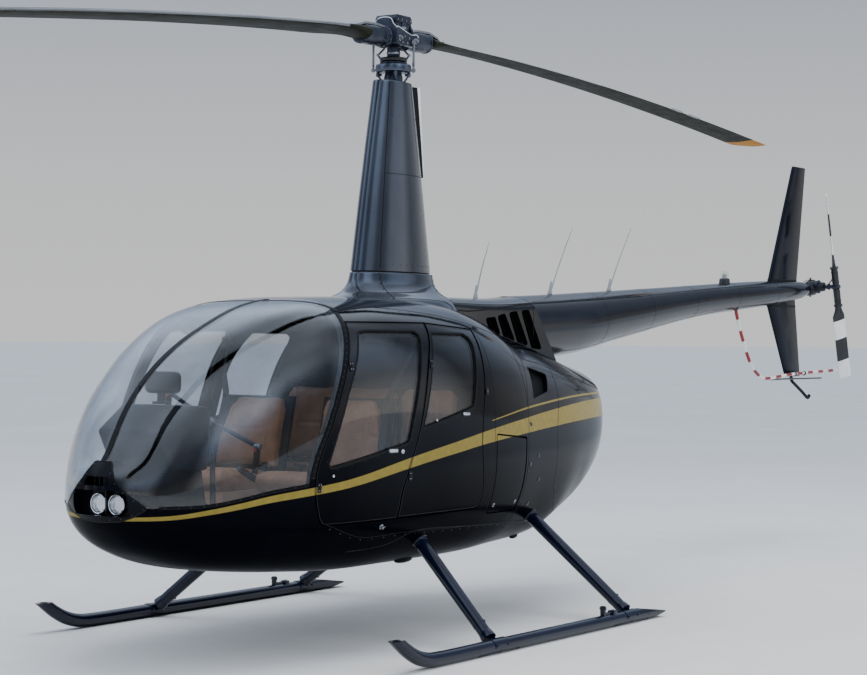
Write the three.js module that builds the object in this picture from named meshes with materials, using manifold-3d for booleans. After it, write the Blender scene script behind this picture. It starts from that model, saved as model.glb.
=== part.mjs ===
// Light turbine helicopter on skids. Units mm, +X nose, +Y port, +Z up.
// All tables are written in a frame with its origin on the ground under the
// rotor mast; SHIFT moves the finished group to the bottom centre of its box.
import * as THREE from 'three';
import { mergeVertices } from 'three/addons/utils/BufferGeometryUtils.js';
import Module from 'manifold-3d';

const wasm = await Module();
wasm.setup();

// ------------------------------------------------------------ dimensions
const SHIFT = [609.5, 0, 0];
const SKIN = 24;            // thickness of the body wall and of the doors
const GLASS = 6;            // thickness of the glazing
const GAP = 8;              // clearance around every hinged panel
const FIT = 0.4;            // gap between pieces that touch
const SEG = 32;             // points around one body section
const FLOOR_Z = 565;
const FRAME_X = 10;         // joint between cabin and rear body
const COWL_X = -438;        // joint between rear body and engine cowl
const MAST = { top: 3474, r: 29, bladeZ: 3346, R: 5030, azim: 1.6, droop: 378, tilt: 0.032 };
const TREAD = 1174;         // half distance between skid centres
const TUBE = 38;            // skid tube radius
const TAIL = { x: -5863, y: 217, z: 2049, R: 762, lean: 0.283 };

// x, bottom, widest height, top, half width, lower and upper exponent
const BODY = [
  [2447, 828, 871, 944, 65, 2.07, 1.70],
  [2413, 736, 868, 995, 172, 2.09, 1.82],
  [2354, 659, 856, 1071, 278, 2.21, 1.98],
  [2260, 584, 849, 1234, 380, 2.32, 2.21],
  [2195, 552, 851, 1319, 435, 2.36, 2.39],
  [2120, 524, 855, 1395, 487, 2.39, 2.60],
  [1920, 467, 869, 1548, 584, 2.50, 2.87],
  [1650, 430, 894, 1682, 672, 2.59, 3.57],
  [1480, 413, 911, 1752, 710, 2.63, 3.90],
  [1300, 399, 928, 1802, 733, 2.67, 4.11],
  [900, 373, 957, 1843, 745, 2.72, 3.97],
  [500, 367, 985, 1847, 745, 2.60, 3.57],
  [100, 364, 1003, 1839, 729, 2.54, 3.12],
  [-300, 359, 1002, 1793, 687, 2.38, 2.75],
  [-700, 372, 1003, 1685, 621, 2.20, 2.48],
  [-1139, 394, 1005, 1595, 536, 2.13, 2.47],
  [-1478, 472, 1011, 1512, 452, 1.90, 2.60],
  [-1767, 587, 1046, 1455, 364, 2.00, 2.60],
  [-2006, 743, 1086, 1405, 263, 2.05, 2.60],
  [-2145, 880, 1131, 1355, 154, 2.01, 2.60],
];

// side outlines as x, z
const POST = [[1208, 1790], [1265, 1697], [1378, 1470], [1499, 1210], [1615, 925], [1618, 870], [1604, 790], [1574, 722]];
const SPLIT = [[545, 1800], [560, 1703], [668, 1490], [790, 1131], [856, 994], [900, 905], [944, 802], [948, 640]];
const REAR = [[20, 1800], [45, 1668], [84, 1500], [117, 1351], [150, 1206], [163, 1035], [130, 788], [120, 640]];
const DOOR_TOP = 1700;
const DOOR_TOP_REAR = 1668;
const SILL = 690;
const WIN_FRONT = [[1208, 1655], [1130, 1663], [712, 1663], [682, 1640], [684, 1615], [748, 1460], [872, 1095], [890, 1075], [1505, 970], [1522, 990], [1383, 1327]];
const WIN_REAR = [[545, 1655], [190, 1650], [140, 1625], [132, 1585], [240, 1262], [262, 1244], [735, 1150], [745, 1170], [650, 1440], [560, 1640]];

// ------------------------------------------------------------ helpers
const group = new THREE.Group();
const clean = (g) => {
  const c = new THREE.BufferGeometry();
  c.setAttribute('position', g.getAttribute('position').clone());
  if (g.index) c.setIndex(g.index.clone());
  return mergeVertices(c, 1e-3);
};
const toM = (g) => {
  const c = clean(g);
  return new wasm.Manifold(new wasm.Mesh({
    numProp: 3,
    vertProperties: new Float32Array(c.getAttribute('position').array),
    triVerts: new Uint32Array(c.index.array),
  }));
};
const fromM = (m) => {
  const k = m.getMesh();
  const g = new THREE.BufferGeometry();
  const n = k.numProp;
  const v = k.vertProperties;
  const pos = new Float32Array((v.length / n) * 3);
  for (let i = 0; i < v.length / n; i++) for (let j = 0; j < 3; j++) pos[3 * i + j] = v[i * n + j];
  g.setAttribute('position', new THREE.BufferAttribute(pos, 3));
  g.setIndex(new THREE.BufferAttribute(new Uint32Array(k.triVerts), 1));
  return g;
};
const volume = (pts, idx) => {
  let s = 0;
  for (let i = 0; i < idx.length; i += 3) {
    const [a, b, c] = [pts[idx[i]], pts[idx[i + 1]], pts[idx[i + 2]]];
    s += a[0] * (b[1] * c[2] - b[2] * c[1]) - a[1] * (b[0] * c[2] - b[2] * c[0]) + a[2] * (b[0] * c[1] - b[1] * c[0]);
  }
  return s;
};
// closed solid through rings with the same number of points
const loft = (rings) => {
  const n = rings[0].length;
  const pts = rings.flat();
  const idx = [];
  for (let i = 0; i + 1 < rings.length; i++) for (let j = 0; j < n; j++) {
    const a = i * n + j, b = i * n + ((j + 1) % n), c = a + n, d = b + n;
    idx.push(a, b, d, a, d, c);
  }
  for (const [k, flip] of [[0, true], [rings.length - 1, false]]) {
    const r = rings[k];
    const m = [0, 1, 2].map((q) => r.reduce((s, p) => s + p[q], 0) / n);
    const ci = pts.push(m) - 1;
    for (let j = 0; j < n; j++) {
      const a = k * n + j, b = k * n + ((j + 1) % n);
      if (flip) idx.push(ci, b, a); else idx.push(ci, a, b);
    }
  }
  if (volume(pts, idx) < 0) for (let i = 0; i < idx.length; i += 3) [idx[i + 1], idx[i + 2]] = [idx[i + 2], idx[i + 1]];
  const g = new THREE.BufferGeometry();
  g.setAttribute('position', new THREE.BufferAttribute(new Float32Array(pts.flat()), 3));
  g.setIndex(idx);
  return g;
};
const box = (x0, x1, y0, y1, z0, z1) => {
  const g = new THREE.BoxGeometry(Math.abs(x1 - x0), Math.abs(y1 - y0), Math.abs(z1 - z0));
  g.translate((x0 + x1) / 2, (y0 + y1) / 2, (z0 + z1) / 2);
  return g;
};
// prism with an x-z outline between two y values
const prism = (poly, y0, y1) => {
  const s = new THREE.Shape(poly.map(([x, z]) => new THREE.Vector2(x, z)));
  const g = new THREE.ExtrudeGeometry(s, { depth: Math.abs(y1 - y0), bevelEnabled: false });
  g.rotateX(Math.PI / 2);
  g.translate(0, Math.max(y0, y1), 0);
  return g;
};
// prism with a y-z outline between two x values
const prismX = (poly, x0, x1) => {
  const a = poly.map(([y, z]) => [x0, y, z]);
  const b = poly.map(([y, z]) => [x1, y, z]);
  const s = new THREE.Shape(poly.map(([y, z]) => new THREE.Vector2(y, z)));
  const g = new THREE.ExtrudeGeometry(s, { depth: Math.abs(x1 - x0), bevelEnabled: false });
  const m = new THREE.Matrix4().makeBasis(new THREE.Vector3(0, 1, 0), new THREE.Vector3(0, 0, 1), new THREE.Vector3(1, 0, 0));
  g.applyMatrix4(m);
  g.translate(Math.min(x0, x1), 0, 0);
  return g;
};
const ringAt = (p, t, r, n, up = new THREE.Vector3(0, 0, 1), sy = 1) => {
  const T = t.clone().normalize();
  let U = up.clone().sub(T.clone().multiplyScalar(up.dot(T)));
  if (U.length() < 1e-4) U = new THREE.Vector3(1, 0, 0).sub(T.clone().multiplyScalar(T.x));
  U.normalize();
  const W = new THREE.Vector3().crossVectors(T, U);
  const out = [];
  for (let j = 0; j < n; j++) {
    const a = (j / n) * 2 * Math.PI;
    const q = p.clone().addScaledVector(U, Math.cos(a) * r).addScaledVector(W, Math.sin(a) * r * sy);
    out.push([q.x, q.y, q.z]);
  }
  return out;
};
// round bar through points, radius may be a list
const bar = (path, r, n = 12, up) => {
  const P = path.map((p) => new THREE.Vector3(...p));
  const rings = P.map((p, i) => {
    const a = P[Math.max(i - 1, 0)], b = P[Math.min(i + 1, P.length - 1)];
    return ringAt(p, b.clone().sub(a), Array.isArray(r) ? r[i] : r, n, up);
  });
  return loft(rings);
};
const mirrorY = (g) => {
  const c = g.clone();
  const p = c.getAttribute('position');
  for (let i = 0; i < p.count; i++) p.setY(i, -p.getY(i));
  const k = c.index.array;
  for (let i = 0; i < k.length; i += 3) { const t = k[i + 1]; k[i + 1] = k[i + 2]; k[i + 2] = t; }
  return c;
};
const shiftX = (line, d) => line.map(([x, z]) => [x + d, z]);
const cut = (...m) => m.slice(1).reduce((a, b) => a.subtract(b), m[0]);
const both = (f) => f(1).add(f(-1));
const PAINT = {
  black: ['#0b0d14', 0.12, 0.0], dark: ['#15171c', 0.35, 0.0], metal: ['#8b8e93', 0.35, 0.9],
  tan: ['#a9744a', 0.6, 0.0], glass: ['#7f93a3', 0.05, 0.0], grey: ['#2b2e33', 0.4, 0.2],
  white: ['#e8e8e4', 0.35, 0.0], carpet: ['#33302c', 0.9, 0.0], steel: ['#a7aab0', 0.3, 1.0], blade: ['#23241f', 0.5, 0.0],
};
const add = (name, geometry, paint) => {
  const g = geometry.isBufferGeometry ? clean(geometry) : fromM(geometry);
  g.computeVertexNormals();
  const [color, roughness, metalness] = PAINT[paint];
  const material = new THREE.MeshStandardMaterial({ color, roughness, metalness });
  material.name = name;
  const mesh = new THREE.Mesh(g, material);
  mesh.name = name;
  group.add(mesh);
};

// ------------------------------------------------------------ body surface
const section = (row, t, k) => {
  const [x, zb, zw, zt, w, nb, nt] = row;
  const W = Math.max(w - t, 6);
  const lo = Math.min(zb + t, zw - 4), hi = Math.max(zt - t, zw + 4);
  const pts = [];
  for (let j = 0; j < SEG; j++) {
    const a = (j / SEG) * 2 * Math.PI, c = Math.cos(a), s = Math.sin(a);
    const n = s >= 0 ? nt : nb;
    const y = Math.sign(c) * W * Math.pow(Math.abs(c), 2 / n);
    const z = s >= 0 ? zw + (hi - zw) * Math.pow(Math.abs(s), 2 / n) : zw - (zw - lo) * Math.pow(Math.abs(s), 2 / n);
    pts.push([x + k * t, Math.abs(c) < 1e-9 ? 0 : y, z]);
  }
  return pts;
};
const body = (t) => {
  const n = BODY.length;
  return toM(loft(BODY.map((row, i) => section(row, t, i < 4 ? -(1 - i / 4) : i > n - 4 ? (i - n + 4) / 3 : 0))));
};
const OUT = body(0);
const IN = body(SKIN);
const SHELL = OUT.subtract(IN);
const B = (...a) => toM(box(...a));
const P = (poly, y0, y1) => toM(prism(poly, y0, y1));
const ALL = 3000;

// windshield zone: ahead of the post line and above the nose shell
const NOSE_TOP = [[2600, 800], [2361, 803], [2167, 811], [1855, 869], [1645, 893]];
const POST_EDGE = POST.slice(0, 5).reverse();
const glassZone = (d) => P([...NOSE_TOP.slice(0, 4).map(([x, z]) => [x, z + FIT]), [1645 + d, 893 + FIT],
  ...shiftX(POST_EDGE, 22 + d), [1132 + d, 1830], [1132 + d, 2100], [2600, 2100]], -1200, 1200);
// triangular lamp housing on the centre line, y-z outline
const HOUSE = [[-52, 1022], [-105, 940], [-176, 868], [-262, 803], [-190, 762], [-120, 738], [0, 730], [120, 738], [190, 762], [262, 803], [176, 868], [105, 940], [52, 1022]];
const houseZone = (d) => toM(prismX(HOUSE.map(([y, z]) => [y * (1 + d / 100), 868 + (z - 868) * (1 + d / 100)]), 2330, 2600));
const noTub = (x0, x1) => B(x0, x1, -1200, 1200, 0, 2400);

// door outlines grown by g
const frontDoor = (g) => [
  ...POST.slice(1).map(([x, z]) => [x - 16 + g, z]).filter(([, z]) => z < DOOR_TOP - 5),
  [1520 + g, SILL + (g ? 0 : 2) - g], [950 - g, SILL + (g ? 0 : 2) - g],
  ...[...SPLIT].reverse().filter(([, z]) => z < DOOR_TOP - 8 && z > SILL + 8).map(([x, z]) => [x + 4 - g + (g ? 0 : Math.max(0, (z - 1100) / 70)), z]),
  [566 - g + (g ? 0 : 9), DOOR_TOP + g], [1249 + g, DOOR_TOP + g],
];
const rearDoor = (g) => [
  [557 + g, DOOR_TOP + g],
  // the corner of the front edge is eased, so that it never meets the door ahead
  ...SPLIT.filter(([, z]) => z < DOOR_TOP - 8 && z > SILL + 8).map(([x, z]) => [x - 4 + g - (g === 0 && z < 850 ? 7 : 0), z]),
  [(g ? 942 : 939) + g, SILL + (g ? 0 : 9) - g], [170 - g, SILL - g],
  ...[...REAR].reverse().filter(([, z]) => z < 1660 && z > SILL + 8).map(([x, z]) => [x - g + (g ? 0 : Math.max(0, (z - 1200) / 45)), z]),
  [47 - g + (g ? 0 : 11), DOOR_TOP_REAR + g],
];
const BAG = (g) => [[-12 + g, 650 - g], [-12 + g, 1085 + g * 1.3], [-400 - g + (g ? 0 : 4), 1050 + g * 1.3], [-400 - g + (g ? 0 : 14), 640 - g]];

const side = (poly, s) => (s > 0 ? P(poly, 60, 1200) : P(poly, -1200, -60));

// ---- belly tub with the cabin floor and nose shell
const CABIN = IN.intersect(B(FRAME_X - 5, 2600, -1200, 1200, FLOOR_Z, 2400));
const doorBoth = both((s) => side(frontDoor(GAP), s).add(side(rearDoor(GAP), s)));
const tubZone = P([[2600, 200], [2600, 800 - FIT], [2361, 803 - FIT], [2167, 811 - FIT], [1855, 869 - FIT], [1645 + FIT, 893 - FIT], [1645 + FIT, 690],
  [FRAME_X, 690], [FRAME_X, 200]], -1200, 1200);
const keepTub = OUT.intersect(tubZone).subtract(CABIN);
add('belly_tub', cut(keepTub, houseZone(1), doorBoth), 'black');

// ---- roof, posts and rear frame
const frameZone = P([[1645, 690 + FIT], [1645, 893], ...shiftX(POST_EDGE, 22), [1132, 1830], [1132, 2100],
  [FRAME_X + FIT, 2100], [FRAME_X + FIT, 690 + FIT]], -1200, 1200);
const POST_IN = body(30).subtract(body(56));
const postLine = (w) => [...SPLIT.map(([x, z]) => [x + w, z]), ...[...SPLIT].reverse().map(([x, z]) => [x - w, z])];
const pillar = POST_IN.intersect(P(postLine(22), -1200, 1200)).intersect(B(500, 1000, -1200, 1200, FLOOR_Z + FIT, 1800));
const roofRib = IN.add(B(0, 1, 0, 1, 900, 901)).subtract(body(56)).intersect(B(500, 600, -1200, 1200, 1712, 2000));
const frame = SHELL.intersect(frameZone).subtract(doorBoth);
add('cabin_frame', frame.add(roofRib).add(pillar.intersect(B(300, 1100, -1200, 1200, FLOOR_Z + FIT, 1900))), 'black');

// ---- rear bulkhead of the cabin
add('rear_bulkhead', body(31).intersect(P([[11, FLOOR_Z + FIT], [31, FLOOR_Z + FIT], [31, 1370], [181, 1370], [181, 1812], [161, 1812], [161, 1390], [11, 1390]], -1200, 1200)), 'grey');

// ---- rear body between cabin and engine cowl, port side with the locker door
const rearRing = SHELL.intersect(B(COWL_X, FRAME_X - FIT, -1200, 1200, 0, 2400));
add('rear_body', rearRing.subtract(side(BAG(GAP), 1)), 'black');
add('locker_door', SHELL.intersect(side(BAG(0), 1)), 'black');

// ---- engine cowl
const VENT = [[-606, 1459], [-895, 1412], [-805, 1306], [-542, 1271]];
const cowl = SHELL.intersect(B(-2400, COWL_X - FIT, -1200, 1200, 0, 2400));
add('engine_cowl', cowl.subtract(both((s) => side(VENT, s))).subtract(toM(bar([[-2050, 0, 1239], [-2300, 0, 1243]], 74, 18))), 'black');

// ---- doors and door windows
for (const [s, tag] of [[1, 'left'], [-1, 'right']]) {
  for (const [nm, door, win] of [['front_door', frontDoor, WIN_FRONT], ['rear_door', rearDoor, WIN_REAR]]) {
    const slab = SHELL.intersect(side(door(0), s));
    add(`${nm}_${tag}`, slab.subtract(side(win, s)), 'black');
    const cx = win.reduce((a, p) => a + p[0], 0) / win.length, cz = win.reduce((a, p) => a + p[1], 0) / win.length;
    const small = win.map(([x, z]) => [x + Math.sign(cx - x) * FIT, z + Math.sign(cz - z) * FIT]);
    const pane = body(8).subtract(body(8 + GLASS)).intersect(side(small, s));
    add(`${nm}_window_${tag}`, pane, 'glass');
  }
}

// ---- windshield halves and centre strip
const glassSkin = OUT.subtract(body(GLASS)).intersect(glassZone(FIT)).subtract(houseZone(1));
add('windshield_left', glassSkin.intersect(B(1000, 2600, 16, 1200, 0, 2400)), 'glass');
add('windshield_right', glassSkin.intersect(B(1000, 2600, -1200, -16, 0, 2400)), 'glass');
const strip = body(-2).subtract(body(GLASS + 4)).intersect(glassZone(FIT)).subtract(houseZone(1)).intersect(B(1000, 2600, -16 + FIT, 16 - FIT, 0, 2400));
add('windshield_strip', strip, 'dark');

// ---- lamp housing with two lamps
const house = OUT.intersect(houseZone(0));
const lampHole = (s, r, x0, x1) => { const g = new THREE.CylinderGeometry(r, r, x1 - x0, 20); g.rotateZ(Math.PI / 2); g.translate((x0 + x1) / 2, s * 70, 817); return toM(g); };
add('lamp_housing', both((s) => lampHole(s, 50, 2360, 2428)).add(house), 'dark');

// ------------------------------------------------------------ upper works
const GROWN = body(-FIT);
const deckRing = (x, w, top, sh, bot) => [[x, -w, bot], [x, -w, sh], [x, -w * 0.86, sh + (top - sh) * 0.62], [x, -w * 0.5, sh + (top - sh) * 0.92], [x, 0, top],
  [x, w * 0.5, sh + (top - sh) * 0.92], [x, w * 0.86, sh + (top - sh) * 0.62], [x, w, sh], [x, w, bot]];
const DECK = [
  [330, 120, 1856, 1820, 1600], [150, 200, 1866, 1815, 1560], [-100, 235, 1872, 1800, 1540], [-400, 240, 1866, 1790, 1500],
  [-800, 232, 1864, 1780, 1480], [-1230, 220, 1880, 1790, 1470], [-1600, 210, 1898, 1800, 1470],
];
const deckFull = toM(loft(DECK.map((r) => deckRing(...r))));
const deckEnd = P([[600, 1300], [-1500, 1300], [-1492, 1490], [-1228, 1812], [-1210, 2000], [600, 2000]], -600, 600);
const slot = (i, s) => {
  const a = -690 - i * 148;
  const y0 = s > 0 ? 190 : -400, y1 = s > 0 ? 400 : -190;
  return P([[a, 1650], [a + 40, 1790], [a - 60, 1795], [a - 105, 1640 - i * 18]], y0, y1);
};
let deck = deckFull.intersect(deckEnd).subtract(GROWN);
for (const s of [1, -1]) for (let i = 0; i < 4; i++) deck = deck.subtract(slot(i, s));

const footRing = (z, l, w, cx) => { const r = []; for (let j = 0; j < 28; j++) { const a = (j / 28) * 2 * Math.PI; r.push([cx + l * Math.cos(a), w * Math.sin(a), z]); } return r; };
const footFull = toM(loft([footRing(1780, 560, 300, 0), footRing(1838, 520, 260, 0), footRing(1880, 430, 190, 0), footRing(1930, 385, 148, 0), footRing(1992, 366, 134, 0)]));
add('mast_foot', footFull.subtract(GROWN), 'grey');
add('intake_fairing', deck.subtract(toM(loft([footRing(1700, 570, 310, 0), footRing(1780.5, 560.5, 300.5, 0), footRing(1838, 520.6, 260.6, 0), footRing(1880, 430.6, 190.6, 0), footRing(1930, 385.6, 148.6, 0), footRing(1992, 366.6, 134.6, 0), footRing(2100, 366.6, 134.6, 0)]))), 'black');

const foil = (z, c, t, cx) => {
  const r = [];
  for (let j = 0; j < 28; j++) {
    const a = (j / 28) * 2 * Math.PI, x = Math.cos(a);
    r.push([cx + (c / 2) * x, (t / 2) * Math.sin(a) * (0.93 + 0.13 * x), z]);
  }
  return r;
};
add('mast_fairing', loft([foil(1992 + FIT, 724, 262, 0), foil(2560, 530, 210, 0), foil(3125, 330, 158, 0)]), 'grey');

// tail boom, centre heights and radii
const BOOM = [[-1150, 1676, 205], [-1900, 1714, 199], [-2530, 1775, 170], [-3900, 1905, 114], [-4910, 1972, 98], [-5560, 2012, 72], [-5700, 2022, 56], [-5778, 2027, 40]];
const boomFull = toM(loft(BOOM.map(([x, z, r]) => ringAt(new THREE.Vector3(x, 0, z), new THREE.Vector3(-1, 0, 0), r, 28))));
const boomCut = P([[600, 1200], [-1500.5, 1200], [-1492.6, 1489.8], [-1228.5, 1812.5], [-1210.6, 2300], [600, 2300]], -600, 600);
add('tail_boom', cut(boomFull, boomCut, GROWN), 'black');

// ------------------------------------------------------------ tail surfaces
const finRing = (x0, x1, z, t, y = 0) => {
  const r = [], c = (x0 - x1) / 2, m = (x0 + x1) / 2;
  for (let j = 0; j < 16; j++) { const a = (j / 16) * 2 * Math.PI; r.push([m + c * Math.cos(a), y + (t / 2) * Math.sin(a) * (0.85 + 0.3 * Math.cos(a)), z]); }
  return r;
};
const BOOM_GROWN = toM(loft(BOOM.map(([x, z, r]) => ringAt(new THREE.Vector3(x, 0, z), new THREE.Vector3(-1, 0, 0), r + FIT, 28))));
add('upper_fin', toM(loft([finRing(-5010, -5560, 1985, 62), finRing(-5062, -5583, 2095, 58), finRing(-5485, -5733, 2997, 34)])).subtract(BOOM_GROWN), 'black');
add('lower_fin', toM(loft([finRing(-5000, -5545, 1985, 62), finRing(-5053, -5565, 1871, 58), finRing(-5375, -5656, 1330, 36)])).subtract(BOOM_GROWN), 'black');
const stabRing = (y, x0, x1, t) => { const r = [], c = (x0 - x1) / 2, m = (x0 + x1) / 2; for (let j = 0; j < 16; j++) { const a = (j / 16) * 2 * Math.PI; r.push([m + c * Math.cos(a), y, 1982 + (t / 2) * Math.sin(a) * (0.85 + 0.3 * Math.cos(a))]); } return r; };
add('stabiliser', toM(loft([stabRing(0, -4730, -4990, 44), stabRing(-700, -4745, -4975, 34)])).subtract(BOOM_GROWN), 'black');

// tail gearbox with the output tube
const gearCase = bar([[-5780, 0, 2028], [-5781, 0, 2028], [-5806, 0, 2031], [-5890, 0, 2045], [-5920, 0, 2049]], [40, 40, 56, 62, 34], 18);
const outTube = bar([[TAIL.x, 0, TAIL.z], [TAIL.x, 118, TAIL.z]], [42, 34], 18);
add('tail_gearbox', toM(gearCase).add(toM(outTube)), 'metal');
// tail rotor, blades along the leaning line, pitch links to the hub
const TR = new THREE.Matrix4().makeRotationY(TAIL.lean).setPosition(TAIL.x, TAIL.y, TAIL.z);
const trPut = (g) => { const c = clean(g); c.applyMatrix4(TR); return c; };
const hubBar = bar([[0, -98, 0], [0, 34, 0]], [16, 16], 16);
const yoke = box(-26, 26, -16, 16, -120, 120);
add('tail_rotor_hub', trPut(fromM(toM(clean(hubBar)).add(toM(yoke)))), 'metal');
const trRing = (z, c, t, pitch, off) => {
  const r = [], n = 14, cp = Math.cos(pitch), sp = Math.sin(pitch);
  for (let j = 0; j < n; j++) {
    const a = (j / n) * 2 * Math.PI;
    const u = off + (c / 2) * Math.cos(a), v = (t / 2) * Math.sin(a) * (0.85 + 0.3 * Math.cos(a));
    r.push([u * cp - v * sp, u * sp + v * cp, z]);
  }
  return r;
};
for (const [s, tag] of [[1, 'a'], [-1, 'b']]) {
  const p = 0.42 * s;
  add(`tail_blade_${tag}`, trPut(loft([trRing(s * (120 + FIT), 58, 34, p, 0), trRing(s * 190, 62, 30, p, 0), trRing(s * 230, 126, 20, p, 8), trRing(s * TAIL.R, 126, 14, p, 8)])), 'white');
}
// tail skid, curled rod
add('tail_skid', bar([[-5493, 0, 1325 - 4], [-5500, 0, 1296], [-5560, 0, 1268], [-5700, 0, 1205], [-5790, 0, 1160], [-5822, 0, 1152], [-5842, 0, 1172]], 11, 10), 'dark');
// guard rail beside the tail rotor
add('guard_rail', toM(bar([[-4388, 46, 1880], [-4398, 50, 1812], [-4480, 52, 1656], [-4640, 56, 1432], [-4760, 58, 1354], [-4830, 60, 1330], [-4900, 62, 1322], [-5320, 72, 1348], [-6250, 98, 1377]], 13, 10)).subtract(BOOM_GROWN), 'white');
// beacon
const bc = new THREE.CylinderGeometry(30, 42, 50, 16); bc.rotateX(Math.PI / 2); bc.translate(-4294, 0, 2052);
const bl = new THREE.CylinderGeometry(22, 30, 50, 16); bl.rotateX(Math.PI / 2); bl.translate(-4294, 0, 2098);
add('beacon', toM(bc).add(toM(bl)).subtract(BOOM_GROWN), 'glass');

// ------------------------------------------------------------ main rotor
add('swashplate', (() => { const g = new THREE.CylinderGeometry(100, 104, 96, 28); g.rotateX(Math.PI / 2); g.translate(0, 0, 3213); const c = new THREE.CylinderGeometry(46, 60, 40, 24); c.rotateX(Math.PI / 2); c.translate(0, 0, 3146); return cut(toM(g).add(toM(c)), toM(bar([[0, 0, 3000], [0, 0, 3400]], MAST.r + 6, 24))); })(), 'metal');
const RZ = (g) => { const c = clean(g); c.rotateZ((MAST.azim * Math.PI) / 180); return c; };
const mastBar = toM(bar([[0, 0, 3126], [0, 0, 3300]], MAST.r, 20));
const hubBody = toM(box(-150, 150, -62, 62, 3292, 3400)).add(toM(box(-78, 78, -104, 104, 3300, 3388))).add(toM(bar([[0, 0, 3290], [0, 0, MAST.top]], [62, 48], 20)));
const links = both((s) => toM(bar([[s * 60, s * 98, 3268], [s * 60, s * 98, 3372]], 9, 10))).add(both((s) => toM(box(s * 60 - 16, s * 60 + 16, s * 40, s * 110, 3340, 3372))));
add('rotor_hub', RZ(fromM(hubBody.add(mastBar).add(links))), 'metal');
const blRing = (x, c, t, z, pitch, off) => {
  const r = [], n = 16, cp = Math.cos(pitch), sp = Math.sin(pitch);
  for (let j = 0; j < n; j++) {
    const a = (j / n) * 2 * Math.PI;
    const u = off + (c / 2) * Math.cos(a), v = (t / 2) * Math.sin(a) * (0.85 + 0.3 * Math.cos(a));
    r.push([x, u * cp - v * sp, z + u * sp + v * cp]);
  }
  return r;
};
// s is +1 for the forward blade and -1 for the aft one: the rotor rests tilted forward
const drop = (r, s) => MAST.bladeZ - MAST.droop * Math.pow((r - 300) / (MAST.R - 300), 1.515) - s * MAST.tilt * r;
const round = (x, r, z) => blRing(x, 2 * r, 2 * r / 0.86, z, 0, 0);
const bladeFull = (s) => {
  const g = loft([
    round(150 + FIT, 62, MAST.bladeZ - s * 5), round(172, 62, MAST.bladeZ - s * 5), round(178, 54, MAST.bladeZ - s * 6), round(330, 56, MAST.bladeZ - s * 10), blRing(430, 130, 66, MAST.bladeZ - 3 - s * 14, 0.04, 0),
    ...[560, 800, 1500, 2400, 3300, 4200, 4760, MAST.R].map((x, i) => blRing(x, i === 0 ? 200 : i > 6 ? 200 : 262, i === 0 ? 40 : 30, drop(x, s), 0.07 - i * 0.008, i > 6 ? -28 : 0)),
  ]);
  return s > 0 ? RZ(g) : RZ(g.rotateZ(Math.PI));
};
add('main_blade_a', bladeFull(1), 'blade');
add('main_blade_b', bladeFull(-1), 'blade');

// ------------------------------------------------------------ landing gear
const STRUTS = [['front', [699, 1109, 90], [585, 642, 500]], ['rear', [-696, 1133, 90], [-759, 572, 500]]];
for (const [s, tag] of [[1, 'left'], [-1, 'right']]) {
  const y = s * TREAD;
  const full = toM(bar([[-1120, y, TUBE], [1230, y, TUBE], [1330, y, 44], [1425, y, 68], [1515, y, 112], [1600, y, 168], [1690, y, 230]], [TUBE, TUBE, TUBE, TUBE, 36, 33, 30], 16));
  const toe = P([[1400, 168], [1400, 400], [1800, 400], [1800, 168]], y - 80, y + 80);
  const heel = P([[-800, 80], [-820, 73], [-1090, 37], [-1090, 29], [-940, -1], [-940, -60], [-1300, -60], [-1300, 80]], y - 80, y + 80);
  const post = toM(box(-540, -500, y - 22, y + 22, 60, 94)).add(toM(box(-520, -402, y - 9, y + 9, 72, 88))).add(toM(box(-424, -400, y - 14, y + 14, 70, 128)));
  add(`skid_${tag}`, full.subtract(toe).subtract(heel).add(post), 'black');
  for (const [nm, lo, hi] of STRUTS) {
    const at = (k) => [lo[0] + (hi[0] - lo[0]) * k, s * (lo[1] + (hi[1] - lo[1]) * k), lo[2] + (hi[2] - lo[2]) * k];
    const g = toM(bar([at(-0.07), at(0.1), at(1), at(1.22)], [34, 35, 38, 39], 14));
    const skidCut = toM(bar([[-1110, y, TUBE], [1230, y, TUBE]], TUBE + FIT, 32));
    add(`strut_${nm}_${tag}`, cut(g, GROWN, skidCut), 'black');
  }
}

// ------------------------------------------------------------ cabin inside
const TRIM = body(36);
const seat = (x, y0, y1, back) => {
  const base = [[x + 20, FLOOR_Z + FIT], [x + 480, FLOOR_Z + FIT], [x + 480, 800], [x + 515, 890], [x + 485, 932], [x + 20, 900], [x - 70, back], [x - 150, back], [x - 60, 860], [x - 20, 800]];
  return P(base, y0, y1).intersect(TRIM);
};
add('seat_left', seat(905, 95, 590, 1310), 'tan');
add('seat_right', seat(905, -590, -95, 1310), 'tan');
add('rear_bench', P([[34, FLOOR_Z + FIT], [560, FLOOR_Z + FIT], [585, 900], [560, 930], [250, 905], [235, 1365], [34, 1365]], -610, 610).intersect(TRIM), 'tan');
const pedestal = P([[1660, FLOOR_Z + FIT], [2050, FLOOR_Z + FIT], [2150, 760], [2130, 1010], [1840, 1010], [1800, 800], [1660, 700]], -150, 150);
const hood = P([[1850, 960], [2120, 960], [2225, 1160], [2045, 1285], [1870, 1280], [1830, 1262]], -205, 205);
add('console', pedestal.add(hood).intersect(body(34)), 'dark');
const stick = toM(bar([[1572, 0, FLOOR_Z + FIT], [1578, 0, 850], [1588, 0, 1192]], [17, 15, 15], 10));
const cross = toM(bar([[1580, -300, 1334], [1588, 0, 1190], [1580, 300, 1066]], 12, 10, new THREE.Vector3(1, 0, 0)));
const grips = toM(bar([[1580, 296, 1078], [1570, 268, 935]], 17, 10)).add(toM(bar([[1580, -296, 1344], [1570, -316, 1200]], 17, 10)));
add('cyclic', stick.add(cross).add(grips), 'dark');

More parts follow.
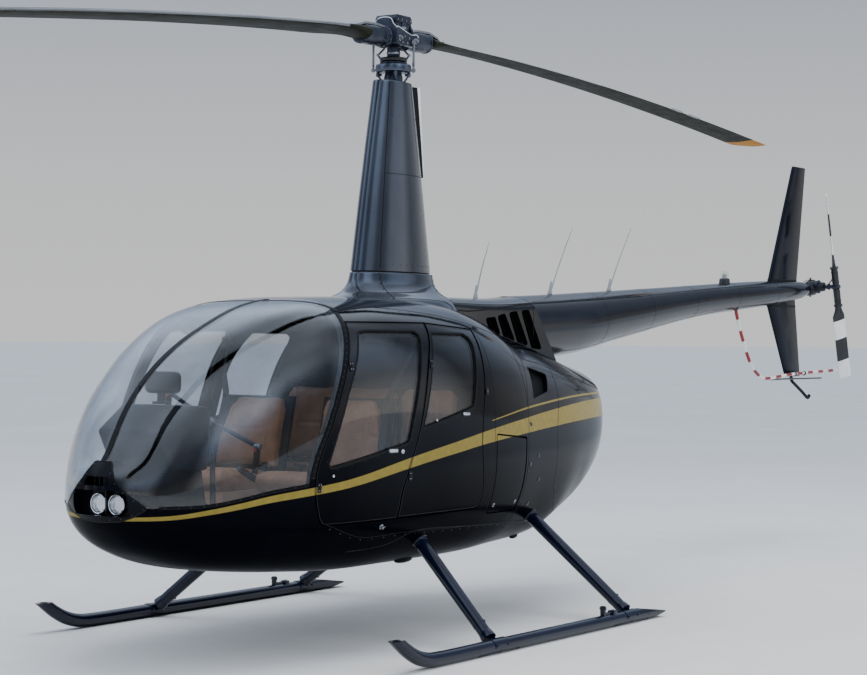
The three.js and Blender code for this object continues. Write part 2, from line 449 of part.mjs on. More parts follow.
// ------------------------------------------------------------ machinery blocks
add('engine_block', box(-1560, -760, -215, 215, 640, 1120), 'metal');
add('rotor_gearbox', box(-190, 155, -165, 165, 1395, 1750), 'metal');
add('exhaust', toM(bar([[-1430, 0, 1124], [-1430, 0, 1160], [-1470, 0, 1200], [-1600, 0, 1232], [-2100, 0, 1240]], 62, 16)), 'steel');

group.traverse((o) => { if (o.isMesh) o.geometry.translate(...SHIFT); });
export default group;
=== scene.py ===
import math
import bpy
import bmesh
import numpy as np
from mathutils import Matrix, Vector


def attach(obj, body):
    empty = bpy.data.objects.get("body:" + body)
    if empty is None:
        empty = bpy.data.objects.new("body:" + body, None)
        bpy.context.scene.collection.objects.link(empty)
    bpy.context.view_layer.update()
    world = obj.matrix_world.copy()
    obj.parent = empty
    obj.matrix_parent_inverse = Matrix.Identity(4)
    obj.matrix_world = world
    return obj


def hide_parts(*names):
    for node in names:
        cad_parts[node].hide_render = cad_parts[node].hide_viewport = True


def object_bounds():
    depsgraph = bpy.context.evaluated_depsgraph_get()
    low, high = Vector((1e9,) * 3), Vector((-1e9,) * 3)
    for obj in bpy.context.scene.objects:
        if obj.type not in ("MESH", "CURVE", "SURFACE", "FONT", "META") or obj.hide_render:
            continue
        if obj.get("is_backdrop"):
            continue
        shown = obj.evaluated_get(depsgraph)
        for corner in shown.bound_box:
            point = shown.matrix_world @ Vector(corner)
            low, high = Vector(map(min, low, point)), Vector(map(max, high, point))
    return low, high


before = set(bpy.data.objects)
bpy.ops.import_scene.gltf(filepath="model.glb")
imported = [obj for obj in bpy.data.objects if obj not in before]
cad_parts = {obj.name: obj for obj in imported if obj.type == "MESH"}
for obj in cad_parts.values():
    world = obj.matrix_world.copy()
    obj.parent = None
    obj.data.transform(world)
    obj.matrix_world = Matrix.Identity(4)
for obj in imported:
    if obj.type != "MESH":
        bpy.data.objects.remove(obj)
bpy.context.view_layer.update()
SCENE = bpy.context.scene
COL = SCENE.collection
# Tables are in millimetres with the origin on the ground under the mast; row frame = that + SH in x.
SH = np.array([609.5, 0.0, 0.0])


def row(p):
    return (np.asarray(p, float) + SH) / 1000.0


# ------------------------------------------------------------------ node helpers
def N(nt, kind, ins=None, **kw):
    n = nt.nodes.new("ShaderNode" + kind)
    for k, v in kw.items():
        setattr(n, k, v)
    for k, v in (ins or {}).items():
        if isinstance(v, bpy.types.NodeSocket):
            nt.links.new(v, n.inputs[k])
        else:
            n.inputs[k].default_value = v
    return n


def lin(c):
    """sRGB 0..255 to linear with alpha."""
    out = []
    for v in c:
        v = v / 255.0
        out.append(v / 12.92 if v <= 0.04045 else ((v + 0.055) / 1.055) ** 2.4)
    return (*out, 1.0)


def new_mat(name):
    m = bpy.data.materials.new(name)
    m.use_nodes = True
    nt = m.node_tree
    nt.nodes.clear()
    out = nt.nodes.new("ShaderNodeOutputMaterial")
    p = nt.nodes.new("ShaderNodeBsdfPrincipled")
    nt.links.new(p.outputs[0], out.inputs[0])
    return m, nt, p, out


def mixc(nt, fac, a, b):
    n = nt.nodes.new("ShaderNodeMix")
    n.data_type = "RGBA"
    for k, v in ((0, fac), (6, a), (7, b)):
        if isinstance(v, bpy.types.NodeSocket):
            nt.links.new(v, n.inputs[k])
        else:
            n.inputs[k].default_value = v
    return n.outputs[2]


def noise(nt, vec, scale, detail=5.0, rough=0.6):
    return N(nt, "TexNoise", {"Vector": vec, "Scale": scale, "Detail": detail, "Roughness": rough}).outputs["Fac"]


def remap(nt, v, a0, a1, b0, b1):
    return N(nt, "MapRange", {"Value": v, "From Min": a0, "From Max": a1, "To Min": b0, "To Max": b1}).outputs[0]


def math_(nt, op, a, b=None, c=None):
    n = nt.nodes.new("ShaderNodeMath")
    n.operation = op
    for i, v in enumerate((a, b, c)):
        if v is None:
            continue
        if isinstance(v, bpy.types.NodeSocket):
            nt.links.new(v, n.inputs[i])
        else:
            n.inputs[i].default_value = v
    return n.outputs[0]


def finish(name, a, b, rough=(0.3, 0.4), metal=0.0, scale=5.0, grain=None, spec=0.5, coat=0.0, coat_rough=0.03,
           stretch=(1, 1, 1), worn=None, sheen=0.0):
    """A painted, moulded or metal surface: two close tones, uneven gloss, fine grain."""
    m, nt, p, _ = new_mat(name)
    tc = N(nt, "TexCoord")
    mp = N(nt, "Mapping", {"Vector": tc.outputs["Object"], "Scale": stretch})
    n1 = noise(nt, mp.outputs[0], scale)
    f1 = remap(nt, n1, 0.32, 0.68, 0.0, 1.0)
    col = mixc(nt, f1, lin(a), lin(b))
    n2 = noise(nt, mp.outputs[0], scale * 5.5, 3.0)
    r = remap(nt, n2, 0.3, 0.7, rough[0], rough[1])
    if worn is not None:
        n3 = noise(nt, mp.outputs[0], worn[1], 8.0, 0.75)
        w = remap(nt, n3, worn[2], worn[2] + 0.05, 0.0, 1.0)
        col = mixc(nt, w, col, lin(worn[0]))
    nt.links.new(col, p.inputs["Base Color"])
    nt.links.new(r, p.inputs["Roughness"])
    p.inputs["Metallic"].default_value = metal
    p.inputs["Specular IOR Level"].default_value = spec
    p.inputs["Coat Weight"].default_value = coat
    p.inputs["Coat Roughness"].default_value = coat_rough
    p.inputs["Sheen Weight"].default_value = sheen
    if grain is not None:
        g = noise(nt, tc.outputs["Object"], grain[0], 4.0)
        bp = N(nt, "Bump", {"Height": g, "Strength": grain[1], "Distance": grain[2]})
        nt.links.new(bp.outputs[0], p.inputs["Normal"])
    return m


def ramp_curve(nt, x, xs, ys, x0, x1, y0, y1):
    """y(x) as a Float Curve node; x and y in metres."""
    q = remap(nt, x, x0, x1, 0.0, 1.0)
    fc = nt.nodes.new("ShaderNodeFloatCurve")
    nt.links.new(q, fc.inputs["Value"])
    c = fc.mapping.curves[0]
    pts = sorted(((a - x0) / (x1 - x0), (b - y0) / (y1 - y0)) for a, b in zip(xs, ys))
    c.points[0].location = pts[0]
    c.points[1].location = pts[-1]
    for a, b in pts[1:-1]:
        c.points.new(a, b)
    for k in c.points:
        k.handle_type = "AUTO"
    fc.mapping.use_clip = False
    fc.mapping.update()
    return remap(nt, fc.outputs[0], 0.0, 1.0, y0, y1)


# ------------------------------------------------------------------ numeric helpers
class Pchip:
    """Monotone cubic through the given points, for any number of columns."""

    def __init__(self, x, y):
        x = np.asarray(x, float)
        y = np.asarray(y, float).reshape(len(x), -1)
        if x[0] > x[-1]:
            x, y = x[::-1], y[::-1]
        self.x, self.y = x, y
        h = np.diff(x)[:, None]
        d = np.diff(y, axis=0) / h
        m = np.zeros_like(y)
        if len(x) > 2:
            w1, w2 = 2 * h[1:] + h[:-1], h[1:] + 2 * h[:-1]
            same = d[:-1] * d[1:] > 0
            a = np.where(same, d[:-1], 1.0)
            b = np.where(same, d[1:], 1.0)
            m[1:-1] = np.where(same, (w1 + w2) / (w1 / a + w2 / b), 0.0)
        m[0], m[-1] = d[0], d[-1]
        self.m, self.h = m, h

    def __call__(self, q):
        q = np.atleast_1d(np.asarray(q, float))
        i = np.clip(np.searchsorted(self.x, q, side="right") - 1, 0, len(self.x) - 2)
        h = self.h[i]
        t = np.clip((q - self.x[i])[:, None] / h, 0.0, 1.0)
        y0, y1, m0, m1 = self.y[i], self.y[i + 1], self.m[i], self.m[i + 1]
        return ((1 + 2 * t) * (1 - t) ** 2 * y0 + t * (1 - t) ** 2 * h * m0
                + t * t * (3 - 2 * t) * y1 + t * t * (t - 1) * h * m1)


def unit(v):
    v = np.asarray(v, float)
    n = np.linalg.norm(v, axis=-1, keepdims=True)
    return v / np.where(n < 1e-12, 1.0, n)


def resample(pts, step, smooth=True):
    """Points along a path, at most step apart; a Catmull-Rom curve when smooth."""
    P = np.asarray(pts, float)
    if smooth and len(P) > 2:
        out = []
        E = np.vstack([2 * P[0] - P[1], P, 2 * P[-1] - P[-2]])
        for i in range(len(P) - 1):
            p0, p1, p2, p3 = E[i:i + 4]
            n = max(2, int(np.ceil(np.linalg.norm(p2 - p1) / step)))
            t = np.linspace(0, 1, n, endpoint=False)[:, None]
            # centripetal tangents keep short segments beside long ones calm
            d0, d1, d2 = (max(np.linalg.norm(b - a), 1e-9) ** 0.5 for a, b in ((p0, p1), (p1, p2), (p2, p3)))
            m1 = d1 * ((p1 - p0) / d0 - (p2 - p0) / (d0 + d1) + (p2 - p1) / d1)
            m2 = d1 * ((p2 - p1) / d1 - (p3 - p1) / (d1 + d2) + (p3 - p2) / d2)
            out.append((2 * t ** 3 - 3 * t ** 2 + 1) * p1 + (t ** 3 - 2 * t ** 2 + t) * m1
                       + (-2 * t ** 3 + 3 * t ** 2) * p2 + (t ** 3 - t ** 2) * m2)
        return np.vstack([*out, P[-1:]])
    out = []
    for a, b in zip(P[:-1], P[1:]):
        n = max(1, int(np.ceil(np.linalg.norm(b - a) / step)))
        out.append(a + (b - a) * np.linspace(0, 1, n, endpoint=False)[:, None])
    return np.vstack([*out, P[-1:]])


# ------------------------------------------------------------------ mesh helpers
def build(name, co, faces, mats, body, slot=None, sharp=None, mat_index=None, smooth=True):
    """A piece from table coordinates in millimetres."""
    me = bpy.data.meshes.new(name)
    me.from_pydata(row(co).tolist(), [], [tuple(int(i) for i in f) for f in faces])
    return place(name, me, mats, body, slot, sharp, mat_index, smooth)


def place(name, me, mats, body, slot=None, sharp=None, mat_index=None, smooth=True):
    me.name = name
    me.materials.clear()
    for m in (mats if isinstance(mats, (list, tuple)) else [mats]):
        me.materials.append(m)
    if mat_index is not None:
        me.polygons.foreach_set("material_index", np.asarray(mat_index, np.int32))
    me.polygons.foreach_set("use_smooth", np.full(len(me.polygons), smooth))
    if sharp is not None:
        me.set_sharp_from_angle(angle=math.radians(sharp))
    me.update()
    o = bpy.data.objects.new(name, me)
    COL.objects.link(o)
    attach(o, body)
    return o


class Kit:
    """Collects many small closed forms into one mesh, each with a material index."""

    def __init__(self):
        self.v, self.f, self.m, self.n = [], [], [], 0

    def add(self, co, faces, mi=0):
        self.v.append(np.asarray(co, float))
        self.f.extend([tuple(i + self.n for i in f) for f in faces])
        self.m.extend([mi] * len(faces))
        self.n += len(co)
        return self

    def make(self, name, mats, body, slot=None, sharp=35.0, smooth=True):
        return build(name, np.vstack(self.v), self.f, mats, body, slot, sharp, self.m, smooth)


def loft(rings, caps=True, closed=True):
    """Faces through rings with the same number of points; n-gon caps."""
    n, k = len(rings[0]), len(rings)
    co = np.vstack(rings)
    f = []
    m = n if closed else n - 1
    for i in range(k - 1):
        for j in range(m):
            a, b = i * n + j, i * n + (j + 1) % n
            f.append((a, b, b + n, a + n))
    if caps:
        f.append(tuple(range(n))[::-1])
        f.append(tuple(range((k - 1) * n, k * n)))
    # outward check by signed volume
    vol = 0.0
    c = co.mean(0)
    for q in f[: min(len(f), 4000)]:
        a = co[q[0]] - c
        for i in range(1, len(q) - 1):
            vol += np.dot(a, np.cross(co[q[i]] - c, co[q[i + 1]] - c))
    if vol < 0:
        f = [q[::-1] for q in f]
    return co, f


def frames(P, up=(0, 0, 1)):
    """Tangent and two normals along a path, kept from twisting."""
    P = np.asarray(P, float)
    T = unit(np.gradient(P, axis=0))
    U = np.zeros_like(P)
    u = np.asarray(up, float)
    if abs(np.dot(unit(u), T[0])) > 0.95:
        u = np.array([1.0, 0.0, 0.0])
    for i in range(len(P)):
        u = u - np.dot(u, T[i]) * T[i]
        u = u / np.linalg.norm(u)
        U[i] = u
    return T, U, np.cross(T, U)


def tube(path, r, n=16, step=None, smooth=True, up=(0, 0, 1), flat=1.0, round_ends=0.0):
    """Bar through points; r is one number or one for each point."""
    P = np.asarray(path, float)
    R = np.full(len(P), r, float) if np.isscalar(r) else np.asarray(r, float)
    if step:
        s0 = np.r_[0, np.cumsum(np.linalg.norm(np.diff(P, axis=0), axis=1))]
        Q = resample(P, step, smooth)
        s1 = np.r_[0, np.cumsum(np.linalg.norm(np.diff(Q, axis=0), axis=1))]
        R = np.interp(s1 / s1[-1], s0 / s0[-1], R)
        P = Q
    if round_ends > 0:
        e = round_ends
        a, b = unit(P[0] - P[1]), unit(P[-1] - P[-2])
        k = [(0.0, 1.0), (0.5, 0.87), (0.86, 0.5), (0.98, 0.17)]
        pre = [P[0] + a * R[0] * e * s for s, _ in k[1:]][::-1]
        prr = [R[0] * c for _, c in k[1:]][::-1]
        post = [P[-1] + b * R[-1] * e * s for s, _ in k[1:]]
        por = [R[-1] * c for _, c in k[1:]]
        P = np.vstack([pre, P, post])
        R = np.r_[prr, R, por]
    _, U, V = frames(P, up)
    a = np.arange(n) / n * 2 * np.pi
    rings = [p + r_ * (np.cos(a)[:, None] * u + flat * np.sin(a)[:, None] * v) for p, r_, u, v in zip(P, R, U, V)]
    return loft(rings)


def turned(profile, origin, axis=(0, 0, 1), n=32):
    """Turned form: profile of (radius, height) from one end to the other, closed by caps."""
    ax = unit(axis)
    u = unit(np.cross(ax, [1, 0, 0]) if abs(ax[0]) < 0.9 else np.cross(ax, [0, 1, 0]))
    v = np.cross(ax, u)
    a = np.arange(n) / n * 2 * np.pi
    o = np.asarray(origin, float)
    rings = [o + ax * h + r * (np.cos(a)[:, None] * u + np.sin(a)[:, None] * v) for r, h in profile]
    return loft(rings)


def slab(lo, hi, r=2.0, seg=3):
    """Box with rounded vertical and horizontal edges, from corner to corner."""
    lo, hi = np.minimum(lo, hi).astype(float), np.maximum(lo, hi).astype(float)
    r = min(r, *((hi - lo) / 2 * 0.98))
    a = np.linspace(0, np.pi / 2, seg + 1)

    def ring(z, k):
        pts = []
        for cx, cy, q in ((hi[0] - r, hi[1] - r, 0), (lo[0] + r, hi[1] - r, 1), (lo[0] + r, lo[1] + r, 2), (hi[0] - r, lo[1] + r, 3)):
            for t in a + q * np.pi / 2:
                pts.append([cx + (r - k) * np.cos(t), cy + (r - k) * np.sin(t), z])
        return np.array(pts)

    rings = []
    for t in a:
        rings.append(ring(lo[2] + r * (1 - np.sin(t)), r * (1 - np.cos(t))))
    rings = rings[::-1]
    for t in a:
        rings.append(ring(hi[2] - r + r * np.sin(t), r * (1 - np.cos(t))))
    return loft(rings)


def xform(co, origin, X, Y, Z):
    """Local points to axes X, Y, Z at origin."""
    co = np.asarray(co, float)
    return np.asarray(origin, float) + co[:, :1] * np.asarray(X, float) + co[:, 1:2] * np.asarray(Y, float) + co[:, 2:3] * np.asarray(Z, float)


def flip(faces):
    return [tuple(f)[::-1] for f in faces]


def mirror(co):
    return np.asarray(co, float) * [1, -1, 1]


# ------------------------------------------------------------------ body surface
# x, bottom, widest height, top, half width, lower and upper exponent
ROWS = np.array([
    [2447, 828, 871, 944, 65, 2.07, 1.70], [2434, 787, 870, 965, 111, 2.07, 1.75], [2413, 736, 868, 995, 172, 2.09, 1.82],
    [2390, 700, 864, 1025, 220, 2.13, 1.88], [2354, 659, 856, 1071, 278, 2.21, 1.98], [2310, 619, 851, 1148, 332, 2.27, 2.09],
    [2260, 584, 849, 1234, 380, 2.32, 2.21], [2195, 552, 851, 1319, 435, 2.36, 2.39], [2120, 524, 855, 1395, 487, 2.39, 2.60],
    [2030, 494, 861, 1474, 537, 2.44, 2.72], [1920, 467, 869, 1548, 584, 2.50, 2.87], [1790, 446, 880, 1621, 633, 2.55, 3.20],
    [1650, 430, 894, 1682, 672, 2.59, 3.57], [1480, 413, 911, 1752, 710, 2.63, 3.90], [1300, 399, 928, 1802, 733, 2.67, 4.11],
    [1120, 385, 941, 1827, 741, 2.70, 4.07], [900, 373, 957, 1843, 745, 2.72, 3.97], [500, 367, 985, 1847, 745, 2.60, 3.57],
    [100, 364, 1003, 1839, 729, 2.54, 3.12], [-300, 359, 1002, 1793, 687, 2.38, 2.75], [-700, 372, 1003, 1685, 621, 2.20, 2.48],
    [-1139, 394, 1005, 1595, 536, 2.13, 2.47], [-1478, 472, 1011, 1512, 452, 1.90, 2.60], [-1767, 587, 1046, 1455, 364, 2.00, 2.60],
    [-2006, 743, 1086, 1405, 263, 2.05, 2.60], [-2145, 880, 1131, 1355, 154, 2.01, 2.60]], float)


def _table():
    """The rows as a dense smooth table along the length of the body."""
    d = np.diff(ROWS, axis=0)
    u = np.r_[0, np.cumsum(np.sqrt(d[:, 0] ** 2 + 0.6 * d[:, 4] ** 2 + 0.4 * d[:, 3] ** 2 + 0.4 * d[:, 1] ** 2))]
    k = np.interp(-ROWS[:, 0], [-2447, -2413, -2354, -2260, -2195, 1478, 1767, 2006, 2145], [-1, -.75, -.5, -.25, 0, 0, 1 / 3, 2 / 3, 1])
    f = Pchip(u, np.column_stack([ROWS, k]))
    U = np.arange(0, u[-1] + 3, 6.0)
    U[-1] = min(U[-1], u[-1])
    V = f(U)
    m = 60
    pre = 2 * V[0] - V[1:m + 1][::-1]
    post = 2 * V[-1] - V[-m - 1:-1][::-1]
    E = np.vstack([pre, V, post])
    UE = np.r_[2 * U[0] - U[1:m + 1][::-1], U, 2 * U[-1] - U[-m - 1:-1][::-1]]
    s = np.clip(0.10 * (U + 60), 6, 62)
    s = np.minimum(s, np.clip(0.25 * (U[-1] - U), 8, 62))
    out = np.empty_like(V)
    for i, (a, b) in enumerate(zip(U, s)):
        w = np.exp(-0.5 * ((UE - a) / b) ** 2)
        out[i] = w @ E / w.sum()
    out[0], out[-1] = V[0], V[-1]
    return U, out


TU, TV = _table()


def at_u(u):
    return np.stack([np.interp(u, TU, TV[:, i]) for i in range(8)], -1)


def at_x(x):
    x = np.clip(x, TV[-1, 0], TV[0, 0])
    u = np.interp(-np.asarray(x, float), -TV[:, 0], TU)
    return at_u(u)


def skin_grid(t, nu, nv):
    """Closed solid of the body surface moved inward by t."""
    q = np.linspace(0, 1, nu)
    L = TU[-1]
    u = L * (q + 0.55 * (q ** 2 - q))          # closer rows at the nose
    T = at_u(u)
    a = np.arange(nv) / nv * 2 * np.pi
    c, s = np.cos(a), np.sin(a)
    rings = []
    for x, zb, zw, zt, w, nb, n_t, k in T:
        W = max(w - t, 6.0)
        lo, hi = min(zb + t, zw - 4), max(zt - t, zw + 4)
        n = np.where(s >= 0, n_t, nb)
        rho = (np.abs(c) ** n + np.abs(s) ** n) ** (-1 / n)
        H = np.where(s >= 0, hi - zw, zw - lo)
        rings.append(np.stack([np.full(nv, x + k * t), W * rho * c, zw + H * rho * s], -1))
    return loft(rings)


def implicit(p, t=0.0):
    """Distance-like value of the body surface moved inward by t, in millimetres."""
    T = at_x(p[:, 0])
    W = np.maximum(T[:, 4] - t, 6)
    up = p[:, 2] >= T[:, 2]
    n = np.where(up, T[:, 6], T[:, 5])
    H = np.where(up, np.maximum(T[:, 3] - t - T[:, 2], 4), np.maximum(T[:, 2] - T[:, 1] - t, 4))
    a, b = np.abs(p[:, 1]) / W, np.abs(p[:, 2] - T[:, 2]) / H
    return ((a ** n + b ** n) ** (1 / n) - 1) * np.minimum(W, H)


def grad(p, t=0.0, e=1.5):
    g = np.zeros_like(p)
    for i in range(3):
        d = np.zeros(3)
        d[i] = e
        g[:, i] = implicit(p + d, t) - implicit(p - d, t)
    return unit(g)


def on_side(x, z, side=1, t=0.0):
    """Point of the skin at a length and height, port (1) or starboard (-1)."""
    x, z = np.atleast_1d(np.asarray(x, float)), np.atleast_1d(np.asarray(z, float))
    T = at_x(x)
    up = z >= T[:, 2]
    n = np.where(up, T[:, 6], T[:, 5])
    H = np.where(up, T[:, 3] - t - T[:, 2], T[:, 2] - T[:, 1] - t)
    b = np.clip(np.abs(z - T[:, 2]) / H, 0, 0.9999)
    y = (T[:, 4] - t) * (1 - b ** n) ** (1 / n)
    return np.stack([x, side * y, z], -1)


def on_top(x, y, t=0.0, below=False):
    """Point of the skin at a length and half width, above or below the widest height."""
    x, y = np.atleast_1d(np.asarray(x, float)), np.atleast_1d(np.asarray(y, float))
    T = at_x(x)
    n = T[:, 5] if below else T[:, 6]
    H = (T[:, 2] - T[:, 1] - t) if below else (T[:, 3] - t - T[:, 2])
    a = np.clip(np.abs(y) / (T[:, 4] - t), 0, 0.9999)
    h = H * (1 - a ** n) ** (1 / n)
    return np.stack([x, y, T[:, 2] + (-h if below else h)], -1)


def mesh_of(co, faces):
    me = bpy.data.meshes.new("form")
    me.from_pydata(row(co).tolist(), [], faces)
    return me


def csg(a, b, op):
    oa, ob = bpy.data.objects.new("ca", a), bpy.data.objects.new("cb", b)
    COL.objects.link(oa)
    COL.objects.link(ob)
    m = oa.modifiers.new("b", "BOOLEAN")
    m.object, m.operation, m.solver = ob, op, "MANIFOLD"
    dg = bpy.context.evaluated_depsgraph_get()
    dg.update()
    me = bpy.data.meshes.new_from_object(oa.evaluated_get(dg))
    bpy.data.objects.remove(oa)
    bpy.data.objects.remove(ob)
    return me


def both_of(a, b):
    return csg(a, b, "INTERSECT")


def less(a, *bs):
    for b in bs:
        a = csg(a, b, "DIFFERENCE")
    return a


def plus(a, *bs):
    for b in bs:
        a = csg(a, b, "UNION")
    return a


def prism(poly, y0, y1, axis="y"):
    """Prism with an x-z outline between two y values, or a y-z outline between two x values."""
    P = np.asarray(poly, float)
    n = len(P)
    area = 0.5 * np.sum(P[:, 0] * np.roll(P[:, 1], -1) - np.roll(P[:, 0], -1) * P[:, 1])
    if axis == "y":
        a = np.stack([P[:, 0], np.full(n, min(y0, y1)), P[:, 1]], -1)
        b = np.stack([P[:, 0], np.full(n, max(y0, y1)), P[:, 1]], -1)
        sgn = 1
    else:
        a = np.stack([np.full(n, min(y0, y1)), P[:, 0], P[:, 1]], -1)
        b = np.stack([np.full(n, max(y0, y1)), P[:, 0], P[:, 1]], -1)
        sgn = -1
    f = [tuple(range(n)), tuple(range(n, 2 * n))[::-1]]
    for i in range(n):
        j = (i + 1) % n
        f.append((i, i + n, j + n, j))
    if area * sgn < 0:
        f = [q[::-1] for q in f]
    return mesh_of(np.vstack([a, b]), f)


def cube(x0, x1, y0, y1, z0, z1):
    return prism([[x0, z0], [x1, z0], [x1, z1], [x0, z1]], y0, y1)


def side_prism(poly, s):
    return prism(poly, 60, 1200) if s > 0 else prism(poly, -1200, -60)


def copy_of(me):
    return me.copy()


def mirrored(me):
    """The starboard twin of a port mesh."""
    m = me.copy()
    co = np.zeros(len(m.vertices) * 3, np.float32)
    m.vertices.foreach_get("co", co)
    co[1::3] *= -1
    m.vertices.foreach_set("co", co)
    m.flip_normals()
    return m


def skin_piece(name, me, mats, body, slot, outer=0.0, inner=24.0, tol=2.5):
    """Places a cut skin: smooth normals from the surface itself on both faces, flat cut edges.
    Material 0 outside, 1 inside, and cut edges take 0."""
    me = me.copy()
    nv, nl, npoly = len(me.vertices), len(me.loops), len(me.polygons)
    co = np.zeros(nv * 3)
    me.vertices.foreach_get("co", co)
    p = co.reshape(-1, 3) * 1000 - SH
    lv = np.zeros(nl, np.int32)
    me.loops.foreach_get("vertex_index", lv)
    st, tot = np.zeros(npoly, np.int32), np.zeros(npoly, np.int32)
    me.polygons.foreach_get("loop_start", st)
    me.polygons.foreach_get("loop_total", tot)
    fn = np.zeros(npoly * 3)
    me.polygons.foreach_get("normal", fn)
    fn = fn.reshape(-1, 3)
    lp = np.repeat(np.arange(npoly), tot)
    order = np.argsort(np.repeat(st, tot), kind="stable")
    lp = lp[order]
    cen = np.zeros(npoly * 3)
    me.polygons.foreach_get("center", cen)
    cen = cen.reshape(-1, 3) * 1000 - SH
    g0, g1 = grad(p, outer), grad(p, inner)
    d0, d1 = np.abs(implicit(p, outer)), np.abs(implicit(p, inner))
    c0, c1 = grad(cen, outer), grad(cen, inner)
    far0, far1 = np.zeros(npoly), np.zeros(npoly)
    np.maximum.at(far0, lp, d0[lv])
    np.maximum.at(far1, lp, d1[lv])
    is0 = ((fn * c0).sum(1) > 0.75) & (far0 < tol * 2.2)
    is1 = ((fn * c1).sum(1) < -0.75) & (far1 < tol * 2.2)
    nrm = fn[lp].copy()
    nrm[is0[lp]] = g0[lv][is0[lp]]
    nrm[is1[lp]] = -g1[lv][is1[lp]]
    me.materials.clear()
    mi = np.where(is1, 1, 0) if len(mats) > 1 else np.zeros(npoly, np.int32)
    o = place(name, me, mats, body, slot, None, mi, True)
    o.data.normals_split_custom_set([tuple(v) for v in nrm.tolist()])
    return o


def eased(me, w, seg=3, limit=32.0):
    """Rounds the edges of a closed form and returns a new mesh."""
    o_ = bpy.data.objects.new("e", me)
    COL.objects.link(o_)
    m = o_.modifiers.new("b", "BEVEL")
    m.width, m.segments, m.limit_method, m.angle_limit = w / 1000, seg, "ANGLE", math.radians(limit)
    m.use_clamp_overlap = True
    dg = bpy.context.evaluated_depsgraph_get()
    dg.update()
    out_ = bpy.data.meshes.new_from_object(o_.evaluated_get(dg))
    bpy.data.objects.remove(o_)
    return out_


NU, NV = ((200, 160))
_body_cache = {}


def body_solid(t):
    if t not in _body_cache:
        _body_cache[t] = mesh_of(*skin_grid(t, NU, NV))
    return _body_cache[t]


# ------------------------------------------------------------------ materials
def paint():
    """Deep black-navy gloss paint with the gold stripe and pinstripe along the side."""
    m, nt, p, _ = new_mat("body_paint")
    tc = N(nt, "TexCoord")
    xyz = N(nt, "SeparateXYZ", {"Vector": tc.outputs["Object"]})
    x, z = xyz.outputs[0], xyz.outputs[2]
    n1 = noise(nt, tc.outputs["Object"], 2.2, 4.0)
    base = mixc(nt, remap(nt, n1, 0.3, 0.7, 0, 1), lin((3, 4, 8)), lin((5, 7, 14)))
    # dust towards the belly
    dust = math_(nt, "MULTIPLY", remap(nt, z, 0.62, 0.36, 0.0, 0.12), remap(nt, noise(nt, tc.outputs["Object"], 14, 8.0, 0.7), 0.42, 0.7, 0.0, 1.0))
    base = mixc(nt, dust, base, lin((38, 37, 36)))
    sx = SH[0] / 1000
    top = ramp_curve(nt, x, [v + sx for v in STRIPE_X], STRIPE_TOP, -1.8, 3.2, 0.6, 1.3)
    bot = ramp_curve(nt, x, [v + sx for v in STRIPE_X], STRIPE_BOT, -1.8, 3.2, 0.6, 1.3)
    pin = ramp_curve(nt, x, [v + sx for v in PIN_X], PIN_Z, -1.8, 3.2, 0.6, 1.4)

    def inside(lo, hi, soft=0.0012):
        a = remap(nt, math_(nt, "SUBTRACT", z, lo), -soft, soft, 0, 1)
        b = remap(nt, math_(nt, "SUBTRACT", hi, z), -soft, soft, 0, 1)
        return math_(nt, "MULTIPLY", a, b)

    band = inside(bot, top)
    wd = remap(nt, x, PIN_X[0] + sx, PIN_X[0] + sx - 0.5, 0.0024, 0.0054)
    thin = inside(math_(nt, "SUBTRACT", pin, wd), math_(nt, "ADD", pin, wd))
    thin = math_(nt, "MULTIPLY", thin, math_(nt, "LESS_THAN", x, PIN_X[0] + sx))
    mask = math_(nt, "MAXIMUM", band, thin)
    n4 = noise(nt, tc.outputs["Object"], 30, 4.0)
    gold = mixc(nt, remap(nt, n4, 0.3, 0.7, 0, 1), lin((128, 112, 52)), lin((140, 124, 62)))
    col = mixc(nt, mask, base, gold)
    nt.links.new(col, p.inputs["Base Color"])
    n2 = noise(nt, tc.outputs["Object"], 9, 5.0)
    r = remap(nt, n2, 0.3, 0.7, 0.07, 0.12)
    r = math_(nt, "ADD", r, math_(nt, "MULTIPLY", dust, 0.5))
    r = math_(nt, "ADD", r, math_(nt, "MULTIPLY", mask, 0.14))
    r = math_(nt, "ADD", r, remap(nt, z, 0.95, 0.6, 0.0, 0.12))
    nt.links.new(r, p.inputs["Roughness"])
    # the polish is at its best above the stripe and dulls towards the belly
    lowz = remap(nt, z, 0.5, 1.4, 0.0, 1.0)
    sp = math_(nt, "ADD", math_(nt, "MULTIPLY", math_(nt, "MULTIPLY", lowz, lowz), 0.21), remap(nt, z, 1.4, 1.75, 0.003, 0.2))
    nt.links.new(sp, p.inputs["Specular IOR Level"])
    nt.links.new(remap(nt, z, 0.9, 1.7, 0.0, 0.14), p.inputs["Coat Weight"])
    p.inputs["Coat Roughness"].default_value = 0.02
    g = noise(nt, tc.outputs["Object"], 3.0, 2.0, 0.4)
    bp = N(nt, "Bump", {"Height": g, "Strength": 0.12, "Distance": 0.01})
    nt.links.new(bp.outputs[0], p.inputs["Normal"])
    return m


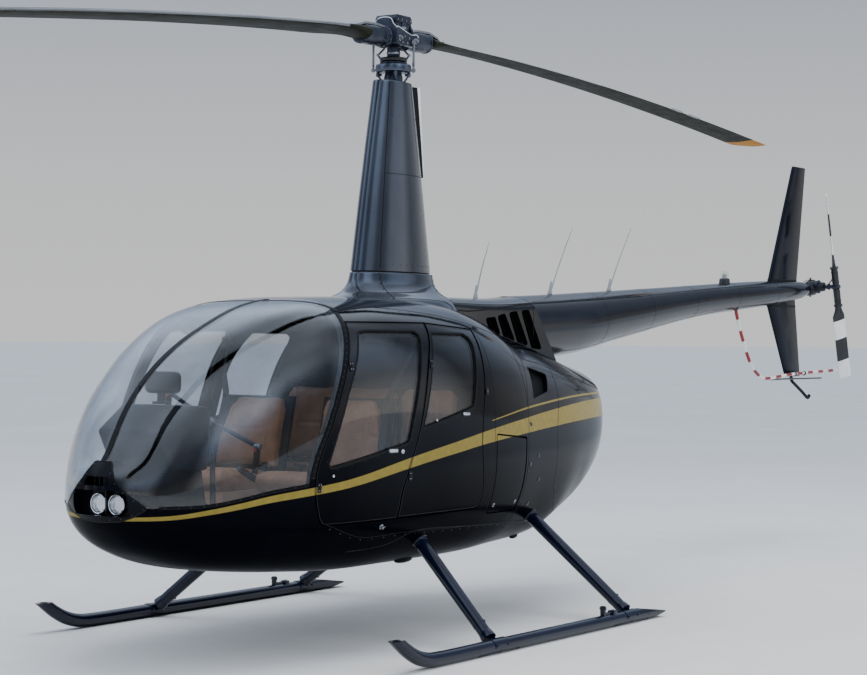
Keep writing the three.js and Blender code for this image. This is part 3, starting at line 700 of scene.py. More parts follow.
STRIPE_X = [2.44, 2.39, 2.288, 2.164, 2.0, 1.855, 1.627, 1.512, 1.377, 0.897, 0.45, 0.024, -0.4, -0.81, -1.4, -1.944, -2.15]
_mid = [.747, .751, .759, .780, .810, .836, .862, .8745, .891, .9685, 1.033, 1.087, 1.124, 1.151, 1.178, 1.186, 1.187]
_half = [.009, .0095, .0105, .012, .0145, .0165, .0185, .0195, .0205, .0260, .0305, .0365, .0435, .0490, .0545, .0570, .0570]
STRIPE_TOP = [a + b for a, b in zip(_mid, _half)]
STRIPE_BOT = [a - b for a, b in zip(_mid, _half)]
PIN_X = [0.05, -0.05, -0.193, -0.41, -0.727, -1.0, -1.326, -1.7, -2.15]
PIN_Z = [1.168, 1.181, 1.199, 1.223, 1.245, 1.260, 1.272, 1.276, 1.274]


def glass(name, tint, rough=0.0, base=0.03):
    """Thin acrylic pane: clear to light with a tint, and a glossy face."""
    m = bpy.data.materials.new(name)
    m.use_nodes = True
    nt = m.node_tree
    nt.nodes.clear()
    out = nt.nodes.new("ShaderNodeOutputMaterial")
    tc = N(nt, "TexCoord")
    n1 = noise(nt, tc.outputs["Object"], 5.0, 4.0)
    t = tint
    d = tuple(v * 0.93 for v in tint)
    col = mixc(nt, remap(nt, n1, 0.3, 0.7, 0, 1), (*d, 1), (*t, 1))
    tr = N(nt, "BsdfTransparent", {"Color": col})
    gl = N(nt, "BsdfGlossy", {"Color": (1, 1, 1, 1), "Roughness": rough})
    # same gloss from both sides of the pane: more towards grazing angles
    lw = N(nt, "LayerWeight", {"Blend": 0.5})
    edge_ = math_(nt, "POWER", lw.outputs["Facing"], 4.6)
    fr = math_(nt, "ADD", math_(nt, "MULTIPLY", edge_, 0.9), base)
    mx = N(nt, "MixShader", {0: fr, 1: tr.outputs[0], 2: gl.outputs[0]})
    nt.links.new(mx.outputs[0], out.inputs[0])
    return m


def leather():
    """Tan leather with pores, creases and a soft sheen."""
    m, nt, p, _ = new_mat("tan_leather")
    tc = N(nt, "TexCoord")
    v = tc.outputs["Object"]
    n1 = noise(nt, v, 7, 6.0)
    col = mixc(nt, remap(nt, n1, 0.3, 0.7, 0, 1), lin((150, 103, 70)), lin((178, 129, 92)))
    n2 = noise(nt, v, 26, 8.0, 0.7)
    col = mixc(nt, remap(nt, n2, 0.5, 0.72, 0, 0.5), col, lin((138, 94, 64)))
    vo = N(nt, "TexVoronoi", {"Vector": v, "Scale": 420.0})
    vo.feature = "DISTANCE_TO_EDGE"
    crack = remap(nt, vo.outputs["Distance"], 0.0, 0.12, 0.0, 1.0)
    h = math_(nt, "ADD", math_(nt, "MULTIPLY", crack, 0.5), math_(nt, "MULTIPLY", noise(nt, v, 120, 6.0), 0.8))
    bp = N(nt, "Bump", {"Height": h, "Strength": 0.45, "Distance": 0.0012})
    nt.links.new(bp.outputs[0], p.inputs["Normal"])
    nt.links.new(col, p.inputs["Base Color"])
    nt.links.new(remap(nt, n2, 0.3, 0.7, 0.38, 0.52), p.inputs["Roughness"])
    p.inputs["Specular IOR Level"].default_value = 0.45
    p.inputs["Sheen Weight"].default_value = 0.08
    return m


def carpet():
    m, nt, p, _ = new_mat("cabin_carpet")
    tc = N(nt, "TexCoord")
    v = tc.outputs["Object"]
    n1 = noise(nt, v, 320, 3.0)
    col = mixc(nt, remap(nt, n1, 0.35, 0.65, 0, 1), lin((9, 9, 9)), lin((20, 19, 19)))
    nt.links.new(col, p.inputs["Base Color"])
    p.inputs["Roughness"].default_value = 0.95
    p.inputs["Sheen Weight"].default_value = 0.3
    bp = N(nt, "Bump", {"Height": n1, "Strength": 0.8, "Distance": 0.002})
    nt.links.new(bp.outputs[0], p.inputs["Normal"])
    return m


def webbing():
    """Woven belt webbing."""
    m, nt, p, _ = new_mat("belt_webbing")
    tc = N(nt, "TexCoord")
    w = N(nt, "TexWave", {"Vector": tc.outputs["Object"], "Scale": 260.0, "Distortion": 1.5, "Detail": 2.0})
    col = mixc(nt, w.outputs["Fac"], lin((18, 18, 20)), lin((44, 44, 48)))
    nt.links.new(col, p.inputs["Base Color"])
    p.inputs["Roughness"].default_value = 0.75
    bp = N(nt, "Bump", {"Height": w.outputs["Fac"], "Strength": 0.5, "Distance": 0.0008})
    nt.links.new(bp.outputs[0], p.inputs["Normal"])
    return m


def mesh_screen():
    """Dark woven wire screen of an air inlet."""
    m, nt, p, _ = new_mat("inlet_screen")
    tc = N(nt, "TexCoord")
    ck = N(nt, "TexChecker", {"Vector": tc.outputs["Object"], "Scale": 260.0})
    col = mixc(nt, ck.outputs["Fac"], lin((5, 5, 6)), lin((18, 18, 20)))
    nt.links.new(col, p.inputs["Base Color"])
    p.inputs["Roughness"].default_value = 0.6
    p.inputs["Specular IOR Level"].default_value = 0.12
    bp = N(nt, "Bump", {"Height": ck.outputs["Fac"], "Strength": 0.7, "Distance": 0.0012})
    nt.links.new(bp.outputs[0], p.inputs["Normal"])
    return m


def fabric_line(name, a, b):
    return finish(name, a, b, (0.6, 0.75), 0.0, 30, (600, 0.3, 0.0006), 0.3)


PAINT = paint()
BLACK = finish("gloss_black", (7, 8, 12), (13, 15, 21), (0.09, 0.15), 0, 4, (6, 0.06, 0.004), 0.07, 0.02, 0.03, worn=((30, 30, 32), 42, 0.76))
BOOMP = finish("boom_paint", (7, 9, 16), (12, 15, 26), (0.12, 0.2), 0, 2.2, (4, 0.05, 0.004), 0.3, 0.14, 0.05)
FINP = finish("fin_paint", (7, 10, 19), (12, 16, 29), (0.14, 0.22), 0, 2.2, (4, 0.04, 0.004), 0.11, 0.03, 0.05)
STRIP = finish("edge_strip_black", (5, 6, 8), (10, 11, 14), (0.32, 0.45), 0, 9, (240, 0.1, 0.0004), 0.12)
ROD = finish("aerial_grey", (122, 125, 130), (148, 151, 156), (0.3, 0.42), 0, 6, (200, 0.1, 0.0005), 0.3)
TRIM = finish("trim_black", (9, 9, 11), (17, 17, 20), (0.36, 0.52), 0, 9, (90, 0.05, 0.0004), 0.26)
LINER = finish("cabin_liner", (12, 12, 14), (20, 19, 21), (0.7, 0.85), 0, 11, (60, 0.04, 0.0006), 0.16, sheen=0.03)
RUBBER = finish("seal_rubber", (6, 6, 7), (12, 12, 13), (0.5, 0.7), 0, 18, (260, 0.12, 0.0004), 0.2)
GEAR = finish("gear_paint", (9, 14, 30), (15, 22, 42), (0.12, 0.2), 0, 4, (6, 0.06, 0.004), 0.26, 0.2, 0.05, worn=((50, 52, 58), 42, 0.75))
GEARBOX = finish("gearbox_paint", (24, 26, 31), (38, 41, 48), (0.38, 0.55), 0.35, 22, (160, 0.5, 0.0014))
RING = finish("dark_ring_metal", (66, 72, 86), (98, 104, 118), (0.24, 0.38), 0.85, 14, (420, 0.12, 0.0004))
SHROUD = finish("mast_grey", (58, 64, 74), (78, 84, 94), (0.12, 0.2), 0.7, 2.6, (5, 0.08, 0.004), 0.5, 0.3, 0.04, stretch=(1, 1, 0.35))
PALE = finish("pale_panel", (176, 178, 176), (204, 205, 200), (0.28, 0.4), 0, 6, (200, 0.1, 0.0005))
METAL = finish("machined_metal", (128, 131, 138), (160, 163, 168), (0.22, 0.36), 0.95, 14, (420, 0.12, 0.0004), stretch=(1, 1, 5))
DARKMETAL = finish("dark_metal", (38, 42, 52), (62, 67, 80), (0.26, 0.42), 0.75, 12, (300, 0.2, 0.0006), worn=((150, 152, 158), 46, 0.7))
CASTING = finish("cast_metal", (74, 77, 82), (98, 101, 106), (0.42, 0.6), 0.7, 22, (160, 0.5, 0.0014))
STEEL = finish("heated_steel", (92, 84, 76), (142, 136, 130), (0.28, 0.5), 0.95, 10, (260, 0.2, 0.0006))
CHROME = finish("bright_metal", (206, 208, 212), (232, 233, 236), (0.05, 0.1), 1.0, 8, (200, 0.03, 0.0003))
BLADE = finish("blade_olive", (20, 22, 15), (33, 35, 24), (0.5, 0.65), 0.0, 3.2, (260, 0.1, 0.0004), 0.07, stretch=(0.35, 1, 1), worn=((60, 60, 50), 30, 0.75))
BLADE_EDGE = finish("blade_edge_metal", (118, 120, 122), (150, 152, 154), (0.25, 0.4), 0.9, 6, (300, 0.1, 0.0004), stretch=(0.3, 1, 1))
TIP = finish("tip_yellow", (172, 112, 18), (190, 130, 30), (0.45, 0.6), 0.0, 8, (260, 0.1, 0.0004), 0.1)
WHITE = finish("white_paint", (212, 213, 210), (232, 232, 228), (0.24, 0.36), 0.0, 7, (200, 0.08, 0.0004), coat=0.2, worn=((120, 118, 112), 38, 0.73))
TBLACK = finish("rotor_black", (14, 15, 18), (26, 27, 31), (0.26, 0.4), 0.0, 9, (260, 0.1, 0.0005), worn=((90, 90, 92), 44, 0.73))
RED = finish("band_red", (122, 12, 15), (142, 20, 22), (0.26, 0.38), 0.0, 9, (200, 0.08, 0.0004), coat=0.2)
REDKNOB = finish("button_red", (190, 26, 22), (208, 40, 34), (0.25, 0.35), 0.0, 30, (500, 0.1, 0.0003))
DIAL = finish("dial_black", (10, 10, 11), (16, 16, 18), (0.4, 0.5), 0.0, 40, (500, 0.1, 0.0003))
DIALMARK = finish("dial_marks", (212, 212, 206), (232, 232, 226), (0.4, 0.5), 0.0, 40, (500, 0.1, 0.0002))
THREAD = fabric_line("seam_thread", (196, 150, 106), (214, 170, 124))
LEATHER, CARPET, WEBBING, SCREEN = leather(), carpet(), webbing(), mesh_screen()
SHIELD = glass("windshield_acrylic", (0.86, 0.885, 0.91), 0.0, 0.04)
TINTED = glass("tinted_acrylic", (0.79, 0.805, 0.82), 0.0, 0.045)
LENS = glass("lamp_lens", (0.97, 0.975, 0.98))

# ------------------------------------------------------------------ outlines
POST = [[1208, 1790], [1265, 1697], [1378, 1470], [1499, 1210], [1615, 925], [1618, 870], [1604, 790], [1574, 722]]
SPLIT = [[545, 1800], [560, 1703], [668, 1490], [790, 1131], [856, 994], [900, 905], [944, 802], [948, 640]]
REAR = [[20, 1800], [45, 1668], [84, 1500], [117, 1351], [150, 1206], [163, 1035], [130, 788], [120, 640]]
WIN_FRONT = [[1208, 1655], [1130, 1663], [712, 1663], [682, 1640], [684, 1615], [748, 1460], [872, 1095], [890, 1075], [1505, 970], [1522, 990], [1383, 1327]]
WIN_REAR = [[545, 1655], [190, 1650], [140, 1625], [132, 1585], [240, 1262], [262, 1244], [735, 1150], [745, 1170], [650, 1440], [560, 1640]]
VENT = [[-606, 1459], [-895, 1412], [-805, 1306], [-542, 1271]]
GAP, FIT, SILL, FLOOR_Z = 8.0, 0.4, 690.0, 565.0
DOOR_TOP, DOOR_TOP_REAR = 1700.0, 1668.0
COWL_X = -438.0


def spline_open(pts, step=18.0):
    return resample(np.asarray(pts, float), step).tolist()


def rounded(poly, r=26.0, seg=5):
    """Closed outline with its corners rounded."""
    P = np.asarray(poly, float)
    out = []
    n = len(P)
    for i in range(n):
        a, b, c = P[i - 1], P[i], P[(i + 1) % n]
        u, v = unit(a - b), unit(c - b)
        cosang = np.clip(np.dot(u, v), -1, 1)
        half = np.arccos(cosang) / 2
        d = min(r / max(np.tan(half), 1e-3), 0.42 * np.linalg.norm(a - b), 0.42 * np.linalg.norm(c - b))
        if half > math.radians(86):
            d = min(0.3 * np.linalg.norm(a - b), 0.3 * np.linalg.norm(c - b), 40)
        p0, p1 = b + u * d, b + v * d
        for t in np.linspace(0, 1, seg + 1):
            out.append(((1 - t) ** 2) * p0 + 2 * t * (1 - t) * b + t * t * p1)
    return np.array(out)


def curve_xz(line, lo, hi, n=26):
    """Points of an x(z) line between two heights, smoothly interpolated."""
    L = np.asarray(line, float)
    f = Pchip(L[:, 1], L[:, 0])
    z = np.linspace(hi, lo, n)
    return np.stack([f(z)[:, 0], z], -1)


POST_F = lambda lo, hi, n=26: curve_xz(POST, lo, hi, n)


def front_door(g):
    top = curve_xz(POST, SILL + 36, DOOR_TOP - 3, 30) + [-16 + g, 0]
    split = curve_xz(SPLIT, SILL + 12, DOOR_TOP - 10, 30)[::-1]
    lean = np.zeros(len(split)) if g else np.maximum(0, (split[:, 1] - 1100) / 70)
    back = np.stack([split[:, 0] + 4 - g + lean, split[:, 1]], -1)
    low = [[1538 + g, SILL + 12 - g * 0.5], [1516 + g, SILL - g], [956 - g, SILL - g]]
    return np.vstack([top, low, back, [[566 - g + (0 if g else 9), DOOR_TOP + g], [1249 + g, DOOR_TOP + g]]])


def rear_door(g):
    split = curve_xz(SPLIT, SILL + 12, DOOR_TOP - 10, 30)
    ease = np.zeros(len(split)) if g else np.interp(split[:, 1], [720, 800, 900], [6, 6, 0])
    front = np.stack([split[:, 0] - 4 + g - ease, split[:, 1]], -1)
    rear = curve_xz(REAR, SILL + 30, 1655, 26)[::-1]
    lean = np.zeros(len(rear)) if g else np.maximum(0, (rear[:, 1] - 1200) / 45)
    back = np.stack([rear[:, 0] - g + lean, rear[:, 1]], -1)
    return np.vstack([[[557 + g, DOOR_TOP + g]], front, [[(942 if g else 938) + g, SILL + (0 if g else 4) - g], [170 - g, SILL - g], [136 - g, SILL + 9 - g]],
                      back, [[47 - g + (0 if g else 11), DOOR_TOP_REAR + g]]])


def bag(g):
    return rounded([[-12 + g, 650 - g], [-12 + g, 1085 + 1.3 * g], [-400 - g + (0 if g else 4), 1050 + 1.3 * g], [-400 - g + (0 if g else 14), 640 - g]], 14 + g * 0.5, 4)


NOSE_TOP = [[2600, 800], [2361, 803], [2167, 811], [1855, 869], [1645, 893]]


def glass_zone(d, grow=0.0):
    edge = curve_xz(POST, 925, 1780, 24)[::-1] + [22 + d, 0]
    return prism(np.vstack([np.array(NOSE_TOP[:4], float) + [0, FIT], [[1645 + d, 893 + FIT]], edge, [[1132 + d, 1830], [1132 + d, 2100], [2600, 2100]]]), -1200, 1200)


HOUSE = [[-52, 1022], [-105, 940], [-176, 868], [-262, 803], [-190, 762], [-120, 738], [0, 730], [120, 738], [190, 762], [262, 803], [176, 868], [105, 940], [52, 1022]]


def house_outline(d):
    h = np.array([[y * (1 + d / 100), 868 + (z - 868) * (1 + d / 100)] for y, z in HOUSE])
    return rounded(h, 16, 4)


# ------------------------------------------------------------------ body skins
OUT, IN = body_solid(0.0), body_solid(24.0)
SHELL = csg(OUT, IN, "DIFFERENCE")
DOOR_HOLES = plus(side_prism(front_door(GAP), 1), side_prism(rear_door(GAP), 1))
DOOR_HOLES_R = mirrored(DOOR_HOLES)
HOUSE_CUT = prism(house_outline(1), 2330, 2600, "x")

tub_zone = prism([[2600, 200], [2600, 800 - FIT], [2361, 803 - FIT], [2167, 811 - FIT], [1855, 869 - FIT], [1645 + FIT, 893 - FIT], [1645 + FIT, 690], [10, 690], [10, 200]], -1200, 1200)
cabin_low = both_of(IN, cube(5, 2600, -1200, 1200, FLOOR_Z, 2400))
tub = less(both_of(OUT, tub_zone), cabin_low, HOUSE_CUT, DOOR_HOLES, DOOR_HOLES_R)
o = skin_piece("belly_skin", tub, [PAINT, CARPET], "airframe", "body_paint")
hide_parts("belly_tub")

edge = curve_xz(POST, 925, 1780, 24)[::-1] + [22, 0]
frame_zone = prism(np.vstack([[[1645, 690 + FIT], [1645, 893]], edge, [[1132, 1830], [1132, 2100], [10 + FIT, 2100], [10 + FIT, 690 + FIT]]]), -1200, 1200)
shell_frame = less(both_of(SHELL, frame_zone), DOOR_HOLES, DOOR_HOLES_R)
o = skin_piece("roof_and_posts", shell_frame, [PAINT, LINER], "airframe", "body_paint")
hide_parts("cabin_frame")

ring_zone = cube(COWL_X, 10 - FIT, -1200, 1200, 0, 2400)
rear_ring = less(both_of(SHELL, ring_zone), side_prism(bag(GAP), 1))
o = skin_piece("rear_skin", rear_ring, [PAINT, TRIM], "airframe", "body_paint")
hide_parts("rear_body")
o = skin_piece("locker_skin", both_of(SHELL, side_prism(bag(0), 1)), [PAINT, TRIM], "locker_lid", "body_paint")
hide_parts("locker_door")

cowl_zone = cube(-2400, COWL_X - FIT, -1200, 1200, 0, 2400)
vent_r = rounded(VENT, 22, 4)
exhaust_cut = mesh_of(*tube([[-2050, 0, 1239], [-2300, 0, 1243]], 74, 40))
cowl = less(both_of(SHELL, cowl_zone), side_prism(vent_r, 1), side_prism(vent_r, -1), exhaust_cut)
o = skin_piece("cowl_skin", cowl, [PAINT, TRIM], "airframe", "body_paint")
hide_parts("engine_cowl")

IN8, IN14 = body_solid(8.0), body_solid(14.0)
PANE = csg(IN8, IN14, "DIFFERENCE")
for nm, door, win in (("front", front_door, WIN_FRONT), ("rear", rear_door, WIN_REAR)):
    wr = rounded(win, 40, 6)
    slab_ = less(both_of(SHELL, side_prism(door(0), 1)), side_prism(wr, 1))
    cx, cz = wr.mean(0)
    small = np.array([[x + math.copysign(FIT, cx - x), z + math.copysign(FIT, cz - z)] for x, z in wr])
    pane = both_of(PANE, side_prism(small, 1))
    for s, tag in ((1, "left"), (-1, "right")):
        d = slab_ if s > 0 else mirrored(slab_)
        g = pane if s > 0 else mirrored(pane)
        o = skin_piece(f"{nm}_door_skin_{tag}", d, [PAINT, LINER], f"door_{nm}_{tag}", "body_paint")
        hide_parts(f"{nm}_door_{tag}")
        o = skin_piece(f"{nm}_door_glass_{tag}", g, [TINTED], f"door_{nm}_{tag}", "glazing", 8.0, 14.0)
        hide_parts(f"{nm}_door_window_{tag}")

IN6 = body_solid(6.0)
shield = less(both_of(csg(OUT, IN6, "DIFFERENCE"), glass_zone(FIT)), HOUSE_CUT)
half = both_of(shield, cube(1000, 2600, 16, 1200, 0, 2400))
for s, tag in ((1, "left"), (-1, "right")):
    o = skin_piece(f"windshield_pane_{tag}", half if s > 0 else mirrored(half), [SHIELD], "airframe", "glazing", 0.0, 6.0)
    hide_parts(f"windshield_{tag}")
strip = both_of(less(both_of(csg(body_solid(-2.0), body_solid(10.0), "DIFFERENCE"), glass_zone(FIT)), HOUSE_CUT), cube(1000, 2600, -15.6, 15.6, 0, 2400))
o = skin_piece("windshield_centre_strip", strip, [STRIP], "airframe", "dark_trim", -2.0, 10.0)
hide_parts("windshield_strip")


# ------------------------------------------------------------------ strips, studs and seams on the skin
def band(points, normals, w, h, sink=0.6, closed=False, crown=0.35):
    """A flat strip lying on a surface along a path: w wide, h proud, with softened edges."""
    P, Nn = np.asarray(points, float), unit(normals)
    T = unit(np.roll(P, -1, 0) - np.roll(P, 1, 0)) if closed else unit(np.gradient(P, axis=0))
    Bn = unit(np.cross(Nn, T))
    prof = [(-w / 2, -sink), (-w / 2, h * (1 - crown)), (-w / 2 * (1 - crown * .5), h), (w / 2 * (1 - crown * .5), h), (w / 2, h * (1 - crown)), (w / 2, -sink)]
    rings = [p + a * b + c * n for p, b, n in zip(P, Bn, Nn) for a, c in prof]
    rings = np.asarray(rings).reshape(len(P), len(prof), 3)
    if not closed:
        return loft(list(rings))
    co, f = loft(list(rings) + [rings[0]], caps=False)
    k, n = len(prof), len(P)
    f = [tuple(i % (n * k) for i in q) for q in f]
    return co[: n * k], f


def stud(p, n, r, h, seg=10, slot=False):
    """Low domed head with a flat foot."""
    n = unit(n)
    prof = [(r, -0.8), (r, h * 0.25), (r * 0.86, h * 0.68), (r * 0.55, h * 0.95)]
    if slot:
        prof += [(r * 0.34, h), (r * 0.30, h * 0.45)]
    return turned(prof, p, n, seg)


def spaced(P, gap, start=0.0):
    """Points at equal spacing along a dense path."""
    P = np.asarray(P, float)
    s = np.r_[0, np.cumsum(np.linalg.norm(np.diff(P, axis=0), axis=1))]
    q = np.arange(start, s[-1] - 1e-6, gap)
    return np.stack([np.interp(q, s, P[:, i]) for i in range(3)], -1)


def on_skin_xz(line, side=1, t=0.0, step=12.0, smooth=True):
    L = np.asarray(line, float)
    Q = resample(np.column_stack([L[:, 0], np.zeros(len(L)), L[:, 1]]), step, smooth)
    P = on_side(Q[:, 0], Q[:, 2], side, t)
    return P, grad(P, t)


def project(P, t=0.0, it=6):
    """Moves points onto the skin along its normal."""
    P = np.array(P, float)
    for _ in range(it):
        P = P - grad(P, t) * implicit(P, t)[:, None] * 0.9
    return P


def bolt(kit, p, n, r=7.0, h=6.0, mi=0, hexa=True):
    n = unit(n)
    kit.add(*turned([(r * 1.45, -0.6), (r * 1.45, h * 0.25), (r * 1.3, h * 0.3)], p, n, 18), mi)
    kit.add(*turned([(r * 1.12, h * 0.28), (r * 1.12, h * 0.92), (r * 0.98, h)], p, n, 6 if hexa else 16), mi)
    kit.add(*turned([(r * 0.52, h * 0.9), (r * 0.52, h * 1.35), (r * 0.4, h * 1.45)], p, n, 12), mi)


# studs along the windshield's rear strip and the roof groove
k = Kit()
line = curve_xz(POST, 925, 1752, 60)
for s in (1, -1):
    P, Nn = on_side(line[:, 0] + 5, line[:, 1], s), None
    Nn = grad(P)
    k.add(*band(P + Nn * 0.2, Nn, 27, 1.6, 1.2), 0)
    Q = spaced(P, 34, 12)
    for q in Q:
        n = grad(q[None])[0]
        k.add(*stud(q + n * 1.5, n, 3.6, 1.7, 10, True), 1)
top = on_top(np.full(40, 1217.0), np.linspace(-520, 520, 40))
gt = grad(top)
k.add(*band(top + gt * 0.2, gt, 27, 1.6, 1.2), 0)
for q in spaced(top, 40, 10):
    n = grad(q[None])[0]
    k.add(*stud(q + n * 1.5, n, 3.6, 1.7, 10, True), 1)
k.make("windshield_rear_strip", [STRIP, DARKMETAL], "airframe", "dark_trim")

# lower edge strip of the glass above the nose shell
k = Kit()
for s in (1, -1):
    L = np.array([[2330, 806], [2167, 813], [2000, 842], [1855, 871], [1645, 896]], float)
    P, Nn = on_skin_xz(L, s, 0, 14)
    k.add(*band(P + Nn * 0.2, Nn, 15, 1.3, 1.0), 0)
    for q in spaced(P, 62, 30):
        n = grad(q[None])[0]
        k.add(*stud(q + n * 1.2, n, 3.2, 1.5, 10, True), 1)
k.make("windshield_lower_strip", [STRIP, DARKMETAL], "airframe", "dark_trim")

# screws along the centre strip
k = Kit()
zz = np.linspace(1030, 1790, 300)
T = TV[TV[:, 0] > 1200]
xs = np.interp(zz, T[:, 3], T[:, 0])
P = np.stack([xs, np.zeros_like(xs), zz], -1)
for q in spaced(P, 70, 30):
    n = grad(q[None])[0]
    for y in (-8.5, 8.5):
        k.add(*stud(q + [0, y, 0] + n * 2.2, n, 2.7, 1.4, 8, True), 0)
q = spaced(P, 470, 430)[0]
n = grad(q[None])[0]
t = unit(np.cross(n, [0, 1, 0]))
for s_ in (-1, 1):
    k.add(*tube([q + n * 2, q + n * 15 + t * 5 * s_, q + n * 20 + t * 15 * s_], 2.4, 8, 3), 0)
k.add(*turned([(8, -1), (8, 4), (6, 5.5)], q + n * 2, n, 16), 0)
k.make("centre_strip_screws", [DARKMETAL], "airframe", "dark_trim")

# sealant and lap joints of the body panels, and a wide dark band that paints the shade inside the gap along the upper
# rear pod
k = Kit()
GROOVE = [[1218, 1762], [1080, 1775], [896, 1782], [606, 1768], [292, 1741], [-31, 1695], [-300, 1650], [-437, 1622]]
REAR_LINE = [[-600, 1506], [-653, 1497], [-898, 1469], [-1076, 1433], [-1241, 1409], [-1425, 1382], [-1605, 1349], [-1826, 1317], [-2060, 1288]]
REAR_GAP_SHADE = [[-1240, 1528], [-1310, 1508], [-1385, 1487], [-1474, 1451], [-1599, 1404], [-1738, 1365], [-1883, 1333], [-1990, 1312]]
LINES = [
    (GROOVE, 4.2),
    (REAR_LINE, 6.0),
    # 26 mm dark band: painted shade inside the gap along the upper rear pod
    (REAR_GAP_SHADE, 26.0),
    ([[-437, 1600], [-437, 1420], [-437, 1238], [-436, 1136], [-436, 1000], [-437, 760], [-438, 520]], 4.0),
    ([[-637, 1562], [-560, 1515], [-500, 1400], [-437, 1238]], 3.6),
    ([[-1018, 1460], [-975, 1290], [-902, 1119], [-900, 960], [-923, 772], [-1060, 640], [-1248, 545]], 3.8),
    ([[1500, 690], [1200, 606], [822, 604], [447, 592], [-64, 578], [-437, 560]], 3.4),
    ([[11, 1700], [11, 1400], [11, 1100], [11, 800], [11, 600]], 3.6),
]
for s in (1, -1):
    for L, w in LINES:
        P, Nn = on_skin_xz(L, s, 0, 14)
        k.add(*band(P + Nn * 0.05, Nn, w, 0.55, 0.8), 0)
k.make("panel_sealant", [RUBBER], "airframe", "dark_trim")

# flush fasteners along the panel joints
k = Kit()
for s in (1, -1):
    for L, off, gap in ((GROOVE, -17, 96), (REAR_LINE, 16, 118), (LINES[3][0], 14, 92), (LINES[5][0], 13, 84), (LINES[6][0], -15, 98)):
        P, Nn = on_skin_xz(L, s, 0, 8)
        T_ = unit(np.gradient(P, axis=0))
        Bn = np.cross(Nn, T_)
        Q = spaced(project(P + Bn * off * s), gap, 40)
        for q in Q:
            n = grad(q[None])[0]
            k.add(*turned([(4.6, -0.8), (4.6, 0.5), (3.9, 0.8), (2.0, 0.8), (1.8, 0.2)], q, n, 12), 0)
k.make("panel_fasteners", [DARKMETAL], "airframe", "bare_metal")

# quarter-turn latches on the cowl, oval with a slot
k = Kit()
for s in (1, -1):
    for x, z in ((-591, 943), (-637, 801), (-469, 1129), (-591, 660), (-470, 900)):
        p = on_side(x, z, s)[0]
        n = grad(p[None])[0]
        k.add(*turned([(13, -1), (13, 1.2), (11.5, 2.4), (4, 2.4)], p, n, 24), 0)
        t = unit(np.cross(n, [0.3, 0, 1]))
        b = np.cross(n, t)
        co, f = slab([-9, -1.6, 2.0], [9, 1.6, 3.6], 0.8, 2)
        k.add(xform(co, p, t, b, n), f, 0)
    for x, z in ((-40, 1681), (-700, 1545)):
        p = on_side(x, z, s)[0]
        n = grad(p[None])[0]
        t = unit(np.cross(np.cross(n, [1, 0, 0.0]), n))
        b = np.cross(n, t)
        co, f = slab([-26, -9, -1], [26, 9, 4.5], 3, 3)
        k.add(xform(co, p, t, b, n), f, 0)
        co, f = slab([-16, -4, 3.5], [20, 4, 9], 2, 2)
        k.add(xform(co, p, t, b, n), f, 0)
k.make("cowl_latches", [DARKMETAL], "airframe", "bare_metal")

# inlet screens behind the cowl vents
k = Kit()
for s in (1, -1):
    v = rounded(np.array(VENT, float) + (np.array(VENT, float) - np.mean(VENT, 0)) * 0.06, 22, 4)
    L = resample(np.column_stack([v[:, 0], 0 * v[:, 0], v[:, 1]]), 20, False)
    P = on_side(L[:, 0], L[:, 2], s, 27)
    c = P.mean(0)
    Pb = P + [0, -s * 3, 0]
    n = len(P)
    co = np.vstack([P, Pb, [c], [c - [0, s * 3, 0]]])
    f = [(i, (i + 1) % n, 2 * n) for i in range(n)] + [(n + (i + 1) % n, n + i, 2 * n + 1) for i in range(n)] + [((i + 1) % n, i, i + n, (i + 1) % n + n) for i in range(n)]
    k.add(co, f if s < 0 else flip(f), 0)
    rim = resample(np.column_stack([rounded(VENT, 22, 4)[:, 0], np.zeros(len(rounded(VENT, 22, 4))), rounded(VENT, 22, 4)[:, 1]]), 12, False)[:-1]
    R = on_side(rim[:, 0], rim[:, 2], s)
    k.add(*band(R, grad(R), 9, 1.4, 0.8, closed=True), 1)
k.make("cowl_vent_screens", [SCREEN, TRIM], "airframe", "dark_trim")

# rubber seals behind the door gaps, inside the frame
k = Kit()
for s in (1, -1):
    for poly in (front_door(4), rear_door(4), bag(4)):
        L = resample(np.column_stack([poly[:, 0], 0 * poly[:, 0], poly[:, 1]]), 22, False)
        keep = np.r_[True, np.linalg.norm(np.diff(L, axis=0), axis=1) > 2]
        L = L[keep]
        if np.linalg.norm(L[0] - L[-1]) < 6:
            L = L[:-1]
        if poly is not None and abs(poly[:, 0].max() + 8) < 12 and s < 0:
            continue
        P = on_side(L[:, 0], L[:, 2], s, 31)
        k.add(*band(P, grad(P, 31), 26, 4.5, 2.0, closed=True), 0)
k.make("door_opening_seals", [RUBBER], "airframe", "dark_trim")


# ------------------------------------------------------------------ lamp housing in the nose
house = both_of(body_solid(0.0), prism(house_outline(0), 2330, 2600, "x"))
LAMP_X, LAMP_Y, LAMP_Z, LAMP_R = 2350.0, 58.5, 814.0, 53.0
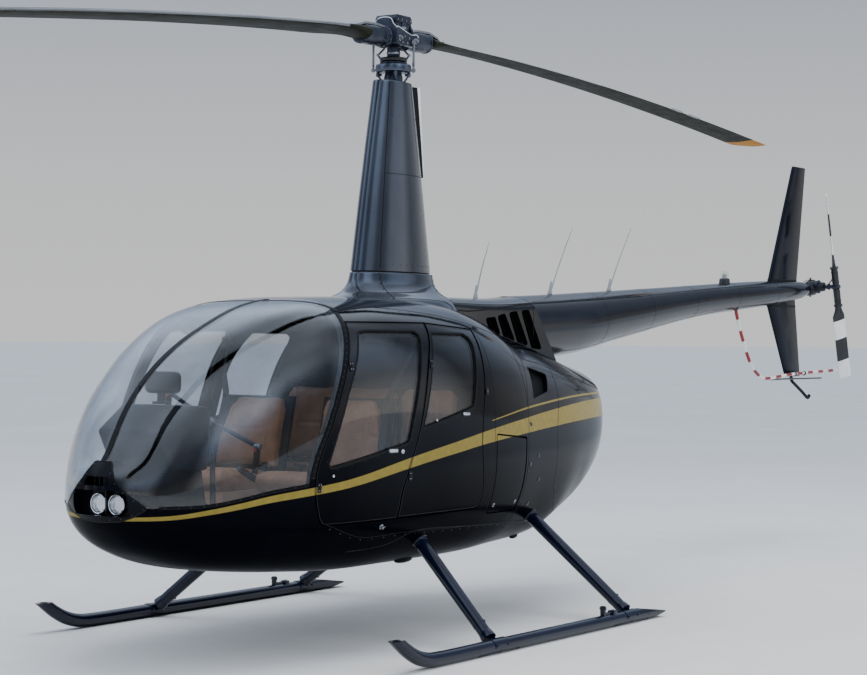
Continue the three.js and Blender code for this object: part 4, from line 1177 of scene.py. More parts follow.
# open pocket with the two lamps on its floor, and an air inlet above them
pocket = rounded(np.array([[-176, 762], [176, 762], [184, 800], [166, 886], [-166, 886], [-184, 800]], float), 26, 5)
inlet = rounded(np.array([[-84, 908], [84, 908], [66, 952], [-66, 952]], float), 14, 4)
house = less(house, prism(pocket, LAMP_X - 6, 2600, "x"), prism(inlet, 2372, 2600, "x"))
for s in (1, -1):
    house = less(house, mesh_of(*turned([(LAMP_R - 4, 0), (LAMP_R - 4, 200)], (2300, s * LAMP_Y, LAMP_Z), (1, 0, 0), 48)))
o = skin_piece("nose_lamp_case", house, [BLACK], "airframe", "dark_trim", 0.0, -900.0)
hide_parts("lamp_housing")
k = Kit()
kl = Kit()
for s in (1, -1):
    c = (0, s * LAMP_Y, LAMP_Z)
    X0 = LAMP_X
    # bezel ring, reflector bowl, bulb shield and lens
    prof = [(50, X0 - 8), (50, X0 + 8), (49, X0 + 11), (46.6, X0 + 12.5), (44.4, X0 + 11), (43.6, X0 + 7)]
    bowl = [(42.5, X0 + 2), (38, X0 - 9), (31, X0 - 19), (21, X0 - 26), (12, X0 - 28.5), (11.5, X0 - 25)]
    prof = [(r_ * LAMP_R / 50, x_) for r_, x_ in prof]
    bowl = [(r_ * LAMP_R / 50, x_) for r_, x_ in bowl]
    k.add(*turned(prof + bowl, c, (1, 0, 0), 48), 0)
    k.add(*turned([(10, X0 - 31), (10, X0 - 14), (8, X0 - 11), (3, X0 - 9.5)], c, (1, 0, 0), 24), 0)
    for a in range(9):
        t_ = a / 9 * 2 * math.pi + 0.3
        d_ = np.array([0, math.cos(t_), math.sin(t_)])
        k.add(*tube([np.array([X0 - 24.5, 0, 0]) + c + d_ * 16, np.array([X0 - 2.0, 0, 0]) + c + d_ * 40], 1.5, 6, 2), 0)
    for a in (0.5, 2.6, 4.7):
        q = np.array([X0 + 9.5, s * LAMP_Y + 50.2 * math.cos(a), LAMP_Z + 50.2 * math.sin(a)])
        k.add(*turned([(2.6, 0), (2.6, 2.8), (1.9, 3.6), (1.7, 2.4)], q, (1, 0, 0), 10), 1)
    kl.add(*turned([(46.4, X0 + 6), (46.4, X0 + 7.6), (39, X0 + 11.2), (27, X0 + 14.2), (14, X0 + 16), (3, X0 + 16.6)], c, (1, 0, 0), 48), 0)
# divider rib between the lamps, and the bars across the inlet
co, f = slab([LAMP_X - 8, -3.6, 766], [LAMP_X + 24, 3.6, 882], 2.6, 2)
k.add(co, f, 2)
for y_ in (-60, -30, 0, 30, 60):
    k.add(*tube([(2384, y_, 909), (2384, y_, 951)], 2.2, 8, 3), 2)
k.make("landing_lamps", [CHROME, DARKMETAL, TBLACK], "airframe", "bare_metal")
kl.make("landing_lamp_lenses", [LENS], "airframe", "glazing")
k = Kit()
h = house_outline(0)
L = np.column_stack([np.full(len(h), 2440.0), h])
L = L[L[:, 2] > 735]


def front_point(y, z):
    """Point of the nose skin at a width and height."""
    lo_, hi_ = 2300.0, 2447.0
    for _ in range(40):
        mid = (lo_ + hi_) / 2
        if implicit(np.array([[mid, y, z]]))[0] < 0:
            lo_ = mid
        else:
            hi_ = mid
    return np.array([lo_, y, z])


rim = resample(np.column_stack([np.zeros(len(h)), h]), 10, False)
pts = np.array([front_point(y, z) for _, y, z in rim[:-1]])
k.add(*band(pts, grad(pts), 7, 0.9, 0.8, closed=True), 0)
for q in spaced(pts, 66, 10):
    n = grad(q[None])[0]
    c_ = np.array([q[0], 0, 868.0])
    w = q + unit(c_ - q) * 11
    w = front_point(w[1], w[2])
    n = grad(w[None])[0]
    k.add(*stud(w + n * 0.4, n, 3.4, 1.8, 10, True), 1)
k.make("nose_lamp_case_seal", [RUBBER, DARKMETAL], "airframe", "dark_trim")

# ------------------------------------------------------------------ mast foot and shroud
foot = Pchip([1760, 1780, 1838, 1880, 1930, 1992], [[575, 312], [560, 300], [520, 260], [430, 190], [385, 148], [366, 134]])


def oval(z, a, b, n=96, p=2.0, cx=0.0):
    t = np.arange(n) / n * 2 * np.pi
    c, s = np.cos(t), np.sin(t)
    rho = (np.abs(c) ** p + np.abs(s) ** p) ** (-1 / p)
    return np.stack([cx + a * rho * c, b * rho * s, np.full(n, z)], -1)


zz = np.r_[np.linspace(1762, 1986, 40), 1990, 1992]
rings = []
for z in zz:
    a, b = foot([z])[0]
    e = 0 if z < 1987 else (1.0 if z < 1991 else 3.0)
    rings.append(oval(z, a - e, b - e))
co, f = loft(rings)
o = build("mast_foot_skin", co, f, SHROUD, "airframe", "grey_paint", 40)
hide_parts("mast_foot")
k = Kit()
# lap joint of the foot's two halves, front and aft, with their screws
for s in (1, -1):
    for x0 in (255, -262):
        P = []
        for z in np.linspace(1800, 1984, 40):
            a, b = foot([z])[0]
            x = x0 + (x0 * 0.22) * max(0, (1880 - z) / 100)
            P.append([x, s * b * math.sqrt(max(0, 1 - (x / a) ** 2)), z])
        P = np.array(P)
        G = np.cross(np.gradient(P, axis=0), [1, 0, 0]) * s
        G = unit(np.where((G * (P * [0, 1, 0])).sum(1, keepdims=True) < 0, -G, G))
        k.add(*band(P, G, 4, 0.8, 1.2), 0)
        for q, g in zip(P[3::6], G[3::6]):
            k.add(*stud(q + np.array([9 if x0 > 0 else -9, 0, 0]) + g * 0.2, g, 3.6, 1.6, 10, True), 1)
k.make("mast_foot_joints", [RUBBER, DARKMETAL], "airframe", "dark_trim")


def foil_ring(z, c, t, n=120, cx=0.0, grow=0.0):
    a = np.arange(n) / n * 2 * np.pi
    x = np.cos(a)
    return np.stack([cx + (c / 2 + grow) * x, (t / 2 + grow) * np.sin(a) * (0.93 + 0.13 * x), np.full(n, z)], -1)


def foil_at(z):
    c = np.interp(z, [1992.4, 2560, 3092], [724, 530, 330])
    t = np.interp(z, [1992.4, 2560, 3092], [262, 210, 158])
    # the kink between the two straight lengths is eased
    e = math.exp(-((z - 2560) / 90) ** 2)
    return c - 5 * e * 0.6, t - 1.6 * e


rings = []
for z in np.r_[1998.5, 2000, np.linspace(2004, 3085, 110), 3089.5, 3091.6]:
    c, t = foil_at(z)
    g = -2.0 if z < 1999 else (-2.5 if z > 3091 else (-0.8 if z > 3087 else 0))
    rings.append(foil_ring(z, c, t, grow=g))
# open rim at the top, folded inward
c, t = foil_at(3091)
rings += [foil_ring(3091.6, c, t, grow=-7), foil_ring(3079, c, t, grow=-9)]
co, f = loft(rings)
o = build("mast_shroud", co, f, SHROUD, "airframe", "grey_paint", 40)
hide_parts("mast_fairing")
# recessed collar under the shroud, in dark rubber that paints the shade in the gap there
co, f = loft([foil_ring(1984, 700, 244), foil_ring(2004, 700, 244)])
build("mast_shroud_collar", co, f, RUBBER, "airframe", "dark_trim", 40)
k = Kit()


def on_shroud(z, x, s, out=0.0):
    c, t = foil_at(z)
    a = math.acos(max(-1, min(1, x / (c / 2))))
    y = (t / 2) * math.sin(a) * (0.93 + 0.13 * math.cos(a))
    return np.array([x, s * (y + out), z])


def shroud_normal(z, x, s):
    e = 1.0
    p = on_shroud(z, x, s)
    px = on_shroud(z, x - e, s) - on_shroud(z, x + e, s)
    pz = on_shroud(z + e, x, s) - on_shroud(z - e, x, s)
    n = unit(np.cross(px, pz))
    return n if n[1] * s > 0 else -n


def shroud_line(pts, s, step=14):
    Q = resample(np.column_stack([np.array(pts)[:, 0], np.zeros(len(pts)), np.array(pts)[:, 1]]), step, False)
    P = np.array([on_shroud(z, x, s) for x, _, z in Q])
    G = np.array([shroud_normal(z, x, s) for x, _, z in Q])
    return P, G


def frac(z, q):
    """x at a share q of the half chord."""
    return q * foil_at(z)[0] / 2


for s in (1, -1):
    # front slot from top to bottom, level joint near the top
    P, G = shroud_line([(frac(z, 0.70), z) for z in np.linspace(2012, 3083, 40)], s)
    k.add(*band(P, G, 5, 0.7, 1.0), 0)
    z0 = 2556
    P, G = shroud_line([(frac(z0, q), z0) for q in np.linspace(0.66, -0.96, 50)], s)
    k.add(*band(P, G, 3.2, 0.6, 0.8), 0)
    for z, q0, q1, gap in ((2036, 0.62, -0.94, 62), (2889, 0.6, -0.9, 54)):
        P, G = shroud_line([(frac(z, q), z) for q in np.linspace(q0, q1, 60)], s, 6)
        for p in spaced(P, gap, 12):
            n = shroud_normal(p[2], p[0], s)
            k.add(*stud(p + n * 0.2, n, 3.4, 1.7, 10, True), 1)
    for q in (0.64, -0.74):
        P, G = shroud_line([(frac(z, q), z) for z in np.linspace(2060, 2880, 50)], s, 6)
        for p in spaced(P, 118, 40):
            n = shroud_normal(p[2], p[0], s)
            k.add(*stud(p + n * 0.2, n, 3.2, 1.5, 10, True), 1)
k.make("mast_shroud_joints", [RUBBER, DARKMETAL], "airframe", "dark_trim")
# thin closing plate behind the top of the shroud: its black root is painted shade of the gap behind the shroud, and its
# white outer strip is a painted reflection of the bright sky on the trailing edge
def tail_part(name, mat, cut, half):
    rings = []
    for z in np.linspace(2562, 3084, 40):
        c, t = foil_at(z)
        limb = math.hypot(0.281 * c, 0.372 * t)
        xe = -(limb + float(np.interp(z, [2562, 3084], [7, 40]))) / 0.562
        x2 = xe + float(np.interp(z, [2562, 3084], [7, 33]))
        X = np.linspace(*((-c / 2 * 0.9, x2) if cut == 0 else (x2, xe)), 6)
        Y = np.full(6, half)
        if cut:
            Y[-1] = half * 0.5
        up_ = np.stack([X, Y, np.full(6, z)], -1)
        rings.append(np.vstack([up_, (up_ * [1, -1, 1])[::-1]]))
    build(name, *loft(rings), mat, "airframe", "grey_paint", 40)


# black root: painted shade of the gap behind the shroud
tail_part("mast_shroud_tail_root", RUBBER, 0, 6.0)
# white strip: painted reflection of the bright sky on the trailing edge
tail_part("mast_shroud_tail_strip", WHITE, 1, 7.5)

# ------------------------------------------------------------------ intake fairing with louvres
DK = Pchip([-1600, -1230, -800, -400, -100, 150, 330], [[210, 1898, 1800, 1470], [220, 1880, 1790, 1470], [232, 1864, 1780, 1480], [240, 1866, 1790, 1500], [235, 1872, 1800, 1540], [200, 1866, 1815, 1560], [120, 1856, 1820, 1600]])


def deck_ring(x, grow=0.0, n=72):
    w, top, sh, bot = DK([x])[0]
    w += grow
    top += grow
    a = np.linspace(0, np.pi, n)
    c, s = np.cos(a), np.sin(a)
    rho = (np.abs(c) ** 2.5 + np.abs(s) ** 2.5) ** (-1 / 2.5)
    arch = np.stack([np.full(n, x), w * rho * c, sh + (top - sh) * rho * s], -1)
    side_ = np.linspace(bot, sh, 14)[:-1]
    up = np.stack([np.full(13, x), np.full(13, w), side_], -1)
    dn = np.stack([np.full(13, x), np.full(13, -w), side_[::-1]], -1)
    return np.vstack([up, arch, dn])


rings = []
for x in np.r_[332, 330, np.linspace(322, -1595, 110), -1600]:
    e = -22 if x == 332 else 0
    r_ = deck_ring(min(x, 330), e)
    r_[:, 0] = x
    rings.append(r_)
deck = mesh_of(*loft(rings))
deck = both_of(deck, prism([[600, 1300], [-1500, 1300], [-1492, 1490], [-1228, 1812], [-1210, 2000], [600, 2000]], -600, 600))
LOUVRES = [
    [[-625, 1744], [-745, 1752], [-812, 1640], [-700, 1640]],
    [[-765, 1757], [-857, 1774], [-990, 1600], [-850, 1618]],
    [[-900, 1780], [-999, 1790], [-1150, 1575], [-1012, 1590]],
    [[-1048, 1794], [-1146, 1800], [-1318, 1550], [-1180, 1562]],
]
for poly in LOUVRES:
    ol = rounded(np.array(poly, float), 20, 4)
    for s in (1, -1):
        deck = less(deck, prism(ol, s * 150, s * 400))
nf = len(deck.polygons)
cen = np.zeros(nf * 3)
deck.polygons.foreach_get("center", cen)
cen = cen.reshape(-1, 3) * 1000 - SH
wx = DK(cen[:, 0])[:, 0]
inside_slot = (np.abs(cen[:, 1]) < wx - 4) & (np.abs(cen[:, 1]) > 148) & (cen[:, 2] > 1535) & (cen[:, 2] < 1808) & (cen[:, 0] < -600) & (cen[:, 0] > -1330)
o = place("intake_skin", deck, [PAINT, SCREEN], "airframe", "body_paint", 38, inside_slot.astype(int))
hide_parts("intake_fairing")
# slanted louvre blades inside each opening
k = Kit()
for poly in LOUVRES:
    A_, B_, C_, D_ = (np.array([q[0], 0.0, q[1]]) for q in poly)
    for s in (1, -1):
        w = DK([(A_[0] + C_[0]) / 2])[0, 0]
        for j in (0.2, 0.5, 0.8):
            hi_, lo_ = A_ + (B_ - A_) * j, D_ + (C_ - D_) * j
            lo_, hi_ = lo_ + (hi_ - lo_) * 0.03, hi_ - (hi_ - lo_) * 0.03
            lo_, hi_ = lo_ + [0, s * (w - 40), 0], hi_ + [0, s * (w - 40), 0]
            t = unit(hi_ - lo_)
            b = unit(np.array([0.75, s * 0.65, 0.0]))
            n = np.cross(t, b)
            L = np.linalg.norm(hi_ - lo_)
            co, f = slab([0, -13, -1.2], [L, 13, 1.2], 1.0, 2)
            k.add(xform(co, lo_, t, b, n), f, 0)
k.make("intake_louvre_blades", [TRIM], "airframe", "dark_trim")
# sealant where the fairing meets the roof, and its screws
k = Kit()
for s in (1, -1):
    P = []
    for x in np.linspace(318, -1470, 150):
        w, top_, sh, bot = DK([x])[0]
        z = on_top([x], [min(w, 700)])[0, 2]
        P.append([x, s * w, z])
    P = np.array(P)
    G = unit(grad(P) + np.array([0, s, 0]))
    k.add(*band(P, G, 17, 2.2, 2.0), 0)
    for q in spaced(P + [0, 0, 16], 88, 30):
        k.add(*stud(q + [0, s * 0.4, 0], [0, s, 0.0], 3.4, 1.6, 10, True), 1)
for s in (1, -1):
    P = resample(np.array([[-1208, s * 203.6, 1835.6], [-1000, s * 213.6, 1822.6], [-800, s * 227, 1807], [-600, s * 237.4, 1790], [-430, s * 240.6, 1781], [-330, s * 240.4, 1786]]), 12, False)
    k.add(*band(P, unit(P * [0, 1, 1] - [0, 0, 1700]), 9, 1.0, 3.0), 0)
ring = deck_ring(-1205)
P = np.array([p for p in ring if p[2] > 1640])
k.add(*band(P, unit(P * [0, 1, 1] - [0, 0, 1650]), 4, 0.7, 0.8), 0)
k.make("intake_fairing_joints", [RUBBER, DARKMETAL], "airframe", "dark_trim")

# ------------------------------------------------------------------ tail boom
BM = Pchip([-5778, -5700, -5560, -4910, -3900, -2530, -1900, -1150], [[2027, 40], [2022, 56], [2012, 72], [1972, 98], [1905, 114], [1775, 170], [1714, 199], [1676, 205]])


def boom_at(x):
    # the middle is a straight cone; the two ends are eased
    return BM([x])[0]


def boom_point(x, a, out=0.0):
    z, r = boom_at(x)
    return np.array([x, (r + out) * math.sin(a), z + (r + out) * math.cos(a)])


NB = 72
rings = []
slant = lambda z: float(np.interp(z, [1490, 1812, 2000], [-1492, -1228, -1212]))
for q in np.linspace(0, 1, 12):
    r_ = []
    for j in range(NB):
        a = j / NB * 2 * math.pi
        x = -1300.0
        for _ in range(4):
            z = boom_point(x, a)[2]
            x = slant(z) + 14
        x = x * (1 - q) - 1640 * q
        r_.append(boom_point(x, a))
    rings.append(np.array(r_))
for x in np.linspace(-1660, -5690, 120):
    rings.append(np.array([boom_point(x, j / NB * 2 * math.pi) for j in range(NB)]))
for x in np.linspace(-5700, -5776, 12):
    rings.append(np.array([boom_point(x, j / NB * 2 * math.pi) for j in range(NB)]))
rings.append(np.array([boom_point(-5778, j / NB * 2 * math.pi, -3) for j in range(NB)]))
o = build("boom_skin", *loft(rings), BOOMP, "airframe", "body_paint", 40)
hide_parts("tail_boom")
k = Kit()


def boom_ring(x, w=4.0, h=0.6, mi=0, a0=0.0, a1=2 * math.pi):
    full = a1 - a0 > 6.2
    n = 72 if full else 40
    aa = np.linspace(a0, a1, n, endpoint=not full)
    P = np.array([boom_point(x, a) for a in aa])
    G = unit(P - [x, 0, boom_at(x)[0]])
    k.add(*band(P, G, w, h, 1.0, closed=full), mi)


def boom_run(x0, x1, a0, a1, w=4.0, h=0.6, mi=0, n=120):
    P = np.array([boom_point(x, a) for x, a in zip(np.linspace(x0, x1, n), np.linspace(a0, a1, n))])
    G = unit(P - np.array([[p[0], 0, boom_at(p[0])[0]] for p in P]))
    k.add(*band(P, G, w, h, 1.0), mi)
    return P, G


for x in (-2215, -2930, -3645, -4360, -5075, -5640):
    boom_ring(x, 2.4, 0.35)
for s in (1, -1):
    boom_run(-1262, -1860, s * 0.70, s * 0.70, 10, 0.9)
    boom_run(-1885, -2800, s * 0.70, s * 0.78, 10, 0.9)
    boom_run(-2812, -5620, s * 0.78, s * 0.70, 4.4, 0.7)
    boom_run(-1500, -5620, s * 2.5, s * 2.5, 3.6, 0.6)
k.make("boom_lap_joints", [RUBBER], "airframe", "dark_trim")
k = Kit()
for x in (-2215, -2930, -3645, -4360, -5075, -5640):
    for dx in (-13, 13):
        nr = max(18, int(boom_at(x)[1] * 2 * math.pi / 34))
        for j in range(nr):
            a = j / nr * 2 * math.pi
            p = boom_point(x + dx, a)
            k.add(*turned([(2.7, -0.5), (2.7, 0.35), (1.6, 0.95)], p, unit(p - [x + dx, 0, boom_at(x + dx)[0]]), 7), 0)
for s in (1, -1):
    for a in (0.66, 2.5):
        for x in np.arange(-1540, -5600, -46.0):
            p = boom_point(x, s * (a + 0.055))
            k.add(*turned([(2.7, -0.5), (2.7, 0.35), (1.6, 0.95)], p, unit(p - [x, 0, boom_at(x)[0]]), 7), 0)
k.make("boom_rivets", [DARKMETAL], "airframe", "bare_metal")

# ------------------------------------------------------------------ fins, stabiliser
def naca(n, t, camber=0.0):
    """Unit chord section, leading edge at x 0, thickness share t."""
    b = np.linspace(0, np.pi, n)
    x = (1 - np.cos(b)) / 2
    y = 5 * t * (0.2969 * np.sqrt(x) - 0.126 * x - 0.3516 * x ** 2 + 0.2843 * x ** 3 - 0.1036 * x ** 4)
    up = np.stack([x, y + camber * 4 * x * (1 - x)], -1)
    dn = np.stack([x, -y + camber * 4 * x * (1 - x)], -1)
    return np.vstack([up[::-1], dn[1:-1]])


def fin(name, rows_, replaced, up=True, mat=BOOMP, n=34, span_y=False, tip=1.0):
    """Rows of leading edge x, trailing edge x, height (or width), thickness."""
    R = np.array(rows_, float)
    s0 = np.r_[0, np.cumsum(np.abs(np.diff(R[:, 2])))]
    F_ = lambda q: np.array([np.interp(q, s0, R[:, i]) for i in range(4)])
    rings = []
    L = s0[-1]
    qs = list(np.linspace(0, L - 14, 26)) + [L - 10, L - 6, L - 3, L - 1, L]
    for q in qs:
        x0, x1, z, t = F_(q)
        e = 0.0
        if q > L - 14:
            e = 1 - math.sqrt(max(0, 1 - ((q - (L - 14)) / 14.2) ** 2))
        sec = naca(n, 1.0)
        c = x0 - x1
        th = t * 1.0
        inset = e * 16
        X = x0 - inset * 0.6 - sec[:, 0] * (c - inset)
        Y = sec[:, 1] * th * (1 - e * 0.75) * 1.0
        rings.append(np.stack([X, Y, np.full(len(sec), z)], -1) if not span_y else np.stack([X, np.full(len(sec), z), 1982 + Y], -1))
    o_ = build(name, *loft(rings), mat, "airframe", "body_paint", 40)
    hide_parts(replaced)
    return F_, s0


fin("upper_fin_skin", [[-5030, -5568, 2030, 60], [-5062, -5583, 2095, 58], [-5485, -5733, 2997, 34]], "upper_fin", mat=FINP)
fin("lower_fin_skin", [[-5022, -5555, 1940, 60], [-5053, -5565, 1871, 58], [-5375, -5656, 1330, 36]], "lower_fin", mat=FINP)
fin("stabiliser_skin", [[-4730, -4990, -60, 44], [-4745, -4975, -700, 34]], "stabiliser", span_y=True)
k = Kit()
# root fillets and rivets of the fins
for z0, x0, x1, t in ((2085, -5058, -5580, 58), (1884, -5048, -5562, 58)):
    sec = naca(40, 1.0)
    P = np.stack([x0 - sec[:, 0] * (x0 - x1), sec[:, 1] * t, np.full(len(sec), z0)], -1)
    G = unit(np.roll(P, -1, 0) - np.roll(P, 1, 0))
    G = unit(np.cross(G, [0, 0, 1]))
    G = np.where((G * (P - P.mean(0))).sum(1, keepdims=True) < 0, -G, G)
    k.add(*band(P, G, 16, 1.8, 1.2, closed=True), 0)
for s in (1, -1):
    for q in (0.3, 0.62):
        for z in np.arange(2120, 2980, 62.0):
            a = (z - 2095) / 902
            x0, x1, t = -5062 - 423 * a, -5583 - 150 * a, 58 - 24 * a
            i = np.interp(q, naca(60, 1.0)[:60, 0][::-1], naca(60, 1.0)[:60, 1][::-1])
            k.add(*turned([(2.6, -0.5), (2.6, 0.35), (1.5, 0.9)], [x0 - q * (x0 - x1), s * i * t, z], (0, s, 0), 7), 1)
        for z in np.arange(1846, 1350, -62.0):
            a = (1871 - z) / 541
            x0, x1, t = -5053 - 322 * a, -5565 - 91 * a, 58 - 22 * a
            i = np.interp(q, naca(60, 1.0)[:60, 0][::-1], naca(60, 1.0)[:60, 1][::-1])
            k.add(*turned([(2.6, -0.5), (2.6, 0.35), (1.5, 0.9)], [x0 - q * (x0 - x1), s * i * t, z], (0, s, 0), 7), 1)
k.make("fin_joints", [RUBBER, DARKMETAL], "airframe", "dark_trim")


# ------------------------------------------------------------------ main rotor head
AZ = math.radians(1.6)
CA, SA = math.cos(AZ), math.sin(AZ)


def rz(co):
    co = np.asarray(co, float)
    return np.stack([co[:, 0] * CA - co[:, 1] * SA, co[:, 0] * SA + co[:, 1] * CA, co[:, 2]], -1)


class HeadKit(Kit):
    def add(self, co, faces, mi=0):
        return super().add(rz(co), faces, mi)


k = HeadKit()
# mast and sleeve under the head
k.add(*turned([(29, 3080), (29, 3298)], (0, 0, 0), (0, 0, 1), 40), 1)
k.add(*turned([(36, 3236), (37.5, 3239), (37.5, 3290), (44, 3296), (44, 3300)], (0, 0, 0), (0, 0, 1), 40), 0)
k.add(*turned([(39.5, 3252), (40.5, 3254), (40.5, 3262), (39.5, 3264)], (0, 0, 0), (0, 0, 1), 40), 1)


def lump(kit, outline, y0, y1, w=6.0, mi=0, axis="y", seg=3):
    me = prism(outline, y0, y1, axis)
    me = eased(me, w, seg)
    co_ = np.zeros(len(me.vertices) * 3)
    me.vertices.foreach_get("co", co_)
    kit.add(co_.reshape(-1, 3) * 1000 - SH, [tuple(q.vertices) for q in me.polygons], mi)
    bpy.data.meshes.remove(me)


# upper block, cap plate, end plates
co, f = slab([-76, -60, 3350], [76, 60, 3440], 8, 4)
k.add(co, f, 0)
lump(k, rounded([[-84, 3430], [84, 3430], [84, 3452], [70, 3471], [-70, 3471], [-84, 3452]], 6, 3), -70, 70, 7)
k.add(*turned([(46, 3468), (45, 3472), (38, 3474), (20, 3474)], (0, 0, 0), (0, 0, 1), 36), 0)
for s in (1, -1):
    x0, x1 = sorted((s * 80, s * 99))
    lump(k, rounded([[-72, 3298], [72, 3298], [72, 3398], [44, 3446], [-44, 3446], [-72, 3398]], 20, 5), x0, x1, 5, 0, "x")
    # side cheek with its sloping flange
    out = np.array([[98, 3298], [98, 3392], [88, 3399], [60, 3394], [-30, 3370], [-60, 3365], [-118, 3370], [-128, 3356], [-128, 3318], [-112, 3298]], float)
    out[:, 0] *= s
    lump(k, rounded(out, 9, 4), s * 52, s * 88, 5)
    rim = resample(np.array([[96, s * 86, 3391], [88, s * 86, 3398], [60, s * 86, 3393.5], [-30, s * 86, 3369.5], [-60, s * 86, 3364.5], [-118, s * 86, 3369.5], [-127, s * 86, 3357]], float) * [s, 1, 1], 7)
    k.add(*tube(rim, 3.4, 10, round_ends=0.8), 2)
    edge_ = resample(np.array([[s * 97, -64, 3410], [s * 97, -42, 3447], [s * 97, 42, 3447], [s * 97, 66, 3412], [s * 96, 84, 3393]], float) * [1, s, 1], 7)
    k.add(*tube(edge_, 3.0, 10, round_ends=0.8), 2)
    # black patches beside the centre roller: painted shade of the openings there
    for xa, xb in ((30, 52), (-66, -44)):
        a_, b_ = sorted((s * xa, s * xb))
        co, f = slab([a_, min(s * 56, s * 61), 3398], [b_, max(s * 56, s * 61), 3436], 2, 2)
        k.add(co, f, 3)
    k.add(*turned([(19, 3378), (21, 3382), (21, 3424), (19, 3430)], (s * -8, s * 54, 0), (0, 0, 1), 28), 0)
    k.add(*turned([(23, 3394), (24, 3396), (24, 3404), (23, 3406)], (s * -8, s * 54, 0), (0, 0, 1), 28), 1)
    # coning bolt, pinch bolts, edge bolts
    for x in (-96, 66):
        k.add(*turned([(17, 0), (17, 4), (15, 5.5)], (s * x, s * 87, 3334), (0, s, 0), 26), 1)
        k.add(*turned([(12.5, 5), (12.5, 14), (11, 16)], (s * x, s * 87, 3334), (0, s, 0), 6), 1)
        k.add(*turned([(6.5, 15), (6.5, 21), (5, 22.5)], (s * x, s * 87, 3334), (0, s, 0), 14), 1)
    for x, z in ((18, 3348), (-28, 3342), (40, 3312), (-60, 3312), (-10, 3312)):
        k.add(*turned([(6.2, 0), (6.2, 4), (5.2, 5)], (s * x, s * 87.5, z), (0, s, 0), 6), 1)
    for x in (-62, -22, 22, 62):
        k.add(*turned([(5.4, 0), (5.4, 4), (4.4, 5)], (s * x, s * 69.5, 3444), (0, s, 0), 6), 1)
    # pitch link outside the swashplate, with its rod ends and horn
    x, y = s * -62, s * 98
    k.add(*tube([[x, y, 3168], [x, y, 3318]], 6.6, 16), 1)
    k.add(*turned([(8.6, 0), (8.6, 20)], (x, y, 3186), (0, 0, 1), 6), 1)
    k.add(*turned([(8.6, 0), (8.6, 20)], (x, y, 3290), (0, 0, 1), 6), 1)
    for z in (3160, 3324):
        k.add(*turned([(11.5, -6.5), (13, -5), (13, 5), (11.5, 6.5)], (x, y, z), (s * 0.84, s * 0.54, 0), 22), 1)
        k.add(*turned([(5, -11), (5, 11)], (x, y, z), (s * 0.84, s * 0.54, 0), 12), 1)
    # drive scissor
    A_, B_, C_ = np.array([s * -30, s * 44, 3284.0]), np.array([s * -50, s * 74, 3246.0]), np.array([s * -36, s * 54, 3213.0])
    for P0_, P1_ in ((A_, B_), (B_, C_)):
        d_ = unit(P1_ - P0_)
        w_ = unit(np.cross(d_, [0, 0, 1.0]))
        L_ = np.linalg.norm(P1_ - P0_)
        co, f = slab([-6, -15, -5], [L_ + 6, 15, 5], 4, 3)
        k.add(xform(co, P0_, d_, w_, np.cross(d_, w_)), f, 0)
    k.add(*turned([(7.5, -21), (8.5, -19), (8.5, 19), (7.5, 21)], B_, unit(np.cross(B_ - A_, [0, 0, 1.0])), 18), 1)
o = k.make("rotor_head", [DARKMETAL, METAL, CHROME, TBLACK], "main_rotor", "bare_metal", 38)
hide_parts("rotor_hub")

# swashplate: ball sleeve, fixed ring, upper turning disc, arms and actuator rods
k = Kit()


def washer(kit, prof_out, hole, mi, n=56):
    """Turned ring with a hole through it."""
    prof = np.array(prof_out, float)
    z0, z1 = prof[0, 1], prof[-1, 1]
    full = list(map(tuple, prof)) + [(hole, z1), (hole, z0)]
    a = np.arange(n) / n * 2 * np.pi
    m = len(full)
    co_ = np.array([[r * math.cos(t), r * math.sin(t), z] for t in a for r, z in full])
    f_ = []
    for i in range(n):
        for j in range(m):
            p, q = i * m + j, i * m + (j + 1) % m
            r_, t_ = ((i + 1) % n) * m + (j + 1) % m, ((i + 1) % n) * m + j
            f_.append((p, t_, r_, q))
    kit.add(co_, f_, mi)


washer(k, [(54, 3084), (54, 3120), (50, 3132), (47, 3146), (47, 3158)], 34, 0)
washer(k, [(86, 3146), (101, 3151), (103, 3156), (103, 3182), (100, 3189), (84, 3194)], 36, 1)
washer(k, [(70, 3194), (80, 3197), (80, 3204), (70, 3207)], 40, 0)
washer(k, [(66, 3208), (78, 3211), (80, 3214), (80, 3226), (76, 3231), (56, 3235)], 39, 2)
for j in range(14):
    a = j / 14 * 2 * math.pi + 0.13
    k.add(*turned([(4.6, 0), (4.6, 2.6), (4, 3.2)], np.array([92 * math.cos(a), 92 * math.sin(a), 3190.0]), (0, 0, 1), 6), 1)
for a in (0.75, 2.2, 3.6, 5.3):
    c, s_ = math.cos(a), math.sin(a)
    P0 = np.array([66 * c, 66 * s_, 3134.0])
    co, f = slab([0, -10, -8], [30, 10, 8], 4, 3)
    k.add(xform(co, P0, [c, s_, 0], [-s_, c, 0], [0, 0, 1]), f, 0)
    k.add(*turned([(9, -12), (10.4, -10), (10.4, 10), (9, 12)], P0 + np.array([24 * c, 24 * s_, 0]), (0, 0, 1), 20), 1)
    k.add(*tube([P0 + np.array([20 * c, 20 * s_, -8]), [58 * c, 52 * s_, 3082]], 6.0, 12), 1)
    k.add(*turned([(7, 0), (7, 10), (5.5, 12)], P0 + np.array([24 * c, 24 * s_, 11]), (0, 0, 1), 6), 1)
o = k.make("swashplate_set", [DARKMETAL, RING, TBLACK], "airframe", "bare_metal", 38)
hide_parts("swashplate")

# blades: root flange with bolts, bearing housing, cuff, drooping aerofoil with tip
RR = 5030.0


def drop(r, s):
    return 3346 - 378 * max(0.0, (r - 300) / (RR - 300)) ** 1.515 - s * 0.032 * r


def drop_vec(r, s):
    return np.array([drop(v, s) for v in np.atleast_1d(r)])


AF = naca(40, 0.115)                    # unit chord, leading edge first


